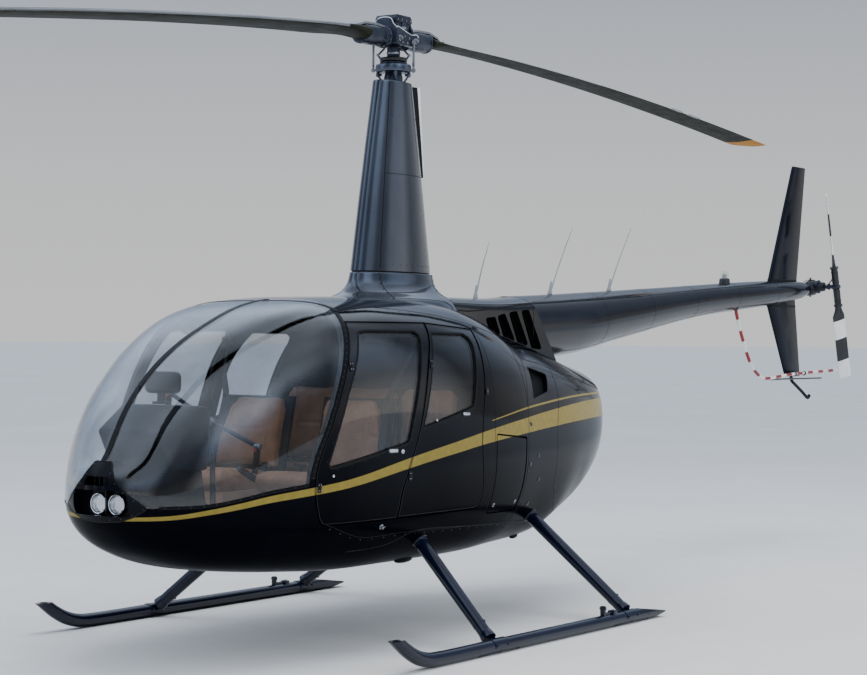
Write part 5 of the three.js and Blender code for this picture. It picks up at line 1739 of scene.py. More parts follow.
def blade(name, s, node):
    rings, mi = [], []
    # radius, chord, thickness, pitch, offset of the middle of the chord, roundness
    st = [(300, 150, 84, .03, 0, .8), (360, 172, 76, .05, 0, .6), (420, 200, 60, .075, 0, .35), (490, 226, 46, .1, 0, .15),
          (580, 246, 38, .11, 0, .04), (720, 262, 33, .11, 0, 0), (1000, 262, 30, .105, 0, 0), (1800, 262, 30, .09, 0, 0), (2800, 262, 30, .07, 0, 0), (3800, 262, 30, .048, 0, 0),
          (4300, 262, 29, .036, 0, 0), (4760, 262, 28, .024, 0, 0), (4906, 262, 26, .018, 0, 0)]
    F_ = Pchip([q[0] for q in st], [q[1:] for q in st])
    rs = np.r_[np.linspace(330, 640, 26), np.linspace(680, 4880, 120), np.linspace(4898, 4906, 3)]
    sec = AF.copy()
    sec_t = sec[:, 1] / np.abs(sec[:, 1]).max() / 2
    # points of a circle in the same order as the section, for the root
    xi = sec[:, 0] * 2 - 1
    circ = np.sign(sec_t + 1e-12) * np.sqrt(np.clip(1 - xi ** 2, 0, 1)) / 2
    for r in rs:
        c, t, pitch, off, rd = F_([r])[0]
        u = off + (0.5 - sec[:, 0]) * c
        v = (sec_t * (1 - rd) + circ * rd) * t
        cp, sp = math.cos(pitch), math.sin(pitch)
        # the leading edge faces the turning direction
        y, z = (u * cp - v * sp), (u * sp + v * cp)
        # smooth blend of the root line to the drooping line
        k_ = min(max((r - 330) / 330, 0.0), 1.0)
        k_ = k_ * k_ * (3 - 2 * k_)
        base = (3346 - s * (5 + (r - 150) * 0.0275)) * (1 - k_) + drop(r, s) * k_
        rings.append(np.stack([np.full(len(y), r), s * 0 + y, base + z], -1))
    # swept tip: the leading edge runs back over the last stretch
    for r in np.linspace(4918, 5022, 13):
        q = (r - 4906) / 124
        back = 122 * q ** 1.5
        c = 262 - back
        t = 26 - 12 * q
        u = (0.5 - sec[:, 0]) * c - back / 2
        v = sec_t * t
        rings.append(np.stack([np.full(len(u), r), u + 0 * v, drop(r, s) + u * 0.016 + v], -1))
    r = RR - 0.5
    last = rings[-1].copy()
    m = last.mean(0)
    rings.append(np.stack([np.full(len(last), r), m[1] + (last[:, 1] - m[1]) * 0.985, m[2] + (last[:, 2] - m[2]) * 0.45 - 0.4], -1))
    co, f = loft(rings)
    n = len(sec)
    # leading edge strip on the outer part, coloured tip
    mi = []
    for i in range(len(rings) - 1):
        rr = (rings[i][0, 0] + rings[i + 1][0, 0]) / 2
        for j in range(n):
            xm = (sec[j, 0] + sec[(j + 1) % n, 0]) / 2
            mi.append(2 if rr > 4790 else (1 if ((xm < 0.03 and rr > 620) or (xm > 0.972 and 620 < rr < 2300)) else 0))
    mi += [0, 2]
    if s < 0:
        co = co * [-1, -1, 1]
    o_ = build(name, rz(co), f, [BLADE, BLADE_EDGE, TIP], "main_rotor", "blade_paint", 42, mi)
    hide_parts(node)
    # bearing housing with flange, boot and bolts
    kk = HeadKit()
    X = np.array([1.0, 0, 0]) * s
    base = lambda r_: np.array([s * r_, 0, 3346 - s * (5 + (r_ - 150) * 0.0275)])
    prof = [(40, 98), (60, 99), (66, 102), (66, 114), (63, 118), (54, 120), (51, 126), (52, 150), (57, 176), (60, 205), (61, 240), (60, 275), (57.5, 306), (58, 322), (61, 325), (61, 338), (58, 341), (50, 342)]
    a_ = np.arange(48) / 48 * 2 * np.pi
    rings2 = [base(h) + r_ * np.stack([0 * a_, np.cos(a_), np.sin(a_)], -1) for r_, h in prof]
    kk.add(*loft(rings2), 0)
    for j in range(12):
        t_ = j / 12 * 2 * math.pi + 0.2
        d = np.array([0, math.cos(t_), math.sin(t_)])
        kk.add(*turned([(5.2, -2), (5.2, 4.2), (4.4, 5.2)], base(115) + d * 59.5, X, 6), 1)
        kk.add(*turned([(4.2, -2), (4.2, 3.2), (3.6, 4)], base(338) + d * 54.4, X, 6), 1)
    # pitch horn towards the link, and the bright strap on top of the root
    co2, f2 = slab([-10, -7, -9], [58, 7, 9], 5, 3)
    H0 = np.array([s * 122, s * -44, 3330.0])
    H1 = np.array([s * 62, s * -96, 3325.0])
    hd = unit(H1 - H0)
    kk.add(xform(co2, H0, hd, unit(np.cross([0, 0, 1.0], hd)), [0, 0, 1]), f2, 0)
    strap_, nn_ = [], []
    for r_ in np.linspace(150, 430, 24):
        c_ = base(r_)
        up_ = np.interp(r_, [150, 178, 205, 330, 430], [52, 57, 60, 60, 34])
        strap_.append(c_ + np.array([0, 0, up_]))
        nn_.append([0, 0, 1.0])
    kk.add(*band(strap_, nn_, 68, 5, 8, crown=0.3), 2)
    # bolts of the blade root
    for r_, w in ((452, 66), (492, 80)):
        for y in (-w * 0.3, w * 0.3):
            zt = (3346 - s * (5 + (r_ - 150) * 0.0275)) + 27 - (r_ - 452) * 0.14
            kk.add(*turned([(9, 0), (9, 4), (7.5, 5)], np.array([s * r_, s * y, zt - 3]), (0, 0, 1), 6), 1)
    o2 = kk.make(name + "_root", [DARKMETAL, METAL, METAL], "main_rotor", "bare_metal", 38)
    # trim tabs along the trailing edge
    kk = HeadKit()
    for r_ in (3420, 3700):
        z = drop(r_, s) - 131 * math.sin(0.052)
        co2, f2 = slab([-90, -14, -0.9], [90, 16, 0.9], 0.8, 2)
        kk.add(xform(co2, np.array([s * r_, -s * 137.0, z - 1.0]), [1, 0, -s * (drop(r_, s) - drop(r_ + 50, s)) / 50], [0, 1, 0], [0, 0, 1]), f2, 0)
    kk.make(name + "_trim_tabs", [BLADE_EDGE], "main_rotor", "bare_metal", 38)


blade("blade_fwd", 1, "main_blade_a")
blade("blade_aft", -1, "main_blade_b")

# ------------------------------------------------------------------ tail rotor, gearbox
TX, TY, TZ, TR_, LEAN = -5863.0, 217.0, 2049.0, 762.0, 0.283
CL, SL = math.cos(LEAN), math.sin(LEAN)


def tr(co):
    """Local tail rotor axes to the table frame: turned about Y by the lean, then placed."""
    co = np.asarray(co, float)
    return np.stack([TX + co[:, 0] * CL + co[:, 2] * SL, TY + co[:, 1], TZ - co[:, 0] * SL + co[:, 2] * CL], -1)


class TailKit(Kit):
    def add(self, co, faces, mi=0):
        return super().add(tr(co), faces, mi)


k = TailKit()
k.add(*turned([(15.8, -98), (15.8, 30), (13, 33.6)], (0, 0, 0), (0, 1, 0), 28), 1)
k.add(*turned([(24, -16), (26, -13), (26, 12), (23, 15)], (0, 0, 0), (0, 1, 0), 32), 0)
for s in (1, -1):
    # yoke plates either side of the blade roots
    for y in (-14.8, 10.8):
        co, f = slab([-22, y, s * 10 if s > 0 else -118], [22, y + 4, 118 if s > 0 else -10], 3, 3)
        k.add(co, f, 0)
    for x in (-12, 12):
        for z in (62, 100):
            k.add(*turned([(5.4, -18), (5.4, 18)], (x, 0, s * z), (0, 1, 0), 6), 1)
    # pitch links and the slider ring
    k.add(*tube([[s * 40, -62, s * 16], [s * 37, -12, s * 66]], 4.2, 12), 1)
    co, f = slab([min(s * 14, s * 44), -18, s * 66 - 8], [max(s * 14, s * 44), -6, s * 66 + 8], 3, 3)
    k.add(co, f, 0)
    k.add(*turned([(8, -6), (9, -4), (9, 4), (8, 6)], (s * 40, -62, s * 16), (0, 0, 1), 16), 1)
k.add(*turned([(22, -72), (25, -69), (25, -56), (22, -53)], (0, 0, 0), (0, 1, 0), 32), 0)
co, f = slab([-46, -68, -7], [46, -58, 7], 3, 3)
k.add(co, f, 0)
for s in (1, -1):
    # blade grips with a flared outer cap
    k.add(*turned([(20, 12), (27, 17), (28, 60), (27, 140), (30, 148), (35, 152), (36, 160), (33, 163), (22, 164)], (0, 0, 0), (0, 0, s), 32), 2)
    for z in (40, 118):
        k.add(*turned([(27, -3.5), (29.6, -2.4), (29.6, 2.4), (27, 3.5)], (0, 0, s * z), (0, 0, s), 32), 0)
o = k.make("tail_rotor_head", [DARKMETAL, DARKMETAL, TBLACK], "tail_rotor", "bare_metal", 38)
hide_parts("tail_rotor_hub")
for s, nm, node in ((1, "tail_blade_up", "tail_blade_a"), (-1, "tail_blade_down", "tail_blade_b")):
    st = [(121, 56, 33, 1, 0), (150, 58, 32, .9, 0), (185, 66, 28, .5, 1), (215, 96, 23, .2, 5), (245, 124, 20, 0, 8), (500, 126, 16.5, 0, 8), (748, 126, 13.6, 0, 8)]
    F_ = Pchip([q[0] for q in st], [q[1:] for q in st])
    sec = naca(30, 0.12)
    sec_t = sec[:, 1] / np.abs(sec[:, 1]).max() / 2
    xi = sec[:, 0] * 2 - 1
    circ = np.sign(sec_t + 1e-12) * np.clip(1 - xi ** 4, 0, 1) ** 0.25 / 2
    rs = sorted(set([round(v, 2) for v in np.r_[np.linspace(121, 250, 22), np.linspace(256, 744, 60), 0.365 * TR_, 0.565 * TR_, 0.80 * TR_]]))
    rings = []
    p_ = 0.42 * s
    cp, sp = math.cos(p_), math.sin(p_)

    def tail_sec(r, shrink=0.0):
        c, t, rd, off = F_([min(r, 748)])[0]
        c, t = c - shrink * 26, t * (1 - shrink * 0.7)
        u = off + (0.5 - sec[:, 0]) * c
        v = (sec_t * (1 - rd) + circ * rd) * t
        return np.stack([u * cp - v * sp, u * sp + v * cp, np.full(len(u), s * r)], -1)

    rings = [tail_sec(r) for r in rs] + [tail_sec(r, e) for r, e in ((752, .05), (757, .2), (760.5, .5), (761.8, .9))]
    co, f = loft(rings)
    radii = list(rs) + [752, 757, 760.5, 761.8]
    mi = []
    for i in range(len(rings) - 1):
        m = (radii[i] + radii[i + 1]) / 2 / TR_
        mi += [0 if (m < 0.365 or 0.565 < m < 0.80) else 1] * len(sec)
    mi += [0, 1]
    o = build(nm, tr(co), f, [TBLACK, WHITE], "tail_rotor", "white_paint", 42, mi)
    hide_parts(node)
    k = TailKit()
    for z in (196, 216):
        for x in (-14, 18):
            n = np.array([-sp, cp, 0.0])
            for sd in (1, -1):
                k.add(*turned([(4.4, 0), (4.4, 3.0), (3.6, 3.8)], np.array([x * cp, x * sp, s * z]) + n * sd * 9.5, n * sd, 6), 0)
    k.make(nm + "_bolts", [DARKMETAL], "tail_rotor", "bare_metal", 38)

k = Kit()
gb = [(-5778.5, 2027, 38), (-5786, 2028.5, 42), (-5800, 2031, 53), (-5812, 2032.5, 57), (-5840, 2037, 61), (-5870, 2042, 61.5), (-5892, 2045, 60), (-5904, 2047, 50), (-5914, 2048.5, 40), (-5919.5, 2049, 22)]
a_ = np.arange(44) / 44 * 2 * np.pi
k.add(*loft([np.stack([np.full(44, x), r * np.sin(a_), z + r * np.cos(a_)], -1) for x, z, r in gb]), 0)
k.add(*turned([(44, 20), (42, 66), (38, 78), (37, 104), (35, 116), (30, 118)], (TX, 0, TZ), (0, 1, 0), 40), 0)
k.add(*turned([(52, 58), (54, 60), (54, 70), (51, 72)], (TX, 0, TZ), (0, 1, 0), 40), 1)
for j in range(8):
    t_ = j / 8 * 2 * math.pi
    k.add(*turned([(4.6, 0), (4.6, 4), (4, 5)], np.array([TX + 48 * math.cos(t_), 71, TZ + 48 * math.sin(t_)]), (0, 1, 0), 6), 1)
    k.add(*turned([(4.6, 0), (4.6, 4), (4, 5)], np.array([-5790, 46 * math.cos(t_), 2028 + 46 * math.sin(t_)]), (1, 0, 0), 6), 1)
k.add(*turned([(11, 0), (11, 10), (8, 14), (8, 26), (5, 30)], (-5850, 0, 2094), (0, 0, 1), 6), 1)
k.add(*turned([(9, 0), (9, 8), (6, 12)], (-5850, 0, 1979), (0, 0, -1), 6), 1)
for x in (-5824, -5878):
    z = 2042 if x > -5850 else 2044
    k.add(*band([[x, 61.2 * math.sin(t_), z + 61.2 * math.cos(t_)] for t_ in np.linspace(0, 2 * math.pi, 44, endpoint=False)],
                [[0, math.sin(t_), math.cos(t_)] for t_ in np.linspace(0, 2 * math.pi, 44, endpoint=False)], 7, 3.2, 1, closed=True), 0)
# pitch change lever and rod
k.add(*tube([[-5800, 40, 2064], [-5830, 74, 2082], [-5850, 92, 2078], [-5860, 108, 2066]], 5, 12, 8), 1)
o = k.make("tail_gear_case", [GEARBOX, DARKMETAL], "airframe", "bare_metal", 38)
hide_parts("tail_gearbox")

# curled tail skid, banded guard rail, beacon
co, f = tube([[-5493, 0, 1325], [-5497, 0, 1304], [-5512, 0, 1290], [-5560, 0, 1268], [-5700, 0, 1205], [-5780, 0, 1166], [-5808, 0, 1154], [-5828, 0, 1157], [-5842, 0, 1172]], 13.0, 20, 9, round_ends=0.8)
k = Kit()
k.add(co, f, 0)
k.add(*turned([(20, -2), (20, 8), (16, 12), (12, 14)], (-5494, 0, 1318), (0, 0, -1), 28), 1)
o = k.make("tail_skid_rod", [BLACK, METAL], "airframe", "dark_trim", 38)
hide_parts("tail_skid")
GR = np.array([[-4388, 46, 1862], [-4398, 50, 1812], [-4480, 52, 1656], [-4640, 56, 1432], [-4760, 58, 1354], [-4830, 60, 1330], [-4900, 62, 1322], [-5320, 72, 1348], [-6250, 98, 1377]], float)
Q = resample(GR, 10)
S = np.r_[0, np.cumsum(np.linalg.norm(np.diff(Q, axis=0), axis=1))]
BANDL = 94.0
marks = np.arange(0, S[-1], BANDL)
allq = np.unique(np.round(np.r_[np.arange(0, S[-1], 12.0), marks, S[-1] - 0.01], 3))
P = np.stack([np.interp(allq, S, Q[:, i]) for i in range(3)], -1)
R = np.full(len(P), 12.6)
co, f = tube(P, R, 20)
mi = []
for i in range(len(P) - 1):
    m = (allq[i] + allq[i + 1]) / 2
    mi += [1 if int(m // BANDL) % 2 == 0 else 0] * 20
mi += [1, 0]
k = Kit()
k.v.append(co)
k.f.extend(f)
k.m.extend(mi)
k.n += len(co)
k.add(*turned([(12.4, 0), (11, 5), (6, 8.5)], P[-1], P[-1] - P[-2], 20), 0)
# clamp at the boom and at the lower fin
k.add(*turned([(24, -4), (24, 4), (20, 8), (16, 12)], (-4389, 46.5, 1853), (-0.15, 0.07, -1), 28), 2)
for x in (-5396, -5560):
    y = float(np.interp(-x, [5320, 6250], [72, 98]))
    z = float(np.interp(-x, [5320, 6250], [1348, 1377]))
    k.add(*turned([(17, -10), (18, -8), (18, 8), (17, 10)], (x, y, z), (-1, 0.028, 0.031), 26), 2)
    co2, f2 = slab([x - 9, 6, z - 4], [x + 9, y - 8, z + 4], 2, 2)
    k.add(co2, f2, 2)
# thin dark brace rod below the rail
k.add(*tube([[-4990, 60, 1312], [-5300, 40, 1313], [-5520, 16, 1311], [-6080, 0, 1309]], 6.5, 14, 40, round_ends=0.8), 2)
o = k.make("guard_rail_banded", [WHITE, RED, TBLACK], "airframe", "white_paint", 42)
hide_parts("guard_rail")
k = Kit()
k.add(*turned([(46, 2010), (44, 2036), (41, 2044), (40, 2060), (36, 2072), (31, 2077)], (-4294, 0, 0), (0, 0, 1), 40), 0)
for j in range(4):
    t_ = j / 4 * 2 * math.pi + 0.5
    k.add(*turned([(3.6, -2), (3.6, 2), (3, 2.8)], np.array([-4294 + 36 * math.cos(t_), 36 * math.sin(t_), 2071.5]), (0, 0, 1), 8), 1)
o = k.make("beacon_base", [TBLACK, METAL], "airframe", "dark_trim", 38)
k = Kit()
k.add(*turned([(29, 2074), (29, 2096), (28, 2112), (25, 2122), (18, 2129), (9, 2132), (2, 2132.4)], (-4294, 0, 0), (0, 0, 1), 40), 0)
o2 = k.make("beacon_lens", [LENS], "airframe", "glazing", 60)
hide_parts("beacon")
k = Kit()
k.add(*turned([(19, 2072), (19, 2082), (15, 2087), (15, 2112), (9, 2117), (3, 2118)], (-4294, 0, 0), (0, 0, 1), 24), 0)
for z in (2090, 2097, 2104):
    k.add(*turned([(15, -1.6), (22, -1), (22, 1), (15, 1.6)], (-4294, 0, z), (0, 0, 1), 28), 0)
k.make("beacon_lamp", [PALE], "airframe", "bare_metal", 38)


# ------------------------------------------------------------------ landing gear
TREAD = 1174.0
RUN = np.array([[-1120, 38, 37.4], [-600, 38, 37.4], [0, 38, 37.4], [700, 38, 37.4], [1230, 38, 37.4], [1330, 44, 37.4], [1425, 68, 37.2], [1515, 112, 35.6], [1600, 168, 32.8], [1690, 230, 29.8]], float)
HEEL = [[-800, 80], [-820, 73], [-1090, 37], [-1090, 29], [-940, -1], [-940, -60], [-1300, -60], [-1300, 80]]
BOLTM = METAL


def arc_band(x0, x1, y, z, r0, r1, a0, a1, n=18, ease=0.0):
    """Part of a sleeve around an x-wise tube, between two angles in degrees (0 = +y, 90 = up)."""
    a = np.radians(np.linspace(a0, a1, n))
    rings = []
    for x, k in ((x0, ease), (x0 + 2.0, 0.0), (x1 - 2.0, 0.0), (x1, ease)):
        o_ = np.stack([np.full(n, x), y + (r1 - k) * np.cos(a), z + (r1 - k) * np.sin(a)], -1)
        i_ = np.stack([np.full(n, x), y + r0 * np.cos(a), z + r0 * np.sin(a)], -1)
        rings.append(np.vstack([o_, i_[::-1]]))
    return loft(rings)


def strut_axis(lo, hi, k):
    lo, hi = np.array(lo, float), np.array(hi, float)
    return lo + (hi - lo) * k


STRUT = {"front": ((699, 1109, 90), (585, 642, 500)), "rear": ((-696, 1133, 90), (-759, 572, 500))}
for s, tag in ((1, "left"), (-1, "right")):
    P = np.stack([RUN[:, 0], np.full(len(RUN), s * TREAD), RUN[:, 1]], -1)
    me = mesh_of(*tube(P, RUN[:, 2], 44, 22))
    me = less(me, cube(1380, 1900, s * TREAD - 90, s * TREAD + 90, 168, 420), prism(HEEL, s * TREAD - 90, s * TREAD + 90))
    o = place(f"skid_tube_{tag}", me, [GEAR], "airframe", "body_paint", 34)
    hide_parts(f"skid_{tag}")
    k = Kit()
    # wear shoes under the tube, toe plug, heel cap rivets
    for x0, x1 in ((-905, -500), (500, 905)):
        k.add(*arc_band(x0, x1, s * TREAD, 38, 36.6, 38.6, 218, 322, 16, 1.2), 0)
        for x in (x0 + 24, (x0 + x1) / 2, x1 - 24):
            for a in (226, 314):
                n = np.array([0, math.cos(math.radians(a)), math.sin(math.radians(a))])
                k.add(*turned([(6, 0), (6, 1.4), (4.2, 2.8)], np.array([x, s * TREAD, 38]) + n * 38.0, n, 8), 1)
    k.add(*turned([(20, 164), (21.5, 168.8), (18, 170.6)], (1596, s * TREAD, 0), (0, 0, 1), 30), 2)
    for x in (-880, -1000):
        for y in (-1, 1):
            k.add(*turned([(4, -1), (4, 1.3), (2.6, 2.4)], (x, s * TREAD + y * (37.2 if x > -900 else 36.4), 36), (0, y, 0), 8), 1)
    # ground wheel fittings
    co, f = slab([-540, s * TREAD - 22, 60], [-500, s * TREAD + 22, 93], 5, 3)
    k.add(co, f, 0)
    co, f = slab([-523, s * TREAD - 9, 73], [-402, s * TREAD + 9, 88], 4, 3)
    k.add(co, f, 0)
    co, f = slab([-424, s * TREAD - 14, 70], [-400, s * TREAD + 14, 128], 5, 3)
    k.add(co, f, 0)
    k.add(*turned([(8.5, -19), (8.5, 19)], (-412, s * TREAD, 114), (0, 1, 0), 18), 1)
    for x in (-530, -510):
        k.add(*turned([(5, 0), (5, 4), (4, 5)], (x, s * TREAD, 92), (0, 0, 1), 6), 1)
    # saddles: sleeve over the skid, bolts, and a neck up to the leg
    for nm, (lo, hi) in STRUT.items():
        x = lo[0]
        k.add(*arc_band(x - 66, x + 66, s * TREAD, 38, 36.8, 41.4, -8, 188, 30, 2.4), 0)
        for dx in (-52, 52):
            for a in (12, 168):
                n = np.array([0, math.cos(math.radians(a)), math.sin(math.radians(a))])
                k.add(*turned([(7, 0), (7, 1.6), (6.4, 2)], np.array([x + dx, s * TREAD, 38]) + n * 41.2, n, 18), 1)
                k.add(*turned([(5.2, 1.5), (5.2, 6), (4.4, 7)], np.array([x + dx, s * TREAD, 38]) + n * 41.2, n, 6), 1)
        A = np.array([lo[0], s * lo[1], lo[2]], float)
        B = np.array([hi[0], s * hi[1], hi[2]], float)
        d = unit(B - A)
        C = A - d * 14
        k.add(*tube([C - d * 16, C + d * 4, C + d * 16, C + d * 24, C + d * 25], [41, 40, 37.6, 36.4, 33], 30), 0)
        k.add(*tube([A + d * 62, A + d * 63.5, A + d * 76, A + d * 77.5], [33, 36.2, 36.2, 33], 32), 0)
        for a in (0.4, 2.6):
            n = unit(np.cross(d, [1, 0, 0])) * math.cos(a) + unit(np.cross(d, np.cross(d, [1, 0, 0]))) * math.sin(a)
            k.add(*turned([(5, 0), (5, 3.4), (4, 4.4)], A + d * 69.5 + n * 36, n, 6), 1)
    k.make(f"skid_fittings_{tag}", [GEAR, DARKMETAL, RUBBER], "airframe", "dark_trim", 36)
    for nm, (lo, hi) in STRUT.items():
        A = np.array([lo[0], s * lo[1], lo[2]], float)
        B = np.array([hi[0], s * hi[1], hi[2]], float)
        q = np.linspace(0.3, 1.3, 400)
        pts = A + (B - A) * q[:, None]
        inside = implicit(pts, 10.0) < 0
        kt = q[np.argmax(inside)] if inside.any() else 1.1
        d = unit(B - A)
        co, f = tube([A + (B - A) * -0.02, A + (B - A) * 0.1, A + (B - A) * kt * 0.5, A + (B - A) * kt], [34.4, 34.6, 36.2, 37.8], 40, 40, False)
        # the leg is round, a little thicker towards the belly
        o = build(f"strut_leg_{nm}_{tag}", co, f, [GEAR], "airframe", "body_paint", 34)
        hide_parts(f"strut_{nm}_{tag}")
        # collar where the leg enters the belly
        U = unit(np.cross(d, [1.0, 0, 0]))
        V = np.cross(d, U)
        n = 40
        ang = np.arange(n) / n * 2 * np.pi
        D = np.cos(ang)[:, None] * U + np.sin(ang)[:, None] * V

        def foot(r, lift):
            """Points of a sleeve of radius r where it meets the skin, moved down the leg by lift."""
            out = np.zeros((n, 3))
            for i in range(n):
                base = A + D[i] * r
                t = np.linspace(0.2, 1.6, 900)
                c = base + (B - A) * t[:, None]
                v = implicit(c, 0.0) < 0
                j = int(np.argmax(v)) if v.any() else len(t) - 1
                out[i] = c[j] - d * lift
            return out

        rings = [foot(46, -6), foot(45.6, 1.5), foot(43.6, 3.2), foot(41, 7), foot(39.6, 14), foot(39.0, 20), foot(37.2, 21)]
        kk = Kit()
        kk.add(*loft(rings), 0)
        kk.make(f"strut_boot_{nm}_{tag}", [GEAR, DARKMETAL], "airframe", "dark_trim", 40)

# ------------------------------------------------------------------ belly line, step, fittings
k = Kit()
BELLY = [[1223, 528], [1060, 531], [910, 545], [800, 580], [747, 596], [642, 606], [370, 597], [100, 584], [-159, 572], [-577, 552], [-960, 516], [-1010, 504]]
for s in (1, -1):
    line = resample(np.array(BELLY, float), 16)
    P = on_side(line[:, 0], line[:, 1], s)
    k.add(*band(P, grad(P), 7.0, 1.2, 1.5), 0)
k.make("belly_seam_line", [RUBBER], "airframe", "dark_trim", 50)
k = Kit()
for s in (1, -1):
    P = on_side(1059, 651, s)[0]
    n = grad(P[None])[0]
    # bright stub fitting with a flange and a turned pin
    k.add(*turned([(15, -2), (15, 2.0), (12, 4.2)], P, n, 30), 0)
    k.add(*turned([(7, 2), (6.6, 9), (8.6, 11), (8.6, 15), (6.5, 17), (3, 18)], P, n, 28), 0)
    co, f = slab([-4, -2.4, 8], [24, 2.4, 14], 2.2, 3)
    k.add(xform(co, P, [-0.98, 0, 0.2], unit(np.cross(n, [-0.98, 0, 0.2])), n), f, 0)
k.make("side_fittings", [METAL], "airframe", "bare_metal", 38)
k = Kit()
# drain mast, blister and blade antenna under the belly
for x, y, L, w, h in ((340, 330, 78, 34, 22), (-1035, 190, 46, 16, 20)):
    P = on_top(x, y, 0.0, True)[0]
    n = grad(P[None])[0]
    q = np.linspace(0, 1, 9)
    rings = []
    for t in q:
        e = math.sqrt(max(1 - t ** 2.4, 0.0))
        a = np.arange(36) / 36 * 2 * np.pi
        X, Y = unit(np.array([1.0, 0, 0]) - n * n[0]), None
        Y = np.cross(n, X)
        rings.append(P + n * (h * t - 2) + L * e * np.cos(a)[:, None] * X + w * e * np.sin(a)[:, None] * Y)
    rings[-1] = P + n * (h - 2) + 0.02 * (rings[0] - P - n * -2)
    k.add(*loft(rings), 0)
P = on_top(-420, 0, 0.0, True)[0]
k.add(*turned([(26, -2), (26, 4), (22, 8)], P, (0, 0, -1), 30), 0)
k.add(*turned([(10, 6), (10, 14), (7, 18)], P, (0, 0, -1), 24), 1)
for x in (1700, 700, -60):
    P = on_top(x, 0, 0.0, True)[0]
    k.add(*turned([(34, -2), (34, 1.6), (32, 2.4)], P, grad(P[None])[0], 36), 0)
    for j in range(6):
        a = j / 6 * 2 * math.pi
        q = P + np.array([27 * math.cos(a), 27 * math.sin(a), 0])
        q = on_top(q[0], q[1], 0, True)[0]
        k.add(*turned([(3, 1), (3, 3), (2.2, 3.6)], q, grad(q[None])[0], 8), 1)
k.make("belly_fittings", [BLACK, METAL], "airframe", "dark_trim", 38)

# whip aerials with their feet
for i, (b, t) in enumerate((((-881, 1862), (-1034, 2213)), ((-1763, 1907), (-2050, 2349)), ((-2537, 1946), (-2846, 2382)))):
    k = Kit()
    B, T = np.array([b[0], 0.0, b[1]]), np.array([t[0], 0.0, t[1]])
    d = unit(T - B)
    q = B - np.array([0, 0, 6.0])
    k.add(*turned([(22, -14), (22, 2), (19, 6)], q, (0, 0, 1), 30), 1)
    k.add(*turned([(16, 2), (15, 14), (11, 34), (8, 62), (6.4, 84), (5, 92)], q, d * 0.4 + np.array([0, 0, 0.6]), 26), 0)
    m = B + (T - B) * 0.5 + np.array([6.0, 0, 5.0])
    k.add(*tube([B + d * 12, m, T], [5.2, 4.0, 2.2], 12, 30, round_ends=0.9), 0)
    k.make(f"whip_aerial_{i + 1}", [ROD, TRIM], "airframe", "grey_paint", 40)

# exhaust pipe, hollow at the end
path = resample(np.array([[-1430, 0, 1128], [-1430, 0, 1160], [-1470, 0, 1200], [-1600, 0, 1232], [-2098, 0, 1240]], float), 26)
out = path
back = path[path[:, 0] < -1750][::-1]
P = np.vstack([out, [[-2100, 0, 1240]], [[-2100, 0, 1240.0]], back])
R = np.r_[np.full(len(out), 61.5), 60.6, 58.6, np.full(len(back), 57.5)]
_, U, V = frames(out)
n = 44
a = np.arange(n) / n * 2 * np.pi
rings = []
for i, (p, r) in enumerate(zip(P, R)):
    j = int(np.argmin(np.linalg.norm(out - p, axis=1)))
    rings.append(p + r * (np.cos(a)[:, None] * U[j] + np.sin(a)[:, None] * V[j]))
co, f = loft(rings)
k = Kit()
k.add(co, f, 0)
for x in (-2070, -2040):
    k.add(*band([[x, 61.2 * math.sin(t_), 1239.5 + 61.2 * math.cos(t_)] for t_ in np.linspace(0, 2 * math.pi, 44, endpoint=False)],
                [[0, math.sin(t_), math.cos(t_)] for t_ in np.linspace(0, 2 * math.pi, 44, endpoint=False)], 4, 1.6, 1, closed=True), 0)
o = k.make("exhaust_pipe", [STEEL], "airframe", "steel", 40)
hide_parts("exhaust")


# ------------------------------------------------------------------ cabin trim
IN30, IN54 = body_solid(30.0), body_solid(54.0)
wide = np.vstack([curve_xz(SPLIT, 700, 1722, 30) + [34, 0], (curve_xz(SPLIT, 700, 1722, 30) + [-34, 0])[::-1]])
pillar = both_of(csg(IN30, IN54, "DIFFERENCE"), prism(wide, 60, 1200))
for s, tag in ((1, "left"), (-1, "right")):
    skin_piece(f"door_post_{tag}", pillar if s > 0 else mirrored(pillar), [LINER, LINER], "airframe", "dark_trim", 30.0, 54.0)
rib = less(both_of(csg(body_solid(26.0), body_solid(50.0), "DIFFERENCE"), cube(500, 604, -1200, 1200, 1716, 2400)))
skin_piece("roof_rib", rib, [LINER, LINER], "airframe", "dark_trim", 26.0, 50.0)


def inside_of(me, t=36.0):
    return both_of(me, body_solid(t))


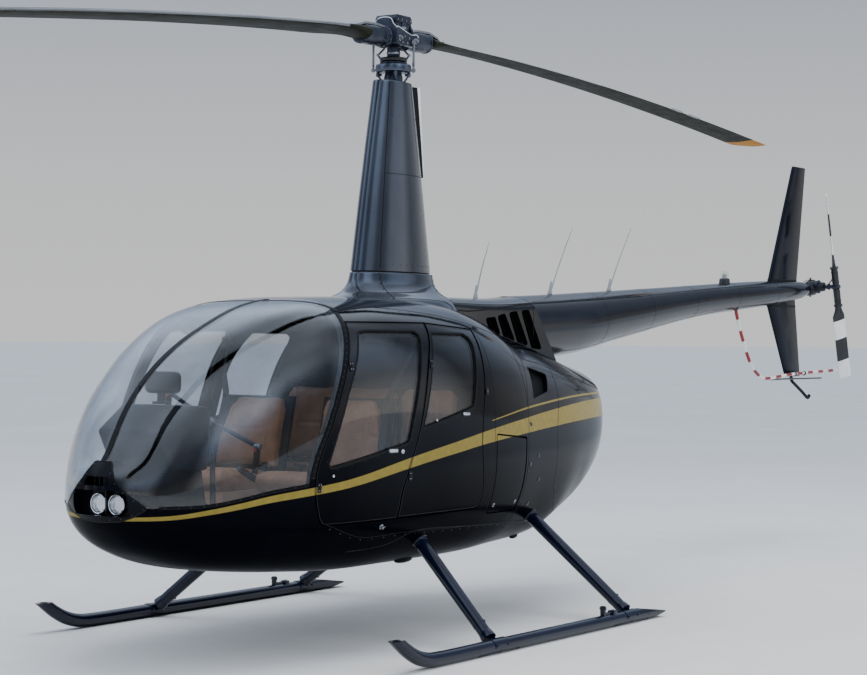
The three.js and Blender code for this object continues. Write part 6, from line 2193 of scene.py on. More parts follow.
# ------------------------------------------------------------------ padded cushions
def puff(me, cap, voxel, pressure=4.0):
    """Swells a closed form as filled leather: cloth with air pressure, then a limit on the movement."""
    o_ = bpy.data.objects.new("pad", me)
    COL.objects.link(o_)
    r = o_.modifiers.new("r", "REMESH")
    r.mode, r.voxel_size = "VOXEL", voxel / 1000
    sm = o_.modifiers.new("s", "SMOOTH")
    sm.factor, sm.iterations = 0.5, 6
    dg = bpy.context.evaluated_depsgraph_get()
    dg.update()
    base = bpy.data.meshes.new_from_object(o_.evaluated_get(dg))
    bpy.data.objects.remove(o_)
    n = len(base.vertices)
    c0 = np.zeros(n * 3)
    base.vertices.foreach_get("co", c0)
    c0 = c0.reshape(-1, 3)
    o_ = bpy.data.objects.new("pad", base)
    COL.objects.link(o_)
    c = o_.modifiers.new("c", "CLOTH")
    s_ = c.settings
    s_.quality = 4
    s_.mass = 0.35
    s_.tension_stiffness = s_.compression_stiffness = 22
    s_.shear_stiffness = 9
    s_.bending_stiffness = 1.4
    s_.use_pressure = True
    s_.uniform_pressure_force = pressure
    s_.effector_weights.gravity = 0.0
    c.collision_settings.use_collision = False
    c.collision_settings.use_self_collision = False
    for fr in range(1, 21):
        SCENE.frame_set(fr)
    dg = bpy.context.evaluated_depsgraph_get()
    ev = o_.evaluated_get(dg).to_mesh()
    c1 = np.zeros(n * 3)
    ev.vertices.foreach_get("co", c1)
    c1 = c1.reshape(-1, 3)
    bpy.data.objects.remove(o_)
    SCENE.frame_set(1)
    d = c1 - c0
    L = np.linalg.norm(d, axis=1, keepdims=True)
    lim = cap / 1000
    d = d * np.where(L > 1e-9, np.minimum(L, lim * (1 - np.exp(-L / lim * 1.3))) / np.maximum(L, 1e-9), 1)
    c1 = c0 + d
    return base, c1


def grooves(base, c, lines, front, depth=6.0, width=8.0):
    """Presses sewn channels into the face that looks along front. Lines are in table coordinates."""
    me = base
    me.vertices.foreach_set("co", c.ravel().astype(np.float32))
    me.update()
    n = len(me.vertices)
    nr = np.zeros(n * 3)
    me.vertices.foreach_get("normal", nr)
    nr = nr.reshape(-1, 3)
    p = c * 1000 - SH
    f = unit(np.asarray(front, float))
    face = np.clip(((nr * f).sum(1) - 0.25) / 0.3, 0, 1)
    k = np.zeros(n)
    for line in lines:
        L = resample(np.asarray(line, float), 6.0, False)
        q = p - np.outer((p * f).sum(1), f)
        Lq = L - np.outer((L * f).sum(1), f)
        best = np.full(n, 1e9)
        for a in range(0, len(Lq), 60):
            dd = np.linalg.norm(q[:, None] - Lq[None, a:a + 60], axis=2).min(1)
            best = np.minimum(best, dd)
        k = np.maximum(k, np.exp(-(best / width) ** 2))
    c2 = c - nr * (k * face * depth / 1000)[:, None]
    me.vertices.foreach_set("co", c2.ravel().astype(np.float32))
    me.update()
    return c2


def stitches(kit, me, lines, front, mi=0, off=5.0, gap=9.0, length=6.0, r=0.9):
    """Short thread stitches either side of a sewn channel, dropped onto the mesh along -front."""
    from mathutils.bvhtree import BVHTree
    co = np.zeros(len(me.vertices) * 3)
    me.vertices.foreach_get("co", co)
    co = co.reshape(-1, 3) * 1000 - SH
    bv = BVHTree.FromPolygons([Vector(v) for v in co], [tuple(p_.vertices) for p_ in me.polygons])
    f = unit(np.asarray(front, float))
    for line in lines:
        L = spaced(resample(np.asarray(line, float), 5.0, False), gap)
        T = unit(np.gradient(L, axis=0))
        B = unit(np.cross(T, f))
        for sd in (-1, 1):
            for p_, t_, b_ in zip(L, T, B):
                q0, q1 = p_ + b_ * sd * off - t_ * length / 2, p_ + b_ * sd * off + t_ * length / 2
                hits = [bv.ray_cast(Vector(q + f * 160), Vector(-f)) for q in (q0, (q0 + q1) / 2, q1)]
                if any(h[0] is None for h in hits):
                    continue
                pts = [np.array(h[0]) + np.array(h[1]) * (0.4 if i != 1 else 1.1) for i, h in enumerate(hits)]
                if np.linalg.norm(pts[0] - pts[2]) > length * 1.8:
                    continue
                kit.add(*tube(pts, [r * 0.6, r, r * 0.6], 6), mi)


def cushion(name, outline, y0, y1, cap, voxel, front, lines, body="airframe", node=None, round_yz=None, copies=(), seat_t=36.0):
    """A padded block with an x-z outline between two widths; copies are (name, transform) pairs."""
    me = prism(outline, y0, y1)
    if round_yz is not None:
        me = both_of(me, prism(round_yz, -4000, 4000, "x"))
    me = eased(me, 16, 3)
    base, c = puff(me, cap, voxel)
    c = grooves(base, c, lines, front)
    kit = Kit()
    stitches(kit, base, lines, front)
    made = []
    thread = None
    if kit.n:
        thread = (np.vstack(kit.v), list(kit.f))
    for nm, fn in ((name, None), *copies):
        m = base.copy()
        cc = c * 1000 - SH
        flipf = False
        if fn is not None:
            cc, flipf = fn(cc)
        m.vertices.foreach_set("co", row(cc).ravel().astype(np.float32))
        if flipf:
            m.flip_normals()
        m.update()
        o_ = place(nm, m, [LEATHER], body, "seat_leather")
        made.append(o_)
        if thread is not None:
            tc_, ff = thread[0], thread[1]
            if fn is not None:
                tc_, fl = fn(tc_)
                ff = flip(ff) if fl else ff
            build(nm + "_stitching", tc_, ff, [THREAD], body, "seat_leather", 50)
    bpy.data.meshes.remove(base)
    return made


def over(cc):
    return cc * [1, -1, 1], True


def shift(dy):
    return lambda cc: (cc + [0, dy, 0], False)


VOX = 7.0
VOXR = 9.0
ym = 342.5
# front seats: cushion, back
C_OUT = [[937, 812], [1370, 812], [1398, 872], [1388, 905], [1360, 918], [1150, 900], [960, 888], [934, 878]]
lines_c = [[[1000, ym - 130, 900], [1372, ym - 130, 915]], [[1000, ym + 130, 900], [1372, ym + 130, 915]], [[1150, ym - 130, 900], [1150, ym + 130, 900]]]
cs = cushion("front_cushion_left", C_OUT, 108, 577, 19, VOX, (-0.1, 0, 1), lines_c, round_yz=None, copies=(("front_cushion_right", over),))
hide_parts("seat_left")
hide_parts("seat_right")
B_OUT = [[868, 905], [912, 905], [902, 985], [826, 1290], [812, 1300], [784, 1300], [772, 1288], [782, 1230], [850, 940]]
rnd = rounded([[130, 895], [562, 895], [552, 1110], [500, 1250], [446, 1300], [210, 1303], [160, 1296], [134, 1225]], 34, 5)
lines_b = [[[905, ym - 128, 930], [822, ym - 118, 1262]], [[905, ym + 128, 930], [822, ym + 118, 1262]],
           [[860, ym - 122, 1115], [860, ym + 122, 1115]]]
cushion("front_back_left", B_OUT, 108, 577, 19, VOX, (0.97, 0, 0.24), lines_b, round_yz=rnd, copies=(("front_back_right", over),))
# rear bench: three places
R_OUT = [[268, 812], [540, 812], [564, 880], [548, 908], [400, 896], [262, 884]]
lines_r = [[[300, -90, 900], [548, -90, 905]], [[300, 90, 900], [548, 90, 905]]]
cs = cushion("rear_cushion_middle", R_OUT, -190, 190, 17, VOXR, (0, 0, 1), lines_r, copies=(("rear_cushion_left", shift(398)), ("rear_cushion_right", shift(-398))))
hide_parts("rear_bench")
K_OUT = [[166, 912], [236, 912], [224, 1336], [212, 1348], [172, 1348], [162, 1338]]
rnd = rounded([[-188, 905], [188, 905], [186, 1300], [140, 1350], [-140, 1350], [-186, 1300]], 30, 5)
lines_k = [[[230, -95, 940], [222, -88, 1310]], [[230, 95, 940], [222, 88, 1310]], [[226, -92, 1130], [226, 92, 1130]]]
cushion("rear_back_middle", K_OUT, -190, 190, 17, VOXR, (1, 0, 0), lines_k, round_yz=rnd, copies=(("rear_back_left", shift(398)), ("rear_back_right", shift(-398))))

# seat bases and back shells
for s, tag in ((1, "left"), (-1, "right")):
    y0, y1 = (97, 588) if s > 0 else (-588, -97)
    me = inside_of(prism([[885, FLOOR_Z + 1], [1378, FLOOR_Z + 1], [1384, 806], [885, 806]], y0, y1))
    place(f"seat_box_{tag}", eased(me, 9, 3), [LEATHER], "airframe", "seat_leather", 40)
    me = inside_of(prism([[858, 806], [880, 806], [868, 900], [776, 1292], [762, 1300], [752, 1296], [750, 1286], [842, 896]], y0 + 6, y1 - 6))
    place(f"seat_shell_{tag}", eased(me, 4, 2), [TRIM], "airframe", "dark_trim", 40)
me = inside_of(prism([[170, FLOOR_Z + 1], [548, FLOOR_Z + 1], [552, 808], [170, 808]], -606, 606))
place("bench_box", eased(me, 9, 3), [LINER], "airframe", "dark_trim", 40)
me = inside_of(prism([[36, 810], [158, 810], [150, 1362], [36, 1366]], -606, 606))
place("bench_back_shell", eased(me, 9, 3), [LINER], "airframe", "dark_trim", 40)

# ------------------------------------------------------------------ belts
k = Kit()


def strap(kit, pts, nrm, w, mi=0, t=1.6):
    P = resample(np.asarray(pts, float), 14)
    s0 = np.linspace(0, 1, len(nrm))
    q = np.linspace(0, 1, len(P))
    Nn = unit(np.stack([np.interp(q, s0, np.asarray(nrm, float)[:, i]) for i in range(3)], -1))
    kit.add(*band(P, Nn, w, t, t * 0.6, crown=0.25), mi)


for s in (1, -1):
    yy = lambda v: s * v
    # lap part across the cushion, with the buckle end in the middle of the cabin
    strap(k, [[935, yy(584), 850], [985, yy(560), 925], [1050, yy(470), 938], [1085, yy(360), 936], [1060, yy(235), 938], [1005, yy(130), 932]],
          [[0, 1, .6], [0, .4, 1], [0, 0, 1], [0, 0, 1], [0, 0, 1], [0, -.3, 1]], 47)
    # shoulder part up the back to the post
    strap(k, [[935, yy(586), 852], [905, yy(575), 960], [858, yy(560), 1140], [812, yy(556), 1290], [770, yy(600), 1420], [700, yy(640), 1560]],
          [[1, .6, 0], [1, .3, .1], [1, 0, .2], [1, 0, .2], [1, -.4, 0], [.9, -.6, 0]], 46)
    co, f = slab([-32, -15, -8], [32, 15, 8], 5, 3)
    k.add(xform(co, [1002, yy(122), 938], unit([.6, -.5 * s, .1]), unit([.5 * s, .6, 0]), [0, 0, 1]), f, 1)
    co, f = slab([-10, -9, 7], [10, 9, 10.4], 2, 2)
    k.add(xform(co, [1014, yy(112), 938], unit([.6, -.5 * s, .1]), unit([.5 * s, .6, 0]), [0, 0, 1]), f, 2)
    k.add(*tube([[960, yy(100), 812], [972, yy(106), 870], [992, yy(118), 930]], 7, 12, 12), 1)
    # reel housing and guide on the post
    co, f = slab([-26, -14, -34], [26, 14, 34], 7, 3)
    k.add(co + np.array([698, s * 650, 1588]), f, 1)
    co, f = slab([-22, -5, -8], [22, 5, 8], 3, 3)
    k.add(co + np.array([806, s * 560, 1296]), f, 1)
for y in (-398, 0, 398):
    strap(k, [[250, y - 190, 860], [285, y - 165, 915], [320, y - 60, 922], [318, y + 70, 922], [285, y + 165, 915], [250, y + 190, 862]],
          [[0, -1, .6], [0, -.3, 1], [0, 0, 1], [0, 0, 1], [0, .3, 1], [0, 1, .6]], 46)
    co, f = slab([-26, -30, -8], [26, 30, 8], 5, 3)
    k.add(co + np.array([322, y + 8, 926]), f, 1)
    co, f = slab([-9, -9, 7], [9, 9, 10.4], 2, 2)
    k.add(co + np.array([322, y + 24, 926]), f, 2)
k.make("seat_belts", [WEBBING, TRIM, REDKNOB], "airframe", "dark_trim", 40)

# ------------------------------------------------------------------ console, dials, controls
ped = inside_of(prism(rounded([[1660, 566], [2050, 566], [2150, 760], [2130, 1010], [1840, 1010], [1800, 800], [1660, 700]], 20, 3), -148, 148), 34)
o = place("console_pedestal", eased(ped, 14, 3, 40), [LINER], "airframe", "dark_trim", 40)
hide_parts("console")
hood = inside_of(prism(rounded([[1850, 960], [2120, 960], [2225, 1160], [2045, 1285], [1870, 1280], [1830, 1262]], 22, 4), -203, 203), 34)
place("console_hood", eased(hood, 26, 4, 40), [TRIM], "airframe", "dark_trim", 40)
k = Kit()
# instrument face, leaning forward at the top, with bezels, needles and screws
F0, F1 = np.array([1849.0, 0, 985]), np.array([1829.5, 0, 1252])
up = unit(F1 - F0)
fn_ = unit(np.cross([0, 1.0, 0], up)) * -1
if fn_[0] > 0:
    fn_ = -fn_
co, f = slab([-188, 6, 0], [188, 258, 5], 3.5, 3)
k.add(xform(co, F0 + fn_ * 0.5, [0, 1, 0], up, fn_), f, 0)


def dial(y, h, r, marks=12, hand=0.7, square=False):
    c = F0 + up * h + np.array([0, y, 0]) + fn_ * 5
    if square:
        co_, f_ = slab([-r, -r * 0.72, 0], [r, r * 0.72, 6], 3, 3)
        k.add(xform(co_, c, [0, 1, 0], up, fn_), f_, 2)
        co_, f_ = slab([-r * 0.86, -r * 0.58, 5], [r * 0.86, r * 0.58, 7], 1, 2)
        k.add(xform(co_, c, [0, 1, 0], up, fn_), f_, 3)
        return
    k.add(*turned([(r, -2), (r, 5), (r * 0.93, 8), (r * 0.84, 7), (r * 0.82, 3.2)], c, fn_, 32), 2)
    k.add(*turned([(r * 0.83, 2), (r * 0.83, 3.6)], c, fn_, 32), 3)
    V_ = np.array([0, 1.0, 0])
    for j in range(marks):
        a = (j / marks) * 2 * math.pi
        d = V_ * math.cos(a) + up * math.sin(a)
        b = V_ * -math.sin(a) + up * math.cos(a)
        co_, f_ = slab([r * 0.62, -0.7, 3.4], [r * 0.77, 0.7, 4.2], 0.3, 1)
        k.add(xform(co_, c, d, b, fn_), f_, 4)
    d = V_ * math.cos(hand) + up * math.sin(hand)
    b = V_ * -math.sin(hand) + up * math.cos(hand)
    co_, f_ = slab([-r * 0.16, -1.0, 4.4], [r * 0.66, 1.0, 5.4], 0.5, 1)
    k.add(xform(co_, c, d, b, fn_), f_, 4)
    k.add(*turned([(3.4, 4), (3.4, 6.4), (2.4, 7)], c, fn_, 14), 2)


for y, h, r, a in ((-138, 212, 38, 1.9), (-46, 212, 38, .4), (46, 212, 38, 2.6), (138, 212, 38, 1.2), (-138, 122, 38, .9), (-46, 122, 38, 3.6), (46, 122, 38, 5.0), (138, 122, 38, 2.1)):
    dial(y, h, r, 12, a)
for y, a in ((-150, .8), (-100, 1.6), (-50, 2.2), (0, .9), (50, 1.1), (100, 2.9), (150, 1.5)):
    dial(y, 50, 20, 8, a)
for y in (-178, 178):
    for h in (18, 132, 248):
        k.add(*turned([(4.2, 0), (4.2, 2.4), (3.2, 3.2)], F0 + up * h + np.array([0, y, 0]) + fn_ * 5, fn_, 12), 1)
# stack of avionics with knobs on the sloping face of the pedestal
G0, G1 = np.array([1806.0, 0, 812]), np.array([1842.0, 0, 985])
up2 = unit(G1 - G0)
fn2 = unit(np.array([-up2[2], 0, up2[0]]))
for j in range(3):
    co, f = slab([-112, 4 + j * 56, -1], [112, 56 + j * 56, 7], 4, 3)
    k.add(xform(co, G0, [0, 1, 0], up2, fn2), f, 2)
    co, f = slab([-64, 14 + j * 56, 6], [64, 46 + j * 56, 8.4], 2, 2)
    k.add(xform(co, G0, [0, 1, 0], up2, fn2), f, 3)
    for y in (-92, 92):
        c = G0 + up2 * (30 + j * 56) + np.array([0, y, 0]) + fn2 * 6
        k.add(*turned([(11, 0), (11, 9), (9.5, 11)], c, fn2, 20), 0)
        k.add(*turned([(6, 10), (6, 18), (5, 19)], c, fn2, 18), 1)
    for y in np.linspace(-48, 48, 5):
        co, f = slab([y - 5, 6.5 + j * 56, 6], [y + 5, 11.5 + j * 56, 9], 1, 2)
        k.add(xform(co, G0, [0, 1, 0], up2, fn2), f, 1)
G0, G1 = np.array([1668.0, 0, 706]), np.array([1796.0, 0, 798])
up3 = unit(G1 - G0)
fn3 = unit(np.array([-up3[2], 0, up3[0]]))
for j in range(2):
    for i in range(6):
        c = G0 + up3 * (40 + j * 62) + np.array([0, -105 + i * 42, 0]) + fn3 * 0.5
        k.add(*turned([(7, 0), (7, 3), (5.6, 4.4)], c, fn3, 16), 1)
        k.add(*tube([c + fn3 * 3, c + fn3 * 14 + up3 * 5], [2.2, 3.2], 10, round_ends=0.8), 1)
k.make("instrument_panel", [TRIM, METAL, TBLACK, DIAL, DIALMARK], "airframe", "dark_trim", 40)
# rounded display pod on top of the hood, on a short neck
k = Kit()
co, f = slab([1948, -38, 1288], [2006, 38, 1301], 6, 3)
k.add(co, f, 0)
co, f = slab([1962, -20, 1298], [1990, 20, 1352], 8, 3)
k.add(co, f, 0)
co, f = slab([1930, -106, 1340], [2000, 106, 1450], 30, 6)
k.add(co, f, 0)
co, f = slab([1925.5, -78, 1362], [1933, 78, 1430], 3, 3)
k.add(co, f, 1)
for y_ in (-48, -16, 16, 48):
    k.add(*turned([(5.5, 0), (5.5, 4), (4.4, 5)], (1930.5, y_, 1351.0), (-1, 0, 0), 14), 0)
k.make("display_pod", [TRIM, DIAL], "airframe", "dark_trim", 40)

# centre stick with the hinged cross bar and two grips
k = Kit()
k.add(*turned([(48, 566), (46, 574), (32, 588), (24, 600), (22, 612)], (1572, 0, 0), (0, 0, 1), 32), 3)
k.add(*tube([[1572, 0, 600], [1576, 0, 760], [1580, 0, 900], [1588, 0, 1178]], [16.6, 15.6, 14.6, 13.6], 24, 24), 0)
k.add(*turned([(20, -22), (23, -18), (23, 18), (20, 22)], (1588, 0, 1190), (1, 0, 0), 28), 1)
k.add(*tube([[1581, -296, 1331], [1588, 0, 1190], [1581, 296, 1069]], 11.2, 20, 30), 0)
for s, (g0, g1, e) in ((1, ((1580, 297, 1080), (1570, 269, 935), (1581, 297, 1069))), (-1, ((1580, -297, 1342), (1570, -317, 1200), (1581, -297, 1331)))):
    g0, g1 = np.array(g0, float), np.array(g1, float)
    k.add(*turned([(15, -18), (17.5, -14), (17.5, 14), (15, 18)], e, (0, 1, 0), 24), 1)
    L = np.linalg.norm(g1 - g0)
    d = (g1 - g0) / L
    rr, pts = [], []
    for t in np.linspace(0.10, 1.0, 46):
        pts.append(g0 + d * L * t)
        rr.append(16.2 + 1.0 * math.cos(t * 2 * math.pi * 9) - 1.6 * max(0, t - .9) * 10)
    k.add(*tube(pts, rr, 24), 3)
    k.add(*turned([(12.5, 0), (17.5, 2), (17.5, 12), (15, 16)], g0 + d * 4, d, 24), 1)
    k.add(*turned([(7.5, 0), (7.5, 5.5), (6.4, 8), (3, 9)], g0 + d * 22 + np.array([-15, 0, 0]), (-1, 0, 0), 20), 2)
    k.add(*turned([(6.4, 0), (6.4, 4.5), (5.4, 7), (2.4, 8)], g0 + d * 30 + np.array([15.4, 0, 2]), (1, 0, 0.1), 20), 2)
o = k.make("centre_stick", [DARKMETAL, METAL, REDKNOB, RUBBER], "airframe", "dark_trim", 40)
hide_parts("cyclic")
# pedals, and the lever between the seats
k = Kit()
for yc in (-345, 345):
    for dy in (-78, 78):
        y = yc + dy
        k.add(*tube([[1830, y, 570], [1842, y, 640], [1838, y, 690]], 9, 14, 16), 0)
        co, f = slab([-7, -40, -58], [7, 40, 58], 6, 3)
        X = unit([0.93, 0, 0.36])
        Z = unit([-0.36, 0, 0.93])
        k.add(xform(co, [1832, y, 735], X, [0, 1, 0], Z), f, 1)
        for j in range(5):
            co, f = slab([-10, -34, -44 + j * 20], [-6, 34, -36 + j * 20], 1.5, 2)
            k.add(xform(co, [1832, y, 735], X, [0, 1, 0], Z), f, 2)
    k.add(*tube([[1828, yc - 110, 582], [1828, yc + 110, 582]], 13, 18), 0)
for y in (58,):
    k.add(*tube([[905, y, 640], [980, y, 720], [1240, y, 850], [1300, y, 878]], [14, 13, 12, 12], 20, 20), 0)
    pts = [np.array([1290, y, 872.0]) + unit(np.array([.9, 0, .43])) * v for v in np.linspace(0, 150, 36)]
    k.add(*tube(pts, [17 + 1.0 * math.cos(i * 1.2) for i in range(36)], 22), 2)
    k.add(*turned([(14, 0), (14, 14), (11, 18)], pts[-1], (0.9, 0, 0.43), 24), 1)
k.make("pedals_and_lever", [METAL, DARKMETAL, RUBBER], "airframe", "bare_metal", 40)
# tunnel between the seats, floor mats and overhead panel
me = inside_of(prism(rounded([[640, 566], [1560, 566], [1500, 640], [640, 690]], 14, 3), -84, 84))
place("centre_tunnel", eased(me, 10, 3), [CARPET], "airframe", "dark_trim", 40)
k = Kit()
for s in (1, -1):
    co, f = slab([1420, min(s * 170, s * 470), 565.5], [1800, max(s * 170, s * 470), 572], 3, 2)
    k.add(co, f, 0)
    co, f = slab([580, min(s * 110, s * 560), 565.5], [760, max(s * 110, s * 560), 572], 3, 2)
    k.add(co, f, 0)
k.make("floor_mats", [RUBBER], "airframe", "dark_trim", 40)
k = Kit()
for y in (-44, 44):
    k.add(*turned([(21, 0), (23, 3), (23, 9), (19, 14), (15, 12)], (880, y, 1812), (0, 0, -1), 26), 0)
co, f = slab([800, -84, 1794], [980, 84, 1816], 8, 3)
k.add(co, f, 0)
for j in range(3):
    for y in (-50, 0, 50):
        k.add(*turned([(6, 0), (6, 4), (4.8, 6)], (830 + j * 16, y, 1795), (0, 0, -1), 14), 1)
for s in (1, -1):
    # two hooks; grab handle above each front door
    A = [on_side(1180, 1672, s, 36)[0], on_side(1165, 1648, s, 60)[0], on_side(1040, 1648, s, 60)[0], on_side(1025, 1672, s, 36)[0]]
    k.add(*tube(A, 7.5, 14, 14), 0)
k.make("overhead_fittings", [TRIM, METAL], "airframe", "dark_trim", 40)

# ------------------------------------------------------------------ kept frame nodes get their own finish
for node, mat in (("rear_bulkhead", LINER), ("engine_block", CASTING), ("rotor_gearbox", CASTING)):
    ob = bpy.data.objects.get(node)
    if ob is not None:
        if not ob.material_slots:
            ob.data.materials.append(mat)
        for s_ in ob.material_slots:
            s_.material = mat


# ------------------------------------------------------------------ door hardware
def side_frame(x, z, s, t=0.0):
    """Point of the skin with its outward normal and the fore and up directions along it."""
    P = on_side(x, z, s, t)[0]
    n = grad(P[None], t)[0]
    X = unit(np.array([1.0, 0, 0]) - n * n[0])
    Z = unit(np.array([0, 0, 1.0]) - n * n[2] - X * X[2])
    return P, X, Z, n


def hinge_block(kit, x, z, s, mi=0, mb=1, L=26.0, W=13.0):
    P, X, Z, n = side_frame(x, z, s)
    Yl = np.cross(Z, n)
    co_, f_ = slab([-W, -L, -1.5], [W, L, 6.0], 3.2, 3)
    kit.add(xform(co_, P, Yl, Z, n), f_, mi)
    kit.add(*tube([P + n * 6 - Z * L * 0.92, P + n * 6 + Z * L * 0.92], 4.6, 14), mi)
    for a in (-0.55, 0.55):
        for b in (-0.58, 0.58):
            kit.add(*turned([(3.4, 0), (3.4, 1.6), (2.4, 2.6)], P + Yl * W * a + Z * L * b + n * 5.6, n, 8), mb)


def offset_line(poly, t):
    """Closed outline moved outward by t."""
    P = np.asarray(poly, float)
    T = unit(np.roll(P, -1, 0) - np.roll(P, 1, 0))
    Nn = np.stack([T[:, 1], -T[:, 0]], -1)
    a = 0.5 * np.sum(P[:, 0] * np.roll(P[:, 1], -1) - np.roll(P[:, 0], -1) * P[:, 1])
    return P + Nn * t * (1 if a > 0 else -1)


for nm, door, win in (("front", front_door, WIN_FRONT), ("rear", rear_door, WIN_REAR)):
    for s, tag in ((1, "left"), (-1, "right")):
        body = f"door_{nm}_{tag}"
        # rubber edge around the glass, and a line of small fasteners beside it
        ring = rounded(win, 40, 8)
        ring = np.vstack([ring, ring[:1]])
        dense = resample(ring, 14, False)[:-1]
        P = on_side(dense[:, 0], dense[:, 1], s)
        k = Kit()
        k.add(*band(P, grad(P), 10.0, 1.2, 7.0, closed=True), 0)
        inner = offset_line(dense, -9)
        Q = on_side(inner[:, 0], inner[:, 1], s, 8.0)
        k.add(*band(Q, grad(Q, 8.0), 6.0, 1.8, 1.0, closed=True), 0)
        k.make(f"{nm}_window_seal_{tag}", [RUBBER], body, "dark_trim", 50)
        k = Kit()
        outer = offset_line(dense, 13)
        for p in spaced(np.vstack([outer, outer[:1]])[:, [0, 1, 1]] * [1, 1, 0], 104, 20):
            q, X, Z, n = side_frame(p[0], p[1], s)
            k.add(*stud(q, n, 2.6, 0.7, 8), 0)
        # edge trim line of the door: a thin dark bead just inside the gap
        edge = resample(np.vstack([door(0), door(0)[:1]]), 16, False)[:-1]
        e2 = offset_line(edge, -4.0)
        E = on_side(e2[:, 0], e2[:, 1], s)
        k.add(*band(E, grad(E), 3.2, 0.8, 1.2, closed=True), 1)
        if nm == "front":
            hx, hz = 1032, 1043
            # flush latch with a bright paddle, and a key lock
            q, X, Z, n = side_frame(hx, hz, s)
            co_, f_ = slab([-44, -15, -1.5], [44, 15, 3.6], 5, 4)
            k.add(xform(co_, q, X, Z, n), f_, 1)
            co_, f_ = slab([-36, -9, 3], [20, 9, 10], 3.4, 4)
            k.add(xform(co_, q, X, Z, n), f_, 2)
            k.add(*turned([(9.5, 2), (9.5, 11), (8, 13)], q + X * 28, n, 24), 2)
            q, X, Z, n = side_frame(944, 1035, s)
            k.add(*turned([(12, -1), (12, 3), (10, 5.4), (9, 4.8)], q, n, 26), 2)
            co_, f_ = slab([-5.6, -1.0, 4.4], [5.6, 1.0, 6.0], 0.6, 1)
            k.add(xform(co_, q, X, Z, n), f_, 1)
            # small fresh-air door ring low on the window
            q, X, Z, n = side_frame(1490, 935, s)
            k.add(*turned([(7, -1), (7, 3), (5, 4.4)], q, n, 16), 2)
        else:
            q, X, Z, n = side_frame(341, 1214, s)
            co_, f_ = slab([-40, -14, -1.5], [40, 14, 3.6], 5, 4)
            k.add(xform(co_, q, X, Z, n), f_, 1)
            co_, f_ = slab([-32, -8, 3], [18, 8, 9.6], 3.2, 4)
            k.add(xform(co_, q, X, Z, n), f_, 2)
            k.add(*turned([(8.5, 2), (8.5, 10), (7, 12)], q + X * 26, n, 24), 2)
            q, X, Z, n = side_frame(628, 1189, s)
            k.add(*turned([(7, -1), (7, 3), (5, 4.4)], q, n, 16), 2)
        k.make(f"{nm}_door_trim_{tag}", [DARKMETAL, TRIM, CHROME], body, "dark_trim", 40)
        # inner side: arm rest with pull, pocket and a leather panel
        k = Kit()
        if nm == "front":
            x0, x1, z0, z1 = 990, 1440, 770, 850
        else:
            x0, x1, z0, z1 = 260, 700, 770, 860
        P0 = on_side((x0 + x1) / 2, (z0 + z1) / 2, s, 24)[0]
        near = min(abs(on_side(a, b, s, 30)[0][1]) for a in (x0, (x0 + x1) / 2, x1) for b in (z0, (z0 + z1) / 2, z1))
        P0 = np.array([P0[0], s * near, P0[2]])
        co_, f_ = slab([x0, min(s * (near - 22), s * near), z0], [x1, max(s * (near - 22), s * near), z1], 8, 4)
        k.add(co_, f_, 0)
        for hx in (x0 + 60, x1 - 60):
            k.add(*turned([(5, 0), (5, 5), (4, 6)], (hx, P0[1] - s * 21, z1 - 18), (0, -s, 0), 14), 1)
        k.make(f"{nm}_door_pocket_{tag}", [LEATHER, METAL], body, "seat_leather", 40)
        # hinges sit on the door's own front edge
        k = Kit()
        pts = ((1344, 1478), (1603, 880)) if nm == "front" else ((676, 1487), (876, 905))
        for x, z in pts:
            edge_x = float(np.interp(z, curve_xz(POST if nm == "front" else SPLIT, 700, 1690, 60)[::-1][:, 1], curve_xz(POST if nm == "front" else SPLIT, 700, 1690, 60)[::-1][:, 0]))
            hinge_block(k, edge_x - (38 if nm == "front" else 24), z, s, 0, 1, 24, 12)
        k.make(f"{nm}_door_hinges_{tag}", [TRIM, METAL], body, "dark_trim", 40)
# small catch behind the rear door, and quarter-turn latches of the locker
k = Kit()
for s in (1, -1):
    q, X, Z, n = side_frame(96, 1332, s)
    co_, f_ = slab([-14, -20, -1.2], [14, 20, 6], 3, 3)
    k.add(xform(co_, q, X, Z, n), f_, 0)
    k.add(*turned([(4, 5), (4, 8), (3, 9)], q, n, 10), 1)
k.make("door_catches", [TRIM, METAL], "airframe", "dark_trim", 40)
k = Kit()
for x, z in ((-60, 690), (-350, 690)):
    q, X, Z, n = side_frame(x, z, 1)
    k.add(*turned([(13, -1), (13, 1.6), (11.5, 2.6)], q, n, 26), 1)
    co_, f_ = slab([-9, -2.2, 2], [9, 2.2, 4.2], 1, 2)
    k.add(xform(co_, q, X, Z, n), f_, 0)
k.make("locker_latches", [TRIM, METAL], "locker_lid", "dark_trim", 40)


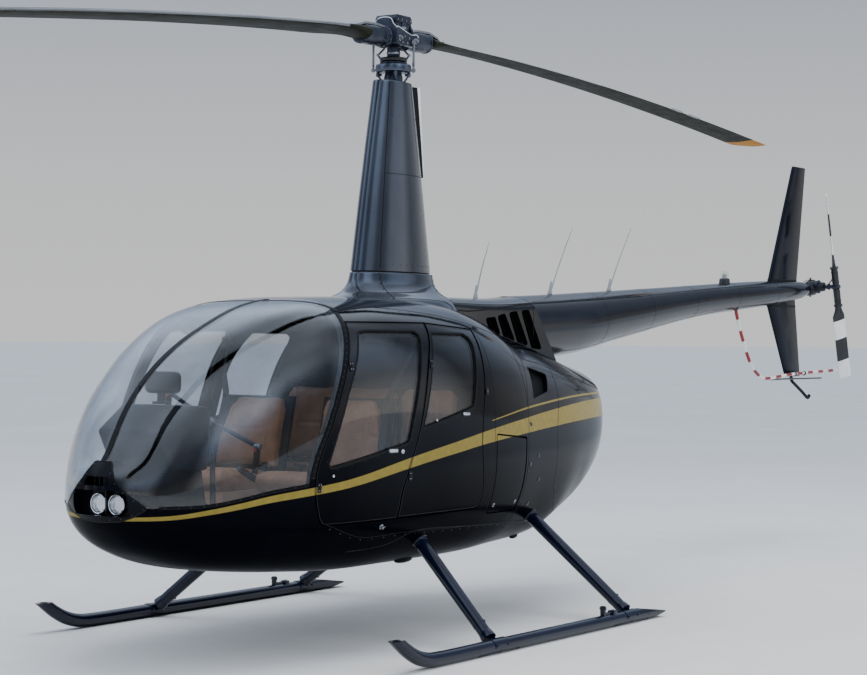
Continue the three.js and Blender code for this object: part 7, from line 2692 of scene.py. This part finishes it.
# ------------------------------------------------------------------ studio
def stage_set():
    m, nt, p, _ = new_mat("studio_floor")
    tc = N(nt, "TexCoord")
    n1 = noise(nt, tc.outputs["Object"], 0.35, 5.0)
    n2 = noise(nt, tc.outputs["Object"], 3.0, 8.0, 0.7)
    col = mixc(nt, remap(nt, n1, 0.3, 0.7, 0, 1), lin((206, 205, 202)), lin((215, 214, 211)))
    col = mixc(nt, remap(nt, n2, 0.45, 0.7, 0, 0.35), col, lin((199, 198, 195)))
    nt.links.new(col, p.inputs["Base Color"])
    nt.links.new(remap(nt, n2, 0.3, 0.7, 0.55, 0.7), p.inputs["Roughness"])
    p.inputs["Specular IOR Level"].default_value = 0.0
    me = bpy.data.meshes.new("studio_floor")
    n, r = 96, 320.0
    a = np.arange(n) / n * 2 * np.pi
    co = [[math.cos(t) * r, math.sin(t) * r, 0.0] for t in a]
    me.from_pydata(co, [], [tuple(range(n))])
    me.materials.append(m)
    f = bpy.data.objects.new("studio_floor", me)
    COL.objects.link(f)
    f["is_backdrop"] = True

    w = bpy.data.worlds.new("studio")
    SCENE.world = w
    w.use_nodes = True
    nt = w.node_tree
    nt.nodes.clear()
    out = nt.nodes.new("ShaderNodeOutputWorld")
    bg = nt.nodes.new("ShaderNodeBackground")
    nt.links.new(bg.outputs[0], out.inputs[0])
    tc = N(nt, "TexCoord")
    z = N(nt, "SeparateXYZ", {"Vector": tc.outputs["Generated"]}).outputs[2]
    cr = nt.nodes.new("ShaderNodeValToRGB")
    nt.links.new(z, cr.inputs[0])
    e = cr.color_ramp.elements
    e[0].position, e[0].color = 0.0, (0.76, 0.76, 0.765, 1)
    e[1].position, e[1].color = 1.0, (1.25, 1.38, 1.6, 1)
    for q, c in ((0.07, (0.70, 0.71, 0.725, 1)), (0.18, (0.44, 0.48, 0.56, 1)), (0.34, (0.50, 0.62, 0.84, 1)), (0.6, (1.1, 1.26, 1.52, 1))):
        k = e.new(q)
        k.color = c
    # high overhead the light is softly uneven, as from several big diffusers
    nz = noise(nt, tc.outputs["Generated"], 1.3, 1.0, 0.4)
    up_ = remap(nt, z, 0.2, 0.42, 0.0, 1.0)
    k_ = math_(nt, "ADD", 1.0, math_(nt, "MULTIPLY", up_, remap(nt, nz, 0.3, 0.7, -0.45, 0.7)))
    # tall soft boxes and dark gaps beside the set; plain behind the object
    xyz = N(nt, "SeparateXYZ", {"Vector": tc.outputs["Generated"]})
    az = math_(nt, "ARCTAN2", xyz.outputs[1], xyz.outputs[0])
    wave = math_(nt, "SINE", math_(nt, "MULTIPLY", az, 6.0))
    behind = math_(nt, "ADD", math_(nt, "MULTIPLY", xyz.outputs[0], -0.83), math_(nt, "MULTIPLY", xyz.outputs[1], -0.56))
    side_ = math_(nt, "MULTIPLY", remap(nt, behind, 0.5, 0.85, 1.0, 0.0), remap(nt, z, 0.45, 0.7, 1.0, 0.0))
    k_ = math_(nt, "MULTIPLY", k_, math_(nt, "ADD", 1.0, math_(nt, "MULTIPLY", side_, remap(nt, wave, -0.5, 0.5, -0.62, 0.5))))
    nt.links.new(k_, bg.inputs["Strength"])
    nt.links.new(cr.outputs[0], bg.inputs["Color"])


def area(name, loc, aim, size, power, color=(1, 1, 1), size_y=None, glossy=False):
    d = bpy.data.lights.new(name, "AREA")
    d.shape = "RECTANGLE"
    d.size, d.size_y = size, size_y or size
    d.energy = power
    d.color = color
    o = bpy.data.objects.new(name, d)
    COL.objects.link(o)
    o.location = loc
    o.rotation_mode = "QUATERNION"
    o.rotation_quaternion = (Vector(aim) - Vector(loc)).to_track_quat("-Z", "Y")
    o.visible_camera = False
    o.visible_glossy = glossy
    return o


stage_set()
area("overhead", (0.5, 0.5, 11.0), (0.2, 0, 1.0), 9.0, 700, (1.0, 0.99, 0.97), 6.0)
area("port_key", (3.5, 12.5, 6.5), (0.6, 0, 1.2), 7.0, 420, (1.0, 0.985, 0.96), 4.0)
area("nose_fill", (13.0, -4.0, 6.0), (1.5, 0, 1.2), 6.0, 260, (0.94, 0.97, 1.0), 4.0)
area("tail_rim", (-9.0, 7.0, 7.5), (-2.0, 0, 1.8), 5.0, 320, (1.0, 0.98, 0.95), 4.0)


def camera():
    d = bpy.data.cameras.new("photo_view")
    d.sensor_fit = "HORIZONTAL"
    d.sensor_width = 36.0
    d.lens = 86.57
    d.clip_start, d.clip_end = 0.1, 2000.0
    o = bpy.data.objects.new("photo_view", d)
    COL.objects.link(o)
    yaw, pitch, roll = -2.5458, -0.0016, 0.0072
    cy, sy, cp, sp = math.cos(yaw), math.sin(yaw), math.cos(pitch), math.sin(pitch)
    f = np.array([cy * cp, sy * cp, sp])
    r = np.array([sy, -cy, 0.0])
    u = np.cross(r, f)
    cr, sr = math.cos(roll), math.sin(roll)
    r2, u2 = cr * r + sr * u, -sr * r + cr * u
    from mathutils import Matrix
    M = Matrix(((r2[0], u2[0], -f[0], 10.4065), (r2[1], u2[1], -f[1], 6.9344), (r2[2], u2[2], -f[2], 1.6445), (0, 0, 0, 1)))
    o.matrix_world = M
    SCENE.camera = o


camera()


def tidy(names):
    """Takes faces without area out of a finished piece."""
    import bmesh
    for nm in names:
        o = bpy.data.objects[nm]
        bm = bmesh.new()
        bm.from_mesh(o.data)
        bmesh.ops.dissolve_degenerate(bm, dist=4e-6, edges=bm.edges)
        bm.to_mesh(o.data)
        bm.free()


tidy(("rotor_head", "centre_tunnel"))

for me in list(bpy.data.meshes):
    if me.users == 0:
        bpy.data.meshes.remove(me)
lo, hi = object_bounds()
